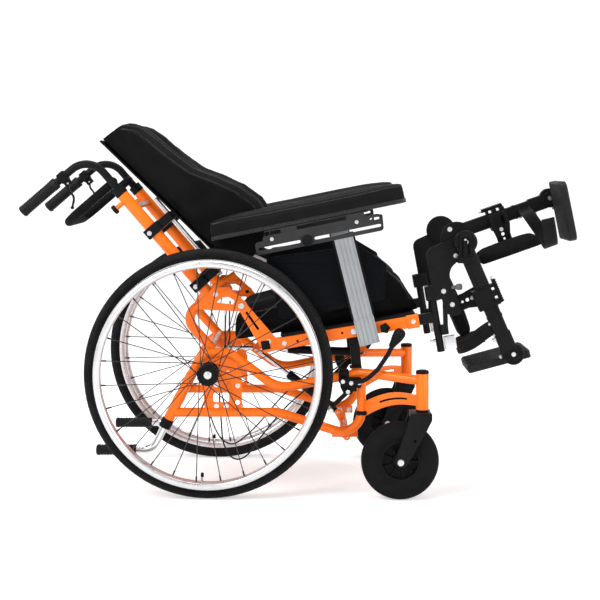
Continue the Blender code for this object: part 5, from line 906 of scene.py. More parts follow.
def wheel_lock(side, sign):
    """The lock's housing, its long handle and the bar that presses on the tyre."""
    pivot, shoe = (ahead(0.3497), 0.276344), (ahead(0.3417), 0.255044)
    face, plate_y = sign * 0.2138, sign * 0.2063
    x, z = ahead(0.3324), rail_z(0.3324)
    body = Piece("lock_housing_" + side, "base", "plastic_black", "plastic")
    body.add(side_brick(sign, (x - 0.0125, FRAME_Y - 0.016, z - 0.0165), (x + 0.0125, 0.2018, z + 0.0165),
                        0.0035, 3))
    outline = rounded([
        (pivot[0] - 0.0265, pivot[1] + 0.0128), (pivot[0] - 0.0265, pivot[1] - 0.011),
        (shoe[0] - 0.009, shoe[1] - 0.008),
        (shoe[0] + 0.009, shoe[1] - 0.008), (pivot[0] + 0.01, pivot[1] - 0.013),
        (pivot[0] + 0.0258, pivot[1] - 0.013),
        (pivot[0] + 0.0258, pivot[1] + 0.0128)], [0.004, 0.003, 0.005, 0.005, 0.003, 0.004, 0.004])
    body.add(slab(outline, 0.015, plate_y, edge=0.0018))
    body.done("wheel_lock_body_" + side)
    bolts("lock_bolts_" + side, "base", [
        (pivot[0] - 0.02, face, pivot[1] + 0.003, sign), (pivot[0] + 0.02, face, pivot[1], sign)],
        sizes=(0.0038, 0.0026, 0.0052))
    pins = Piece("lock_pins_" + side, "base", "chrome_steel", "zinc")
    for px, pz in (pivot, shoe):
        pins.add(rod((px, plate_y, pz), (px, sign * 0.2208, pz), 0.0034, 20, edge=0.0007))
        pins.add(spindle((px, sign * 0.21825, pz), (0, sign, 0),
                         [(0, 0.006), (0.0018, 0.006), (0.0024, 0.0052)], 6))
    pins.done()
    PLACE["lever"] = level(pivot[0], face, pivot[1])
    lever = Piece("lock_handle_" + side, "lock_lever_" + side, "plastic_black", "powder", "plastic",
                  place="lever")
    y0, knob_y = sign * 0.0023, sign * 0.0292
    lever.add(rod((0, y0 - 0.002, 0), (0, y0 + 0.002, 0), 0.0095, 28, edge=0.0005))
    route = fillet([(0.004, y0, 0.001), (0.034, y0 + sign * 0.003, 0.006), (0.064, (y0 + knob_y) / 2, 0.034),
                    (0.09, knob_y, 0.075), (0.103, knob_y, 0.102)], 0.05)
    lever.add(sweep(route, bar_section(0.004, 0.011, 0.0012)))
    lever.add(spindle((0.0965, knob_y, 0.092), (sin(radians(33)), 0, cos(radians(33))), [
        (0, 0.0062), (0.001, 0.0072), (0.004, 0.0078), (0.01, 0.009), (0.018, 0.0112), (0.027, 0.0135),
        (0.036, 0.0145),
        (0.043, 0.0138), (0.048, 0.0115), (0.051, 0.0075), (0.052, 0.003)], 28), 1)
    lever.done("wheel_lock_lever_" + side)
    reach, below_axle = WHEEL_R + 0.007, radians(16.8)
    pin = Vector((reach * cos(below_axle) - 0.3417, 0, WHEEL_R - reach * sin(below_axle) - shoe[1]))
    PLACE["shoe"] = level(shoe[0], face, shoe[1])
    arm = Piece("lock_bar_" + side, "lock_shoe_" + side, "frame_black", "powder", "zinc", place="shoe")
    arm.add(sweep([(0, y0, 0), (pin.x, y0, pin.z)], bar_section(0.004, 0.011, 0.001)))
    arm.add(rod((0, y0 - 0.002, 0), (0, y0 + 0.002, 0), 0.0075, 24, edge=0.0005))
    ends = sorted((y0 - sign * 0.002, sign * (0.2625 - 0.2138)))
    arm.add(rod((pin.x, ends[0], pin.z), (pin.x, ends[1], pin.z), 0.006, 24, edge=0.001), 1)
    arm.done("wheel_lock_shoe_" + side)


def tip_lever(side, sign):
    """The bright tube and grip behind, for tipping the chair over a kerb."""
    end, y, bar_z = ahead(-0.2829), sign * FRAME_Y, 0.106
    corner = on_leg(sign, (bar_z - LEG_TOP_Z) / LEG_DOWN.z)
    chrome = Piece("tip_tube_" + side, "tip_lever_" + side, "chrome_steel", "chrome")
    chrome.add(pipe([on_leg(sign, -0.054), corner, (end + 0.012, y, bar_z)], 0.0095, 0.035, 24))
    chrome.done("tip_lever_" + side)
    grip = Piece("tip_grip_" + side, "tip_lever_" + side, "rubber_black", "rubber")
    grip.add(spindle((end, y, bar_z), (1, 0, 0), [(0, 0.008), (0.0012, 0.0115), (0.004, 0.0135), (0.01, 0.0135)]
                     + ribbed(0.012, 0.09, 11, 0.0124, 0.0135) + [(0.094, 0.0136), (0.099, 0.0136),
                         (0.1, 0.0128)], 28))
    grip.done()


# Wheels

def wheel_spoke(index, count):
    """A thin rod from a flange to the rim: neighbours start on both flanges and lean both ways."""
    flange_radius, flange_y, rim_radius, rim_y, clear = 0.0205, 0.024, 0.2645, 0.0045, 0.0016
    flange, lean = (1 if index % 2 else -1), (1 if (index // 2) % 2 else -1)
    rim_angle = 2 * pi * (index + 0.5) / count
    hub_angle = rim_angle + lean * 2 * pi * 3 / (count // 2)
    hub = flange_radius * Vector((cos(hub_angle), 0, sin(hub_angle)))
    hub.y = flange * flange_y + lean * clear
    rim = rim_radius * Vector((cos(rim_angle), 0, sin(rim_angle)))
    rim.y = flange * rim_y + lean * clear
    return hub, rim


def rear_wheel(side, sign):
    """Tyre, rim, laced spokes, hub, push rim with its tabs, and valve."""
    body = "rear_wheel_" + side
    centre = (AXLE_X, sign * TRACK_Y, WHEEL_R)
    tyre = Piece("tyre_" + side, body, "tyre_rubber", "tyre")
    half = [(0.279, 0.0105), (0.2835, 0.0138), (0.2875, 0.0166), (0.2905, 0.0175), (0.294, 0.0174),
            (0.2975, 0.0162),
            (0.3005, 0.0138), (0.3028, 0.0104), (0.304, 0.0076), (0.303, 0.0068), (0.303, 0.006),
            (0.3046, 0.0052),
            (0.3049, 0.0026), (0.3038, 0.0018), (0.3038, 0.0008)]
    tyre.add(revolve(both_ways(half), 120, centre))
    tyre.done("rear_tyre_" + side, sharp=radians(28))
    rim = Piece("rim_" + side, body, "rim_silver", "silver")
    section = [(0.2786, 0.0118), (0.278, 0.012), (0.2725, 0.0116), (0.268, 0.0096), (0.265, 0.0064),
               (0.264, 0.0025)]
    rim.add(revolve(both_ways(section), 120, centre))
    rim.done("rear_wheel_" + side)
    cell = bmesh.new()
    for index in range(4):
        hub_end, rim_end = (Vector(centre) + end for end in wheel_spoke(index, settings().spokes // 4 * 4))
        toward = (rim_end - hub_end).normalized()
        gather(cell, rod(hub_end, rim_end, settings().spoke_radius, 8))
        gather(cell, spindle(rim_end - toward * 0.012, toward, [(0, 0.0017), (0.001, 0.0021), (0.012, 0.0021)],
                             8))
    round_and_round("spokes_" + side, body, "rim_silver", "spoke", cell, settings().spokes // 4, centre)
    hub = Piece("hub_" + side, body, "plastic_black", "plastic", "zinc")
    inner = -0.0405
    hub.add(spindle(centre, (0, sign, 0), [
        (inner, 0.0125), (inner + 0.002, 0.0135), (-0.029, 0.0155), (-0.0272, 0.0236), (-0.0262, 0.0242),
        (-0.0222, 0.0242),
        (-0.0212, 0.0236), (-0.018, 0.0175), (0.0, 0.016), (0.018, 0.0175), (0.0205, 0.0236), (0.0215, 0.0242),
        (0.0245, 0.0262),
        (0.03, 0.0265), (0.034, 0.0262), (0.0362, 0.024), (0.0368, 0.0215), (0.035, 0.02), (0.0352, 0.011)],
        48))
    hub.add(spindle((AXLE_X, sign * (TRACK_Y + 0.0345), WHEEL_R), (0, sign, 0), [
        (0, 0.0095), (0.0018, 0.0095), (0.0024, 0.0088), (0.0024, 0.0062), (0.0042, 0.0058), (0.0052, 0.004),
        (0.0054, 0.0012)], 32), 1)
    hub.done()
    groove = brick((0.0256, 0.025, -0.0014), (0.0271, 0.035, 0.0014), 0.0005, 1)
    if sign < 0:
        turned(groove, pi, "Z")
        turned(groove, pi, "Y")
    shifted(groove, *centre)
    round_and_round("hub_ribs_" + side, body, "plastic_black", "plastic", groove, 18, centre)
    rail = Piece("pushing_rim_" + side, body, "rim_silver", "silver")
    y, push_radius = sign * (TRACK_Y + 0.036), 0.2688
    rail.add(revolve([(push_radius + u, y + v) for u, v in circle(0.0095, 20)], 120, (AXLE_X, 0, WHEEL_R)))
    rail.done("handrim_" + side)
    out = Vector((cos(pi / 6), 0, sin(pi / 6)))
    start = out * push_radius + Vector((AXLE_X, y, WHEEL_R))
    end = out * 0.27075 + Vector((AXLE_X, sign * (TRACK_Y + 0.0117), WHEEL_R))
    tab = sweep([start, end], bar_section(0.004, 0.012, 0.0012), out.cross(Vector((0, 1, 0))))
    round_and_round("rim_tabs_" + side, body, "rim_silver", "zinc", tab, 6, centre)
    angle = radians(-93.5)
    out = Vector((cos(angle), 0, sin(angle)))
    valve = Piece("valve_" + side, body, "plastic_black", "plastic", "chrome")
    foot = Vector(centre) + out * 0.265
    valve.add(spindle(foot, -out, [(0, 0.004), (0.002, 0.004), (0.0026, 0.003), (0.012, 0.0028)], 16), 1)
    valve.add(spindle(foot - out * 0.011, -out, [(0, 0.0036), (0.001, 0.004), (0.009, 0.0038),
                                                 (0.0105, 0.0026)], 16))
    valve.done()


def caster(side, sign):
    """A two-bladed fork and its small solid wheel."""
    fork_body, wheel_body = "caster_fork_" + side, "caster_wheel_" + side
    place = (HOUSING_X, sign * CASTER_Y)
    PLACE["fork"] = level(place[0], place[1], 0)
    crown = 0.2134
    axle = (-0.0546, 0.095)
    fork = Piece("fork_" + side, fork_body, "frame_black", "powder", place="fork")
    outline = rounded([
        (0.0215, crown), (-0.0315, crown), (-0.0335, crown - 0.016), (axle[0] - 0.015, axle[1] + 0.004),
        (axle[0] - 0.004, axle[1] - 0.015), (axle[0] + 0.014, axle[1] - 0.009), (0.0075, crown - 0.044),
        (0.0215, crown - 0.016)], [0.002, 0.002, 0.02, 0.012, 0.01, 0.01, 0.02, 0.012])
    for y in (-0.03075, 0.03075):
        fork.add(slab(outline, 0.0055, y, [circle(0.0032, 14, (-0.02, crown - 0.066))], edge=0.001))
    fork.add(brick((-0.0305, -0.029, crown - 0.0135), (0.0205, 0.029, crown - 0.0002), 0.0015))
    fork.add(spindle((0, 0, crown - 0.001), (0, 0, 1),
                     [(0, 0.0135), (0.0007, 0.0135), (0.0008, 0.008), (0.083, 0.008)], 24))
    fork.done("caster_fork_" + side)
    ends = [(axle[0], facing * 0.0335, axle[1], facing) for facing in (-1, 1)]
    bolts("caster_bolts_" + side, fork_body, ends, "fork", sizes=(0.0062, 0.0042, 0.0078))
    centre = (place[0] + axle[0], place[1], axle[1])
    wheel = Piece("caster_tyre_" + side, wheel_body, "tyre_rubber", "foam", "plastic", "zinc")
    half = [(0.047, 0.0175), (0.05, 0.0178), (0.0545, 0.0205), (0.061, 0.0235), (0.068, 0.0249),
            (0.074, 0.0245),
            (0.081, 0.0222), (0.087, 0.0182), (0.0915, 0.0132), (0.094, 0.0078), (0.0949, 0.003)]
    wheel.add(revolve(both_ways(half), 96, centre))
    rim = [(0.044, 0.0165), (0.0505, 0.0172), (0.051, 0.016)]
    wheel.add(revolve(both_ways(rim), 72, centre), 1)
    wheel.add(spindle((centre[0], centre[1] - 0.0035, centre[2]), (0, 1, 0), [(0, 0.045), (0.007, 0.045)], 64),
              1)
    wheel.add(spindle((centre[0], centre[1] - 0.0248, centre[2]), (0, 1, 0), [
        (0, 0.012), (0.0006, 0.0128), (0.0045, 0.0165), (0.0451, 0.0165), (0.049, 0.0128), (0.0496, 0.012)],
        36), 1)
    wheel.done("caster_wheel_" + side)
    rib = brick((0.015, -0.0135, -0.0014), (0.045, 0.0135, 0.0014), 0.0006, 1)
    round_and_round("caster_ribs_" + side, wheel_body, "plastic_black", "plastic", shifted(rib, *centre), 9,
                    centre)


# Seat

SLEEVE_IN, SLEEVE_OUT = 0.2047, 0.2187


def arm_sleeve(sign):
    """The four walls of the socket that an armrest's post slides in; the outer one is grooved."""
    half, low, high = 0.025, -0.036, 0.0305
    for x in (-0.0235, 0.0235):
        yield side_brick(sign, (x - 0.002, SLEEVE_IN, low), (x + 0.002, SLEEVE_OUT, high), 0.0008)
    yield side_brick(sign, (-half, SLEEVE_IN, low), (half, SLEEVE_IN + 0.002, high), 0.0007)
    ridged = [(-half, SLEEVE_OUT - 0.002), (half, SLEEVE_OUT - 0.002), (half, SLEEVE_OUT)]
    for x in (0.0195, 0.009, -0.0015, -0.012, -0.0225):
        ridged += [(x + along, SLEEVE_OUT - sink) for along,
                   sink in ((0.0018, 0), (0.0012, 0.0008), (-0.0002, 0.0008), (-0.0008, 0))]
    ridged.append((-half, SLEEVE_OUT))
    yield skin([[(x, sign * y, z) for x, y in ridged] for z in (low, high)])


def seat_structure():
    """Rails with slotted rear plates, cross tubes, post sockets, bolts and the seat board."""
    orange = Piece("seat_rails", "seat", "frame_orange", "orange", place="seat")
    black = Piece("seat_black_parts", "seat", "frame_black", "powder", "plastic", place="seat")
    metal = Piece("seat_pins", "seat", "chrome_steel", "zinc", place="seat")
    sleeves = Piece("arm_sleeves", "seat", "upright_aluminium", "aluminium", place="seat")
    for sign in (-1, 1):
        y = sign * RAIL_Y
        orange.add(sweep([(-0.2253, y, 0), (0.145, y, 0)], bar_section(0.02, 0.03, 0.0035)))
        orange.add(sweep([(0.1344, y, 0), (0.1644, y, 0)], bar_section(0.024, 0.034, 0.0035)))
        black.add(sweep([(0.15, y, 0.001), (0.2067, y, 0.001)], bar_section(0.018, 0.026, 0.003)))
        black.add(spindle((0.2067, y, -0.086), (0, 0, 1),
                          [(0, 0.0085), (0.001, 0.0095), (0.161, 0.0095), (0.162, 0.0085)], 24))
        black.add(spindle((0.0775, sign * 0.1995, -0.003), (0, sign, 0), [(0, 0.004), (0.009, 0.004)], 16), 1)
        star = []
        for i in range(40):
            angle = 2 * pi * i / 40
            radius = 0.0118 + 0.0011 * cos(angle * 5)
            star.append((0.0775 + radius * cos(angle), -0.003 + radius * sin(angle)))
        black.add(slab(star, 0.012, sign * 0.2145, edge=0.0022), 1)
        arc = [(-0.1945, -0.013), (-0.2255, -0.0175), (-0.2409, 0.0172)]
        for i in range(15):
            angle = -pi / 2 - 0.42 - pi * 1.04 * i / 14
            arc.append((HINGE[0] + 0.0145 * cos(angle), HINGE[1] + 0.0145 * sin(angle)))
        arc.append((-0.1925, 0.016))
        holes = [slot((-0.2534, 0.089), (-0.2324, 0.0457), 0.006), circle(0.0055, 20, HINGE)]
        orange.add(slab(arc, PLATE, sign * 0.198, holes))
        for shape in arm_sleeve(sign):
            sleeves.add(shifted(turned(shape, -POST_LEAN), POST_X))
        liner = side_brick(sign, (-0.018, 0.199, -0.011), (0.018, SLEEVE_IN + 0.001, 0.011), 0.001)
        black.add(shifted(turned(liner, -POST_LEAN), POST_X), 1)
        black.add(brick((-0.2312, sign * 0.2025 - 0.0018, -0.0078), (-0.2096, sign * 0.2025 + 0.0018, 0.0138),
                        0.0012), 1)
    orange.add(sweep([(-0.2204, -0.2015, 0.003), (-0.2204, 0.2015, 0.003)], bar_section(0.02, 0.02, 0.0025),
                     (1, 0, 0)))
    orange.add(rod((0.12, -0.186, 0), (0.12, 0.186, 0), 0.0105, 24))
    orange.add(rod((0.032, -0.186, -0.003), (0.032, 0.186, -0.003), 0.0095, 24))
    ear_plates(orange, RECLINE_FOOT, (0.032, -0.003), 0.0095, RECLINE_SPRING_Y, metal)
    ear_plates(orange, TILT_HEAD, (-0.2204, 0.003), 0.01, 0.0, metal)
    orange.done("seat_frame")
    black.done()
    metal.done()
    sleeves.done()
    spots = ((-0.174, 0.2, -0.0006), (-0.0012, 0.2, 0.0022), (0.15, 0.202, 0.0), (-0.212, 0.2005, 0.01))
    points = [(x, sign * y, z, sign) for sign in (-1, 1) for x, y, z in spots]
    bolts("seat_bolts", "seat", points, "seat", sizes=(0.0042, 0.0026, 0.0058), sides=16)
    plugs = [(x, sign * 0.2, z, sign) for sign in (-1, 1) for x, z in ((-0.1408, -0.0001), (-0.0282, 0.0011))]
    bolts("rail_plugs", "seat", plugs, "seat", "spoke", "plastic_black", sizes=(0.0022, 0.0006, 0.003),
          sides=16)
    pan = Piece("seat_board", "seat", "frame_black", "powder", place="seat")
    pan.add(brick((-0.18, -0.197, 0.0173), (0.158, 0.197, 0.0213), 0.001))
    for sign in (-1, 1):
        pan.add(brick((-0.178, sign * RAIL_Y - 0.0085, 0.0146), (0.153, sign * RAIL_Y + 0.0085, 0.0176),
                      0.0006))
    pan.done("seat_pan")


# Armrests

def armrest(side, sign):
    """A grooved post, the moulded side guard and the slotted plate under the pad."""
    body, head_body = "arm_" + side, "arm_head_" + side
    post = Piece("arm_post_" + side, body, "upright_aluminium", "aluminium", "plastic", place="arm")
    half, y0, outer = 0.0255, SLEEVE_IN, SLEEVE_OUT
    outline = [(-half + 0.002, y0), (half - 0.002, y0), (half, y0 + 0.002), (half, outer - 0.002),
               (half - 0.002, outer)]
    for i in range(4):
        x = half - 0.005 - 0.01025 * i
        outline += [(x, outer), (x - 0.0008, outer - 0.0012), (x - 0.0032, outer - 0.0012), (x - 0.004, outer)]
    outline += [(-half + 0.002, outer), (-half, outer - 0.002), (-half, y0 + 0.002)]
    post.add(skin([[(x, sign * y, z) for x, y in outline] for z in (0.031, 0.2448)]))
    post.add(side_brick(sign, (-0.0228, y0 + 0.0027, -0.03), (0.0228, outer - 0.0027, 0.0325), 0.0005))
    for x in (-0.0262, 0.0262):
        post.add(side_brick(sign, (x - 0.0024, y0 + 0.0015, 0.033), (x + 0.0024, outer + 0.0006, 0.236), 0.001),
                 1)
    post.add(side_brick(sign, (-0.027, y0 + 0.0015, 0.236), (0.027, outer + 0.0006, 0.2447), 0.0015), 1)
    post.done("arm_upright_" + side)
    guard = Piece("guard_" + side, body, "plastic_black", "guard", place="seat")
    outline = rounded([
        (-0.185, 0.217), (-0.175, 0.06), (-0.125, 0.0554), (0.0569, 0.0651), (0.0894, 0.0646), (0.1064, 0.142),
        (0.1084, 0.1542), (0.046, 0.2074)], [0.012, 0.012, 0.02, 0.02, 0.012, 0.01, 0.012, 0.022])
    guard.add(slab(outline, 0.0036, sign * 0.2021, edge=0.0012))
    panels = (
        [(-0.15, 0.1655), (-0.1007, 0.1619), (-0.0468, 0.1536), (-0.018, 0.1471), (-0.014, 0.073),
         (-0.0855, 0.0777), (-0.15, 0.079)],
        [(0.064, 0.188), (0.08, 0.178), (0.095, 0.162), (0.1, 0.148), (0.0965, 0.1275), (0.077, 0.079),
         (0.064, 0.077)])
    for panel in panels:
        guard.add(slab(rounded(panel, 0.006), 0.0016, sign * 0.2045, edge=0.0007))
    ridge = spline([(-0.1719, 0.196, 0), (-0.125, 0.1931, 0), (-0.0614, 0.1775, 0), (-0.018, 0.169, 0)], 6)
    guard.add(sweep([(p.x, sign * 0.204, p.y) for p in ridge], circle(0.001, 8), (0, 1, 0)))
    guard.done("side_guard_" + side)
    plate = Piece("arm_plate_" + side, head_body, "frame_black", "bracket", "plastic", place="head")
    low, high, shelf = -0.0129, 0.0305, 0.0397
    outline = rounded([
        (-0.129, low), (0.19, low), (0.194, 0.026), (0.18, high), (0.15, high), (0.15, shelf + 0.001),
        (0.105, shelf + 0.001), (0.105, high), (-0.02, high), (-0.02, shelf + 0.001), (-0.06, shelf + 0.001),
        (-0.06, high), (-0.105, high), (-0.108, 0.02), (-0.129, 0.018)],
        [0.008, 0.009, 0.009, 0.005, 0.002, 0, 0, 0.002, 0.002, 0, 0, 0.002, 0.004, 0.003, 0.009])
    holes = [slot((-0.118, 0.001), (-0.02, 0.001), 0.007), slot((0.022, 0.001), (0.182, 0.001), 0.007),
             slot((0.164, 0.0195), (0.182, 0.0195), 0.006)]
    face = sign * 0.219
    plate.add(slab(outline, 0.0035, face + sign * 0.00175, holes))
    plate.add(side_brick(sign, (-0.1, 0.17, shelf), (0.16, 0.2225, shelf + 0.003), 0.0008))
    knob = []
    for i in range(48):
        angle = 2 * pi * i / 48
        radius = 0.0138 + 0.0006 * cos(angle * 12)
        knob.append((radius * cos(angle), radius * sin(angle)))
    plate.add(slab(knob, 0.0105, sign * 0.2278, edge=0.0022), 1)
    plate.add(spindle((0, sign * 0.2222, 0), (0, sign, 0), [(0, 0.0095), (0.0014, 0.0095)], 24), 1)
    plate.add(spindle((0, sign * 0.2325, 0), (0, sign, 0), [(0, 0.0052), (0.0008, 0.005), (0.001, 0.002)], 24),
              1)
    plate.done("arm_bracket_" + side)
    bolts("arm_bolts_" + side, head_body, [
        (-0.085, face + sign * 0.0035, 0.02, sign), (0.128, face + sign * 0.0035, 0.02, sign)],
        "head", sizes=(0.0034, 0.0024, 0.0048), sides=16)


# Upholstery

def upholstered(name, solid, place, resting, voxel, cap, shrink=0.0025):
    """A cushion's mesh: the frame's solid, remeshed, blown up as cloth and held where it rests.

    Resting is the direction, in the group's frame, in which the cushion lies on its board.
    """
    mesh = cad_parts[solid].data.copy()
    bm = bmesh.new()
    bm.from_mesh(mesh)
    bmesh.ops.remove_doubles(bm, verts=bm.verts, dist=0.00002)
    bm.to_mesh(mesh)
    bm.free()
    item = bpy.data.objects.new(name, mesh)
    bpy.context.scene.collection.objects.link(item)
    step = item.modifiers.new("even", "REMESH")
    step.mode, step.voxel_size = "VOXEL", voxel
    ease = item.modifiers.new("ease", "SMOOTH")
    ease.iterations, ease.factor = 4, 0.5
    even = bpy.data.meshes.new_from_object(item.evaluated_get(bpy.context.evaluated_depsgraph_get()))
    item.modifiers.clear()
    item.data = even
    bpy.data.meshes.remove(mesh)
    down, facing_board = (PLACE[place].to_3x3() @ Vector(resting)).normalized(), 0.75
    held = [v.index for v in even.vertices if v.normal.dot(down) > facing_board]
    group = item.vertex_groups.new(name="held")
    group.add(held, 1.0, "REPLACE")
    kept = set(held)
    starts = [v.co - (Vector() if v.index in kept else v.normal * shrink) for v in even.vertices]
    for vertex, start in zip(even.vertices, starts):
        vertex.co = start
    ends = blown(item, starts)
    for vertex, start, end in zip(even.vertices, starts, ends):
        move = end - start
        vertex.co = start + (move if move.length < cap else move * (cap / move.length))
    finer = item.modifiers.new("finer", "SUBSURF")
    finer.levels = finer.render_levels = 1
    made = bpy.data.meshes.new_from_object(item.evaluated_get(bpy.context.evaluated_depsgraph_get()))
    bpy.data.objects.remove(item, do_unlink=True)
    bpy.data.meshes.remove(even)
    made.name = name
    made.materials.clear()
    made.shade_smooth()
    return made


def blown(item, starts):
    """Where twenty frames of cloth under pressure carry the vertices."""
    cloth = item.modifiers.new("cloth", "CLOTH")
    rules = cloth.settings
    rules.quality, rules.mass = 5, 0.3
    rules.use_pressure, rules.uniform_pressure_force = True, 4.0
    rules.vertex_group_mass = "held"
    rules.effector_weights.gravity = 0.0
    cloth.collision_settings.use_collision = False
    scene = bpy.context.scene
    for number in range(1, 21):
        scene.frame_set(number)
    puffed = item.evaluated_get(bpy.context.evaluated_depsgraph_get())
    ends = [v.co.copy() for v in puffed.data.vertices]
    item.modifiers.remove(cloth)
    scene.frame_set(1)
    return ends if len(ends) == len(starts) else starts


class Surface:
    """Finds points on a cushion's skin, in its group's frame."""

    def __init__(self, mesh, place):
        self.matrix = PLACE[place]
        inverse = self.matrix.inverted()
        self.tree = BVHTree.FromPolygons([inverse @ v.co for v in mesh.vertices],
                                         [p.vertices for p in mesh.polygons])

    def hit(self, start, toward):
        found = self.tree.ray_cast(Vector(start), Vector(toward).normalized(), 2.0)[0]
        if found is None:
            raise RuntimeError("A seam misses its cushion at " + str(tuple(start)))
        return found


def covered(mesh, solid, place, body, on_face=None):
    """Dress a cushion's mesh in suede, with knit where on_face says so, and set it for the frame's solid."""
    mesh.materials.append(finish_of("suede"))
    if on_face:
        mesh.materials.append(finish_of("fabric"))
        inverse = PLACE[place].inverted()
        for face in mesh.polygons:
            face.material_index = 1 if on_face(inverse @ face.center) else 0
    place_object(mesh.name, mesh, body, "cushion_fabric", (solid,))


def welts(name, place, routes, scale=1.0):
    """Piping along seams, as one piece."""
    piece = Piece(name, place, "cushion_fabric", "piping", place=place)
    for route in routes:
        piece.add(sweep(spline(route, 3), circle(settings().welt_radius * scale, 8)))
    piece.done()


def nearest(stations, value):
    """The station that lies nearest to a value."""
    return min(stations, key=lambda s: abs(s - value))


def back_front(skin_of, y, z):
    """How far forward the back cushion's face lies at a place on it."""
    return skin_of.hit((0.6, y, z), (-1, 0, 0)).x


def back_cushion():
    """Suede sides, a knitted face and a double welt round its front edge."""
    made = upholstered("back_cushion_soft", "back_cushion", "back", (-1, 0, 0), 0.006, settings().puff)
    skin_of = Surface(made, "back")
    stations = [0.075 + 0.449 * i / 24 for i in range(25)]
    wing = 0.128
    edge = {z: max(back_front(skin_of, sign * (wing + 0.01), z) for sign in (-1, 1)) for z in stations}

    def on_face(point):
        return (point.x > edge[nearest(stations, point.z)] - 0.022
                or abs(point.y) < wing and point.x > 0.03)

    covered(made, "back_cushion", "back", "back", on_face)
    for label, behind, scale in (("front", 0.006, 1.05), ("rear", 0.0215, 0.9)):
        sides = [[skin_of.hit((edge[z] - behind, sign * 0.4, z), (0, -sign, 0)) for z in stations[:-2]]
                 for sign in (-1, 1)]
        crown = []
        for i in range(1, 18):
            aim = Vector((0, -wing * cos(pi * i / 18), stations[-3]))
            aim.x = back_front(skin_of, aim.y, aim.z + 0.01 * sin(pi * i / 18)) - behind
            away = Vector((0, -0.5 * cos(pi * i / 18), 0.5 * sin(pi * i / 18)))
            crown.append(skin_of.hit(aim + away, -away))
        welts("back_welt_" + label, "back", [sides[0] + crown + sides[1][::-1]], scale)
    for name, sign in (("back_stitches", -1), ("back_stitches_far", 1)):
        stitches(name, "back", [skin_of.hit((edge[z] - 0.025, sign * 0.4, z), (0, -sign, 0)) for z in stations])


def seat_cushion():
    """A contoured seat with a knitted top and a welt along each upper edge."""
    made = upholstered("seat_cushion_soft", "seat_cushion", "seat", (0, 0, -1), 0.006, settings().puff)
    skin_of = Surface(made, "seat")
    stations = [-0.27 + 0.425 * i / 22 for i in range(23)]
    top = {x: skin_of.hit((x, 0.148, 0.6), (0, 0, -1)).z for x in stations}
    seam = 0.014
    covered(made, "seat_cushion", "seat", "seat",
            lambda point: point.z > top[nearest(stations, point.x)] - seam)
    welts("seat_welts", "seat", [
        [skin_of.hit((x, sign * 0.4, top[x] - seam), (0, -sign, 0)) for x in stations] for sign in (-1, 1)])


def arm_pads():
    """Puckered vinyl pads with a seam below the top, each on a moulded base."""
    for side, sign in SIDES:
        name, body = "arm_pad_soft_" + side, "arm_head_" + side
        made = upholstered(name, "arm_pad_" + side, "head", (0, 0, -1), 0.004, 0.004, 0.0015)
        skin_of = Surface(made, "head")
        made.materials.append(finish_of("vinyl"))
        place_object(name, made, body, "cushion_fabric", ("arm_pad_" + side,))
        piece = Piece("arm_pad_welts_" + side, body, "cushion_fabric", "piping", place="head")
        for below_top, section in ((0.0065, circle(0.001, 8)), (None, bar_section(0.0105, 0.005, 0.0022))):
            loop = []
            for i in range(64):
                along, out = sin(2 * pi * i / 64), cos(2 * pi * i / 64)
                start = Vector((0.0135 + 0.226 * max(-1, min(1, 1.35 * along)), sign * 0.19
                                + 0.02 * max(-1, min(1, 3 * out)), 0))
                toward = Vector((along, out, 0))
                far = start + toward * 0.2
                far.z = 0.049
                if below_top:
                    far.z = skin_of.hit((start.x * 0.985, start.y, 0.5), (0, 0, -1)).z - below_top
                loop.append(skin_of.hit(far, -toward))
            piece.add(sweep(loop, section, (0, 0, 1), closed=True))
        piece.done()


def calf_pads():
    """Slim pads whose edges curl a little round the calf."""
    for side, _ in SIDES:
        name, solid, body = "calf_pad_soft_" + side, "calf_pad_" + side, "leg_" + side
        made = upholstered(name, solid, body, (-1, 0, 0), 0.004, 0.005, 0.0015)
        covered(made, solid, body, body)


# Back

def back_x(z):
    """The rear face of the back cushion leans a little forward of the tubes."""
    return 0.0475 - 0.0877 * z


BACK_TUBE_X, LEVER_Y, GRIP_Z = -0.044, 0.153, 0.5325


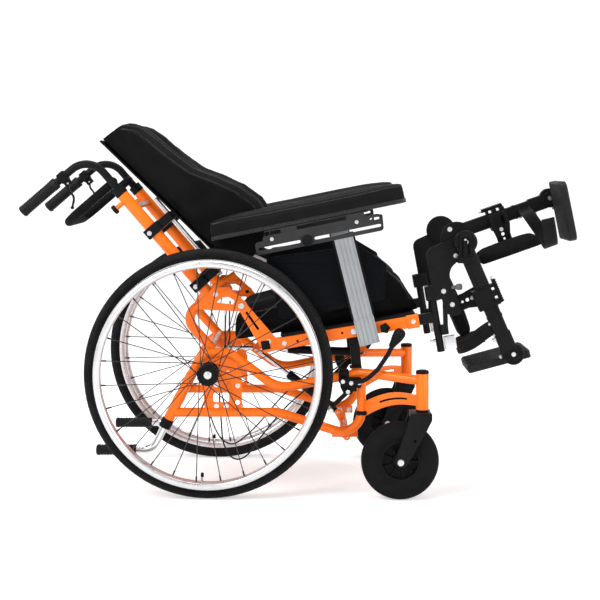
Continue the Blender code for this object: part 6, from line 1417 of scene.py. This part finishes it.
def back_structure():
    """The two back tubes, their lever tubes and plates, and the cross tubes."""
    orange = Piece("back_tubes", "back", "frame_orange", "orange", place="back")
    black = Piece("back_black_parts", "back", "plastic_black", "plastic", place="back")
    metal = Piece("back_pins", "back", "chrome_steel", "zinc", place="back")
    points = []
    for sign in (-1, 1):
        y, lever_y = sign * BACK_TUBE_Y, sign * LEVER_Y
        orange.add(rod((BACK_TUBE_X, y, 0.06), (BACK_TUBE_X, y, 0.403), 0.015, 32, edge=0.001))
        orange.add(pipe([(0.009, sign * 0.168, 0.056), (-0.132, lever_y, 0.075), (-0.13, lever_y, -0.036)],
                        0.012, 0.035, 24))
        outline = [(-0.0896, 0.0654), (-0.0178, -0.0027)]
        for i in range(13):
            angle = radians(-100 + 11 * i)
            outline.append((0.0145 * cos(angle), 0.0145 * sin(angle)))
        outline += [(0.0071, 0.0552), (-0.0229, 0.0812), (-0.0905, 0.074)]
        cut = rounded([(-0.0433, 0.048), (-0.022, 0.046), (-0.0105, 0.0381), (-0.0044, 0.0212),
                       (-0.0137, 0.0152)], 0.004)
        orange.add(slab(outline, 0.005, sign * 0.1925, [cut]))
        metal.add(rod((0, sign * 0.19, 0), (0, sign * 0.201, 0), 0.005, 20))
        metal.add(spindle((0, sign * 0.2008, 0), (0, sign, 0), [
            (0, 0.008), (0.0014, 0.008), (0.0024, 0.007), (0.0025, 0.0034), (0.001, 0.0032)], 28))
        black.add(spindle((BACK_TUBE_X, y, 0.4025), (0, 0, 1), [
            (0, 0.016), (0.001, 0.0165), (0.009, 0.0165), (0.0096, 0.016), (0.011, 0.016), (0.0116, 0.0165),
            (0.0205, 0.0165), (0.022, 0.015), (0.0225, 0.0112)], 32))
        orange.add(rod((-0.056, y, 0.3863), (-0.078, y, 0.3863), 0.006, 20))
        black.add(spindle((-0.0775, y, 0.3863), (-1, 0, 0),
                          [(0, 0.009), (0.0014, 0.0118), (0.0085, 0.012), (0.01, 0.0105), (0.0105, 0.004)], 24))
        points.append((-0.03, sign * 0.195, 0.063, sign))
    orange.add(rod((-0.048, -0.172, 0.365), (-0.048, 0.172, 0.365), 0.0095, 24))
    orange.add(rod((-0.13, -LEVER_Y, -0.032), (-0.13, LEVER_Y, -0.032), 0.0095, 24))
    ear_plates(orange, RECLINE_HEAD, (-0.13, -0.032), 0.0095, RECLINE_SPRING_Y, metal)
    orange.done("back_frame")
    black.done()
    metal.done()
    bolts("back_bolts", "back", points, "back", sizes=(0.0042, 0.003, 0.006))


def back_panel():
    """The back board, its two rails and the clamps that hold it to the tubes."""
    shell = Piece("back_board", "back", "plastic_black", "plastic", place="back")
    front = [(back_x(z) - 0.0003, z) for z in (0.095, 0.545)]
    rear = [(x - 0.0045, z) for x, z in front[::-1]]
    shell.add(slab(front + rear, 0.28, 0.0, edge=0.0012))
    rails = Piece("back_rails", "back", "plastic_black", "zinc", place="back")
    points = []
    for sign in (-1, 1):
        y, tube_y = sign * 0.128, sign * BACK_TUBE_Y
        rails.add(rod((0.006, y, 0.09), (0.006, y, 0.345), 0.006, 20, edge=0.001))
        for z in (0.11, 0.285):
            ring = rounded([(-0.022, -0.0195), (0.022, -0.0195), (0.022, 0.0195), (-0.022, 0.0195)], 0.006)
            made = slab(ring, 0.026, 0.0, [circle(0.0153, 28)], edge=0.0012)
            turned(made, pi / 2, "X")
            shell.add(shifted(made, BACK_TUBE_X, tube_y, z))
            shell.add(side_brick(sign, (-0.03, 0.119, z - 0.0115), (0.014, 0.188, z + 0.0115), 0.002))
            shell.add(brick((0.004, y - 0.008, z - 0.01), (back_x(z) - 0.003, y + 0.008, z + 0.01), 0.0015))
            points += [(-0.055, tube_y + sign * 0.0195, z, sign), (0.006, y, z + 0.0115, (0, 0, 1))]
    shell.done("back_shell")
    rails.done()
    bolts("clamp_bolts", "back", points, "back", sizes=(0.0042, 0.003, 0.006))


# Push bar

def push_bar(side, sign):
    """A bent handle with its lever housing, ribbed grip and release lever."""
    y = sign * BACK_TUBE_Y
    tube = Piece("handle_tube_" + side, "push_bar", "frame_black", "powder", "plastic", "zinc", place="back")
    tube.add(pipe([(BACK_TUBE_X, y, 0.285), (BACK_TUBE_X, y, GRIP_Z), (-0.2594, y, GRIP_Z)], 0.01, 0.055, 24))
    x, z = -0.128, 0.512
    tube.add(brick((x - 0.011, y - 0.0135, z + 0.006), (x + 0.011, y + 0.0135, z + 0.034), 0.003, 3), 1)
    for off in (-0.008, 0.008):
        tube.add(brick((x - 0.009, y + off - 0.002, z - 0.006), (x + 0.009, y + off + 0.002, z + 0.01), 0.001),
                 1)
    tube.add(rod((x, y - 0.0105, z), (x, y + 0.0105, z), 0.0024, 16, edge=0.0004), 2)
    tube.done("push_handle_" + side)
    grip = Piece("hand_grip_" + side, "push_bar", "rubber_black", "rubber", place="back")
    grip.add(spindle((-0.2634, y, GRIP_Z), (1, 0, 0),
                     [(0, 0.009), (0.0015, 0.0132), (0.005, 0.015), (0.009, 0.015)]
                     + ribbed(0.01, 0.1, 15, 0.0138, 0.0148) + [(0.1015, 0.015), (0.113, 0.015),
                         (0.115, 0.014)], 32))
    grip.done("handle_grip_" + side)
    PLACE["release"] = PLACE["back"] @ level(x, y, z)
    lever = Piece("brake_lever_" + side, "release_lever_" + side, "plastic_black", "plastic", place="release")
    tip = (-0.032, -0.052)
    route = fillet([(0, 0, 0), (-0.01, 0, -0.012), (-0.011, 0, -0.036), (tip[0], 0, tip[1])], 0.02)
    lever.add(sweep(route, bar_section(0.01, 0.0045, 0.0014)))
    lever.add(rod((0, -0.0055, 0), (0, 0.0055, 0), 0.0055, 24, edge=0.0006))
    lever.add(spindle((tip[0], -0.0065, tip[1]), (0, 1, 0),
                      [(0, 0.0022), (0.0014, 0.0038), (0.004, 0.0042), (0.009, 0.0042), (0.0116, 0.0038),
                       (0.013, 0.0022)], 20))
    lever.done("release_lever_" + side)


def push_hoop():
    """The padded bar that bends back between the two handles."""
    end = BACK_TUBE_Y - 0.0103
    x, z = BACK_TUBE_X, 0.4435
    hoop = Piece("padded_hoop", "push_bar", "rubber_black", "foam", "plastic", place="back")
    corners = [(x, -end + 0.006, z), (x, -0.148, z), (-0.2, -0.148, z), (-0.2, 0.148, z), (x, 0.148, z),
               (x, end - 0.006, z)]
    hoop.add(pipe(corners, 0.011, [0.012, 0.045, 0.045, 0.012], 24))
    for sign in (-1, 1):
        hoop.add(spindle((x, sign * (end - 0.0002), z), (0, -sign, 0),
                         [(0, 0.0112), (0.0008, 0.012), (0.008, 0.012), (0.009, 0.0112)], 24), 1)
    hoop.done("push_hoop")


# Gas springs and release cables

EYE = [(0, 0.0078), (0.001, 0.009), (0.012, 0.009), (0.013, 0.0078)]


def gas_spring(name, matrix, barrel, start, end):
    """A cylinder and rod whose frame has +X along the spring."""
    PLACE[name] = matrix
    body = Piece(name + "_barrel", name + "_cylinder", "frame_black", "powder", "zinc", place=name)
    body.add(spindle((0, 0, 0), (1, 0, 0), [
        (0.006, 0.0062), (0.011, 0.0062), (0.0135, 0.008), (0.0165, 0.0105), (0.018, 0.011),
        (barrel - 0.006, 0.011),
        (barrel - 0.004, 0.0104), (barrel - 0.002, 0.0104), (barrel, 0.008)], 28))
    body.add(spindle((0, -0.0065, 0), (0, 1, 0), EYE, 28), 1)
    body.done(name + "_spring_cylinder")
    piston = Piece(name + "_piston", name + "_rod", "chrome_steel", "chrome", "zinc", place=name)
    piston.add(rod((start, 0, 0), (end - 0.006, 0, 0), 0.005, 20))
    piston.add(spindle((end, -0.0065, 0), (0, 1, 0), EYE, 28), 1)
    piston.add(spindle((end, 0, 0), (-1, 0, 0), [(0.0075, 0.0062), (0.018, 0.0062), (0.019, 0.0054)], 6), 1)
    piston.done(name + "_spring_rod")


def springs():
    """The tilt spring runs from the base to the seat, the recline spring from the seat to the back."""
    base = Vector((TILT_FOOT[0], 0, TILT_FOOT[1]))
    run = PLACE["seat"] @ Vector((TILT_HEAD[0], 0, TILT_HEAD[1])) - base
    gas_spring("tilt", level(*base, atan2(run.z, run.x)), 0.165, 0.08, run.length)
    base = Vector((RECLINE_FOOT[0], RECLINE_SPRING_Y, RECLINE_FOOT[1]))
    head = Vector((RECLINE_HEAD[0], RECLINE_SPRING_Y, RECLINE_HEAD[1]))
    run = PLACE["seat"].inverted() @ PLACE["back"] @ head - base
    gas_spring("recline", PLACE["seat"] @ level(*base, atan2(run.z, run.x)), 0.2, 0.1, run.length)


CABLE_ROUTE = {
    "right": [(-0.322, 0.046), (-0.323, -0.01), (-0.324, -0.07), (-0.337, -0.16), (-0.333, -0.24),
              (-0.327, -0.295),
              (-0.305, -0.332), (-0.27, -0.328), (-0.225, -0.27), (-0.16, -0.195), (-0.08, -0.13)],
    "left": [(-0.322, 0.046), (-0.323, -0.01), (-0.326, -0.07), (-0.376, -0.175), (-0.378, -0.24),
             (-0.362, -0.295),
             (-0.338, -0.33), (-0.305, -0.336), (-0.25, -0.29), (-0.175, -0.205), (-0.09, -0.135)],
}


def cable(side, sign):
    """A release cable's sheath, from its clip behind the back down to the recline spring's lugs."""
    upright = Matrix.Rotation(SEAT_TILT, 4, "Y")
    y = sign * 0.105
    points = [upright @ Vector((x, y, z)) for x, z in CABLE_ROUTE[side]]
    lug_side = RECLINE_SPRING_Y + sign * 0.01715
    points.append(Vector((-0.055, y + (lug_side - y) * 0.6, -0.108)))
    points += [Vector((RECLINE_FOOT[0] - back, lug_side, RECLINE_FOOT[1] - drop))
               for back, drop in ((0.04, 0.006), (0.02, 0.002), (-0.002, 0.0))]
    sheath = Piece("cable_sheath_" + side, "seat", "rubber_black", "cable", "zinc", place="seat")
    sheath.add(sweep(spline(points, 8), circle(0.002, 12)))
    first, second = points[0], points[1]
    sheath.add(spindle(first + (first - second).normalized() * 0.0002, second - first,
                       [(0, 0.0024), (0.0006, 0.003), (0.014, 0.003), (0.016, 0.0022)], 16), 1)
    sheath.done("release_cable_" + side)


# Leg rests

TUBE_X = -0.006


def grooved(width, depth, corner, grooves=()):
    """A tube section whose two broad faces carry fine lengthwise grooves."""
    w, d = width / 2, depth / 2
    cuts = [(g + off, w - sink) for g in grooves for off, sink in ((-0.0009, 0), (0, 0.0009), (0.0009, 0))]
    near = [(w - corner, -d), (w - corner * 0.3, -d + corner * 0.3), (w, -d + corner)] + [(y, x) for x,
        y in cuts]
    near += [(w, d - corner), (w - corner * 0.3, d - corner * 0.3), (w - corner, d)]
    return near + [(-u, v) for u, v in near[::-1]]


def box_tube(piece, section, x, low, high):
    """Add a straight upright tube to a piece."""
    piece.add(sweep([(x, 0, high), (x, 0, low)], section))


def cup(outer, inner, x, low, floor, high):
    """A tube along Z that is open at the top and closed below its floor."""
    rings = [[(x + v, u, z) for u, v in ring] for ring,
             z in ((outer, low), (outer, high), (inner, high), (inner, floor))]
    return skin(rings)


def leg_hanger(side, sign):
    """The hooked plate that swings off the seat, with its knee cover, clamps and knob."""
    body, place = "leg_hanger_" + side, "hanger_" + side
    hanger = Piece("hanger_" + side, body, "frame_black", "powder", "plastic", "zinc", "pewter", place=place)
    y = sign * 0.013
    outline = rounded([(0.0024, 0.077), (0.001, 0.1688), (0.068, 0.1868)], [0, 0.025, 0], radians(8))
    for i in range(18):
        angle = radians(115 - 230 * i / 17)
        outline.append((KNEE[0] + 0.019 * cos(angle), KNEE[1] + 0.019 * sin(angle)))
    hollow = [(0.0796, 0.1306), (0.0598, 0.1176), (0.0512, 0.1002), (0.0517, 0.0838), (0.0549, 0.0733),
              (0.0602, 0.0346), (0.065, 0.0006)]
    outline += [tuple(p)[:2] for p in spline([(x, z, 0) for x, z in hollow], 5)]
    outline += [(0.0421, -0.0036), (0.03, 0.0048), (0.0262, -0.022), (0.025, -0.0445), (0.0089, -0.0445),
                (0.007, -0.0215),
                (0.0147, -0.0204), (0.0236, 0.044)]
    hanger.add(slab(outline, PLATE, y, edge=0.001))
    centre = (KNEE[0] - 0.017, KNEE[1] + 0.0125)
    hanger.add(spindle((centre[0], sign * 0.0045, centre[1]), (0, sign, 0), [
        (0, 0.03), (0.0004, 0.0372), (0.0018, 0.0394), (0.003, 0.04), (0.005, 0.04), (0.0057, 0.0392)], 56), 1)
    for (rear, low), (front, high) in (((-0.0155, 0.044), (0.024, 0.079)),
                                       ((0.006, -0.0445), (0.0255, -0.0215))):
        near, far = sorted((-sign * 0.0135, y + sign * 0.001))
        block = slab(rounded([(rear, near), (front, near), (front, far), (rear, far)], 0.004, radians(20)),
                     high - low, 0.0,
                     [circle(0.0098, 28)], edge=0.0012)
        hanger.add(shifted(turned(block, -pi / 2, "X"), 0, 0, (low + high) / 2))
    hanger.add(rod((KNEE[0], y, KNEE[1]), (KNEE[0], sign * 0.0404, KNEE[1]), 0.006, 20), 2)
    hanger.add(spindle((0.05, y, 0.068), (0.014, 0, -0.0012), [(0, 0.0046), (0.0128, 0.0046)], 20), 3)
    hanger.add(spindle((0.061, y, 0.0671), (0.0155, 0, -0.0013), [
        (0, 0.0052), (0.0012, 0.0066), (0.005, 0.0078), (0.011, 0.008), (0.014, 0.0072), (0.0156, 0.005)], 28),
        3)
    hanger.add(brick((0.0112, -0.0085, -0.0835), (0.04, 0.0085, -0.05), 0.0018), 2)
    hanger.add(spindle((-0.01, 0, -0.0575), (-1, 0, 0.12),
                       [(0, 0.0038), (0.0012, 0.0044), (0.005, 0.0044), (0.0058, 0.003), (0.013, 0.003),
                        (0.014, 0.0018)], 20), 2)
    hanger.done("leg_hanger_" + side)
    face = y + sign * 0.0025
    bolts("hanger_bolts_" + side, body, [(x, face, z, sign) for x,
                                         z in ((0.0292, 0.062), (0.045, 0.026), (0.0735, 0.1437))]
          + [(KNEE[0] - 0.031, sign * 0.0102, KNEE[1] + 0.036, sign)],
          place, sizes=(0.0044, 0.003, 0.006), sides=16)
    bolts("hanger_screws_" + side, body, [(x, face, z, sign) for x, z in ((0.0435, 0.17), (0.0116, 0.1262))],
          place, "plastic", "plastic_black", sizes=(0.0024, 0.0014, 0.003), sides=14)


def knee_latch(leg, sign):
    """The flip lever that frees the knee: a framed flap over a dark recess, on a wider block."""
    out = 0.012
    outward = sign * out
    shapes = []
    frame_outline = rounded([(-0.015, -0.033), (-0.0135, 0.029), (0.0135, 0.029), (0.015, -0.033)],
                            [0.002, 0.006, 0.006, 0.002])
    window = rounded([(-0.0102, -0.03), (-0.0095, 0.013), (0.0095, 0.013), (0.0102, -0.03)], 0.002)
    shapes.append((slab(frame_outline, 0.0064, outward + sign * 0.003, [window], edge=0.0012), 1))
    tongue = rounded([(-0.0062, -0.0345), (-0.0048, 0.006), (0.0048, 0.006), (0.0062, -0.0345)], 0.0016)
    shapes.append((slab(tongue, 0.0044, outward + sign * 0.002, edge=0.0009), 1))
    shapes.append((side_brick(sign, (-0.0205, out - 0.01, -0.05), (0.0205, out + 0.0058, -0.0335), 0.003, 3),
                   1))
    shapes.append((side_brick(sign, (-0.0165, out + 0.005, -0.0445), (0.0165, out + 0.0066, -0.0385), 0.0006),
                   1))
    shapes.append((spindle((0, outward, 0.0075), (0, sign, 0), [(0, 0.0036), (0.003, 0.0036), (0.004, 0.0026)],
                           20), 2))
    for shape, finish in shapes:
        leg.add(shifted(turned(shape, radians(22)), -0.002, 0, -0.0005), finish)


def leg_upper(side, sign):
    """The knee disc, the upper leg tube with its clamp and rack, and the calf pad's arm."""
    body = "leg_" + side
    leg = Piece("leg_top_" + side, body, "frame_black", "powder", "plastic", "zinc", place=body)
    rings = [(0.0265, 0), (0.0288, 0.0016), (0.029, 0.003), (0.029, 0.0085), (0.0283, 0.0092), (0.0283, 0.0102),
             (0.029, 0.0109),
             (0.029, 0.02), (0.0272, 0.0228), (0.024, 0.024), (0.0228, 0.0232), (0.02, 0.0232),
             (0.0065, 0.0232), (0.0065, 0)]
    leg.add(revolve([(r, sign * (along - 0.012)) for r, along in rings], 56))
    knee_latch(leg, sign)
    box_tube(leg, grooved(0.024, 0.0385, 0.005, (-0.0085,)), TUBE_X, -0.175, -0.018)
    box_tube(leg, grooved(0.0194, 0.033, 0.004), TUBE_X, -0.215, -0.17)
    x = TUBE_X
    teeth = []
    for z in (-0.1275, -0.15):
        teeth += [(x + 0.027, z + 0.0008), (x + 0.0105, z + 0.0008), (x + 0.0105, z - 0.0092),
                  (x + 0.027, z - 0.0092)]
    clamp = [(x - 0.0285, -0.1195), (x + 0.027, -0.1195), *teeth, (x + 0.027, -0.1715), (x - 0.0285, -0.1715)]
    leg.add(slab(clamp, 0.033, 0.0, edge=0.0014), 1)
    leg.add(side_brick(sign, (x - 0.0245, 0.0158, -0.1665), (x + 0.004, 0.018, -0.1245), 0.0009), 1)
    ratchet = [(x + 0.0275, -0.109), (x + 0.0275, -0.17)]
    for i in range(10):
        z = -0.169 + 0.006 * i
        ratchet += [(x + 0.0352, z), (x + 0.0372, z + 0.0015), (x + 0.0372, z + 0.0038),
                    (x + 0.0352, z + 0.005)]
    leg.add(slab(ratchet, 0.024, 0.0, edge=0.0006), 1)
    leg.add(spindle((x + 0.0315, 0, -0.1098), (0.0, 0, 1),
                    [(0, 0.003), (0.005, 0.003), (0.0078, 0.0022), (0.0088, 0.001)], 18), 2)
    arm_y = CALF_Y - 0.063
    back = -0.0805 - 0.017 - 0.0003
    leg.add(side_brick(-sign, (x - 0.02, 0.01, -0.159), (x + 0.014, arm_y, -0.125), 0.0015))
    outline = rounded([(back - PLATE, -0.12), (x - 0.045, -0.12), (x - 0.02, -0.1165), (x + 0.018, -0.1165),
                       (x + 0.018, -0.168), (x - 0.02, -0.168), (x - 0.045, -0.16), (back - PLATE, -0.16)],
                      [0.001, 0.01, 0.01, 0.004, 0.004, 0.01, 0.01, 0.001])
    holes = [circle(0.0032, 16, (x - 0.0545, -0.14)), circle(0.0047, 20, (x - 0.0415, -0.14)),
             slot((x - 0.0225, -0.1385), (x - 0.002, -0.143), 0.0056)]
    leg.add(slab(outline, PLATE, -sign * (arm_y - PLATE / 2), holes))
    leg.add(side_brick(-sign, (back - PLATE, arm_y - 0.003, -0.159), (back, CALF_Y, -0.121), 0.0012))
    leg.done("leg_upper_" + side)
    bolts("leg_bolts_" + side, body, [(x - 0.028, -sign * (arm_y - PLATE), -0.14, sign),
                                      (x - 0.028, -sign * arm_y, -0.14, -sign)],
          body, sizes=(0.004, 0.0028, 0.0054), sides=16)


STRAP_ROUTE = [(0.006, 0.0156, 0.076), (-0.005, 0.0162, 0.0758), (-0.013, 0.024, 0.075), (-0.02, 0.04, 0.0735),
               (-0.042, 0.049, 0.068), (-0.076, 0.051, 0.059), (-0.104, 0.068, 0.055), (-0.1175, 0.098, 0.054),
               (-0.108, 0.13, 0.0535), (-0.075, 0.15, 0.05), (-0.038, 0.158, 0.045)]


def heel_strap(side, sign):
    """Flat webbing from the tube, round behind the heel and in over the foot plate."""
    strap = Piece("heel_strap_" + side, "leg_end_" + side, "cushion_fabric", "webbing", "thread", place="end_"
                  + side)
    route = spline([(x, -sign * inward, z) for x, inward, z in STRAP_ROUTE], 7)
    strap.add(sweep(route, bar_section(0.036, 0.0021, 0.0007), (0, 0, 1)))
    for z in (-0.0135, 0.0135):
        strap.add(sweep([p + Vector((0, 0, z)) for p in route], bar_section(0.0009, 0.0029, 0.0003), (0, 0, 1)),
                  1)
    strap.done()
    rivets = [(-0.024, sign * 0.004, 0.0905), (-0.024, sign * 0.004, 0.06)]
    bolts("strap_rivets_" + side, "leg_end_" + side, [(x, y, z, (-1, 0, 0)) for x, y, z in rivets], "end_"
          + side,
          sizes=(0.0042, 0.004, 0.0056), sides=14)


def leg_lower(side, sign):
    """The sliding tube, its collar and the ankle joint."""
    body, place = "leg_end_" + side, "end_" + side
    leg = Piece("leg_end_tube_" + side, body, "frame_black", "powder", "plastic", "zinc", place=place)
    x = TUBE_X
    leg.add(cup(grooved(0.027, 0.0362, 0.005, (0.0095,)), grooved(0.0204, 0.034, 0.004, (0.0095,)), x, 0.018,
                0.08, 0.1262))
    wide, narrow = grooved(0.0292, 0.0385, 0.005), grooved(0.0272, 0.0364, 0.005)
    leg.add(skin([[Vector((x + v, u, z)) for u, v in section]
                  for section, z in ((wide, 0.099), (wide, 0.106), (narrow, 0.106), (narrow, 0.099))],
                  closed=True), 1)
    box_tube(leg, grooved(0.0286, 0.0402, 0.006), x + 0.001, 0.012, 0.059)
    leg.add(spindle((0, -sign * 0.012, 0), (0, sign, 0), [
        (0, 0.025), (0.0015, 0.0265), (0.0215, 0.0265), (0.024, 0.0252), (0.025, 0.0222), (0.0236, 0.0208),
        (0.0236, 0.0184),
        (0.0252, 0.0172), (0.0258, 0.015), (0.0244, 0.0134), (0.0244, 0.0098), (0.0256, 0.0088),
        (0.0258, 0.0062)], 56), 1)
    leg.add(spindle((x - 0.019, 0, 0.05), (-1, 0, 0),
                    [(0, 0.006), (0.002, 0.006), (0.0022, 0.0044), (0.0075, 0.0044), (0.0085, 0.003)], 20), 2)
    leg.done("leg_lower_" + side)
    bolts("ankle_bolts_" + side, body, [(0, sign * 0.0134, 0, sign)], place,
          sizes=(0.0044, 0.0026, 0.0056), sides=20)


def foot_plate(side, sign):
    """A ribbed tread on its hinge barrel."""
    foot = Piece("footrest_" + side, "foot_" + side, "plastic_black", "plastic", "zinc", "tread", place="foot_"
                 + side)
    outer, inner = -sign * (KNEE_Y - 0.198), -sign * (KNEE_Y - 0.035)
    near, far = sorted((outer, inner))
    outline = rounded([(-0.115, inner), (-0.115, outer), (0.045, outer), (0.045, inner)],
                      [0.022, 0.008, 0.008, 0.022], radians(12))
    tread = slab(outline, 0.02, 0.0, edge=0.0028)
    foot.add(shifted(turned(tread, -pi / 2, "X"), 0, 0, -0.014), 2)
    first, second = near + 0.006, near + 0.0085
    outline = rounded([(-0.11, first), (-0.11, second), (0.04, second), (0.04, first)], 0.001)
    rib = turned(slab(outline, 0.0016, 0.0, edge=0.0005), -pi / 2, "X")
    step = (far - near - 0.0145) / 21
    ribs = bmesh.new()
    for i in range(22):
        gather(ribs, rib.copy(), Matrix.Translation((0, step * i, -0.0042)))
    rib.free()
    foot.add(ribs, 2)
    face = -sign * 0.0123
    length = abs(face - outer)
    foot.add(spindle((0, outer + sign * 0.0004, 0), (0, sign, 0), [
        (0, 0.0165), (0.0012, 0.018), (length - 0.0016, 0.018), (length - 0.0005, 0.0168)], 36))
    foot.add(side_brick(1, (-0.014, outer - sign * 0.01, -0.0228), (0.014, face, -0.0052), 0.002))
    foot.add(rod((0, outer, 0), (0, sign * 0.008, 0), 0.006, 20), 1)
    foot.add(spindle((-0.029, outer - sign * 0.0016, -0.0035), (0, sign, 0),
                     [(0, 0.004), (0.003, 0.004), (0.0042, 0.0028)], 16), 1)
    foot.done("foot_plate_" + side)


# Stage

def backdrop():
    """A pale round floor that bends up into a wall on every side."""
    reach, height, bend, sides = 6.6, 5.0, 1.6, 72
    route = fillet([(0, 0, 0), (reach, 0, 0), (reach, 0, height)], bend, radians(6))
    turns = [2 * pi * i / sides for i in range(sides)]
    bm = bmesh.new()
    rows = [[bm.verts.new((p.x * cos(t), p.x * sin(t), p.z)) for t in turns] for p in route[1:]]
    bm.faces.new(rows[0])
    for a, b in zip(rows, rows[1:]):
        for i in range(sides):
            bm.faces.new((b[i - 1], b[i], a[i], a[i - 1])).smooth = True
    mesh = bpy.data.meshes.new("backdrop")
    bm.to_mesh(mesh)
    bm.free()
    made = bpy.data.materials.new("paper")
    made.use_nodes = True
    shader = made.node_tree.nodes["Principled BSDF"]
    for socket, value in (("Base Color", (0.74, 0.74, 0.74, 1.0)), ("Roughness", 0.9),
                          ("Specular IOR Level", 0.0),
                          ("Emission Color", (1.0, 1.0, 1.0, 1.0)), ("Emission Strength", 0.42)):
        shader.inputs[socket].default_value = value
    mesh.materials.append(made)
    item = bpy.data.objects.new("backdrop", mesh)
    bpy.context.scene.collection.objects.link(item)
    return item


def area_light(name, place, target, size, power):
    """A soft lamp that faces a target."""
    data = bpy.data.lights.new(name, "AREA")
    data.shape, data.size, data.size_y, data.energy = "RECTANGLE", size[0], size[1], power
    lamp = bpy.data.objects.new(name, data)
    bpy.context.scene.collection.objects.link(lamp)
    lamp.location = place
    lamp.rotation_euler = (Vector(target) - Vector(place)).to_track_quat("-Z", "Y").to_euler()
    return lamp


def stage():
    """Backdrop, lamps, world and the camera at the photo's angle."""
    floor = backdrop()
    middle = (0.0, 0.0, 0.45)
    lamps = [
        area_light("key", (-2.4, -2.6, 3.2), middle, (2.2, 2.2), 140),
        area_light("fill", (3.2, -2.2, 1.6), middle, (2.0, 1.8), 45),
        area_light("top", (0.2, 0.4, 3.4), middle, (3.0, 2.2), 95),
    ]
    scene = bpy.context.scene
    world = bpy.data.worlds.new("studio")
    world.use_nodes = True
    sky = world.node_tree.nodes["Background"].inputs
    sky["Color"].default_value, sky["Strength"].default_value = (1.0, 1.0, 1.0, 1.0), 0.2
    scene.world = world
    scene.view_settings.view_transform = "Standard"
    data = bpy.data.cameras.new("camera")
    lens, film, shift, camera_y, camera_z = 84.42, 36.0, -0.225, -3.685, 0.814
    data.lens, data.sensor_width, data.shift_y = lens, film, shift
    data.dof.use_dof = False
    camera = bpy.data.objects.new("camera", data)
    scene.collection.objects.link(camera)
    camera.location = (ahead(0.2237), camera_y, camera_z)
    camera.rotation_euler = (radians(90), 0, 0)
    scene.camera = camera


def build_base():
    for side, sign in SIDES:
        base_side(side, sign)
        wheel_lock(side, sign)
        tip_lever(side, sign)
    base_members()
    tilt_posts()


def build_wheels():
    for side, sign in SIDES:
        rear_wheel(side, sign)
        caster(side, sign)


def build_seat():
    seat_structure()
    seat_cushion()


def build_arms():
    for side, sign in SIDES:
        armrest(side, sign)
    arm_pads()


def build_back():
    back_structure()
    back_panel()
    back_cushion()


def build_push_bar():
    for side, sign in SIDES:
        push_bar(side, sign)
    push_hoop()


def build_springs():
    springs()
    for side, sign in SIDES:
        cable(side, sign)


def build_legs():
    for side, sign in SIDES:
        leg_hanger(side, sign)
        leg_upper(side, sign)
        leg_lower(side, sign)
        heel_strap(side, sign)
        foot_plate(side, sign)
    calf_pads()


# The add-on: one operator per group and a panel that lists them

def operator(name, label, text, work):
    """An operator class that runs one group's work."""
    def execute(self, context):
        work()
        return {"FINISHED"}

    return type("WHEELCHAIR_OT_" + name, (bpy.types.Operator,), {
        "bl_idname": "wheelchair." + name, "bl_label": label, "__doc__": text,
        "bl_options": {"REGISTER", "UNDO"},
        "execute": execute})


STEPS = (
    operator("base", "Base frame", "Side frames, cross tubes, tilt posts, locks and tipping levers",
             build_base),
    operator("wheels", "Wheels", "Rear wheels, push rims, casters and forks", build_wheels),
    operator("seat", "Seat", "Seat frame, board and cushion", build_seat),
    operator("arms", "Armrests", "Uprights, guards, plates and pads", build_arms),
    operator("back", "Back", "Back tubes, panel, rails and cushion", build_back),
    operator("push_bar", "Push bar", "Handles, grips, levers and hoop", build_push_bar),
    operator("springs", "Springs", "Gas springs and release cables", build_springs),
    operator("legs", "Leg rests", "Hangers, tubes, calf pads and foot plates", build_legs),
    operator("stage", "Stage", "Backdrop, lights and camera", stage),
)


class WHEELCHAIR_PT_panel(bpy.types.Panel):
    """Lists the build steps in order."""
    bl_label, bl_idname = "Wheelchair", "WHEELCHAIR_PT_panel"
    bl_space_type, bl_region_type, bl_category = "VIEW_3D", "UI", "Wheelchair"

    def draw(self, context):
        for step in STEPS:
            self.layout.operator(step.bl_idname)


CLASSES = (ChairSettings, *STEPS, WHEELCHAIR_PT_panel)


def register():
    for item in CLASSES:
        bpy.utils.register_class(item)
    bpy.types.Scene.wheelchair = PointerProperty(type=ChairSettings)


def unregister():
    del bpy.types.Scene.wheelchair
    for item in reversed(CLASSES):
        bpy.utils.unregister_class(item)


def main():
    register()
    for step in STEPS:
        group, name = step.bl_idname.split(".")
        if getattr(getattr(bpy.ops, group), name)() != {"FINISHED"}:
            raise RuntimeError(step.bl_label + " did not finish")


if __name__ == "__main__":
    main()
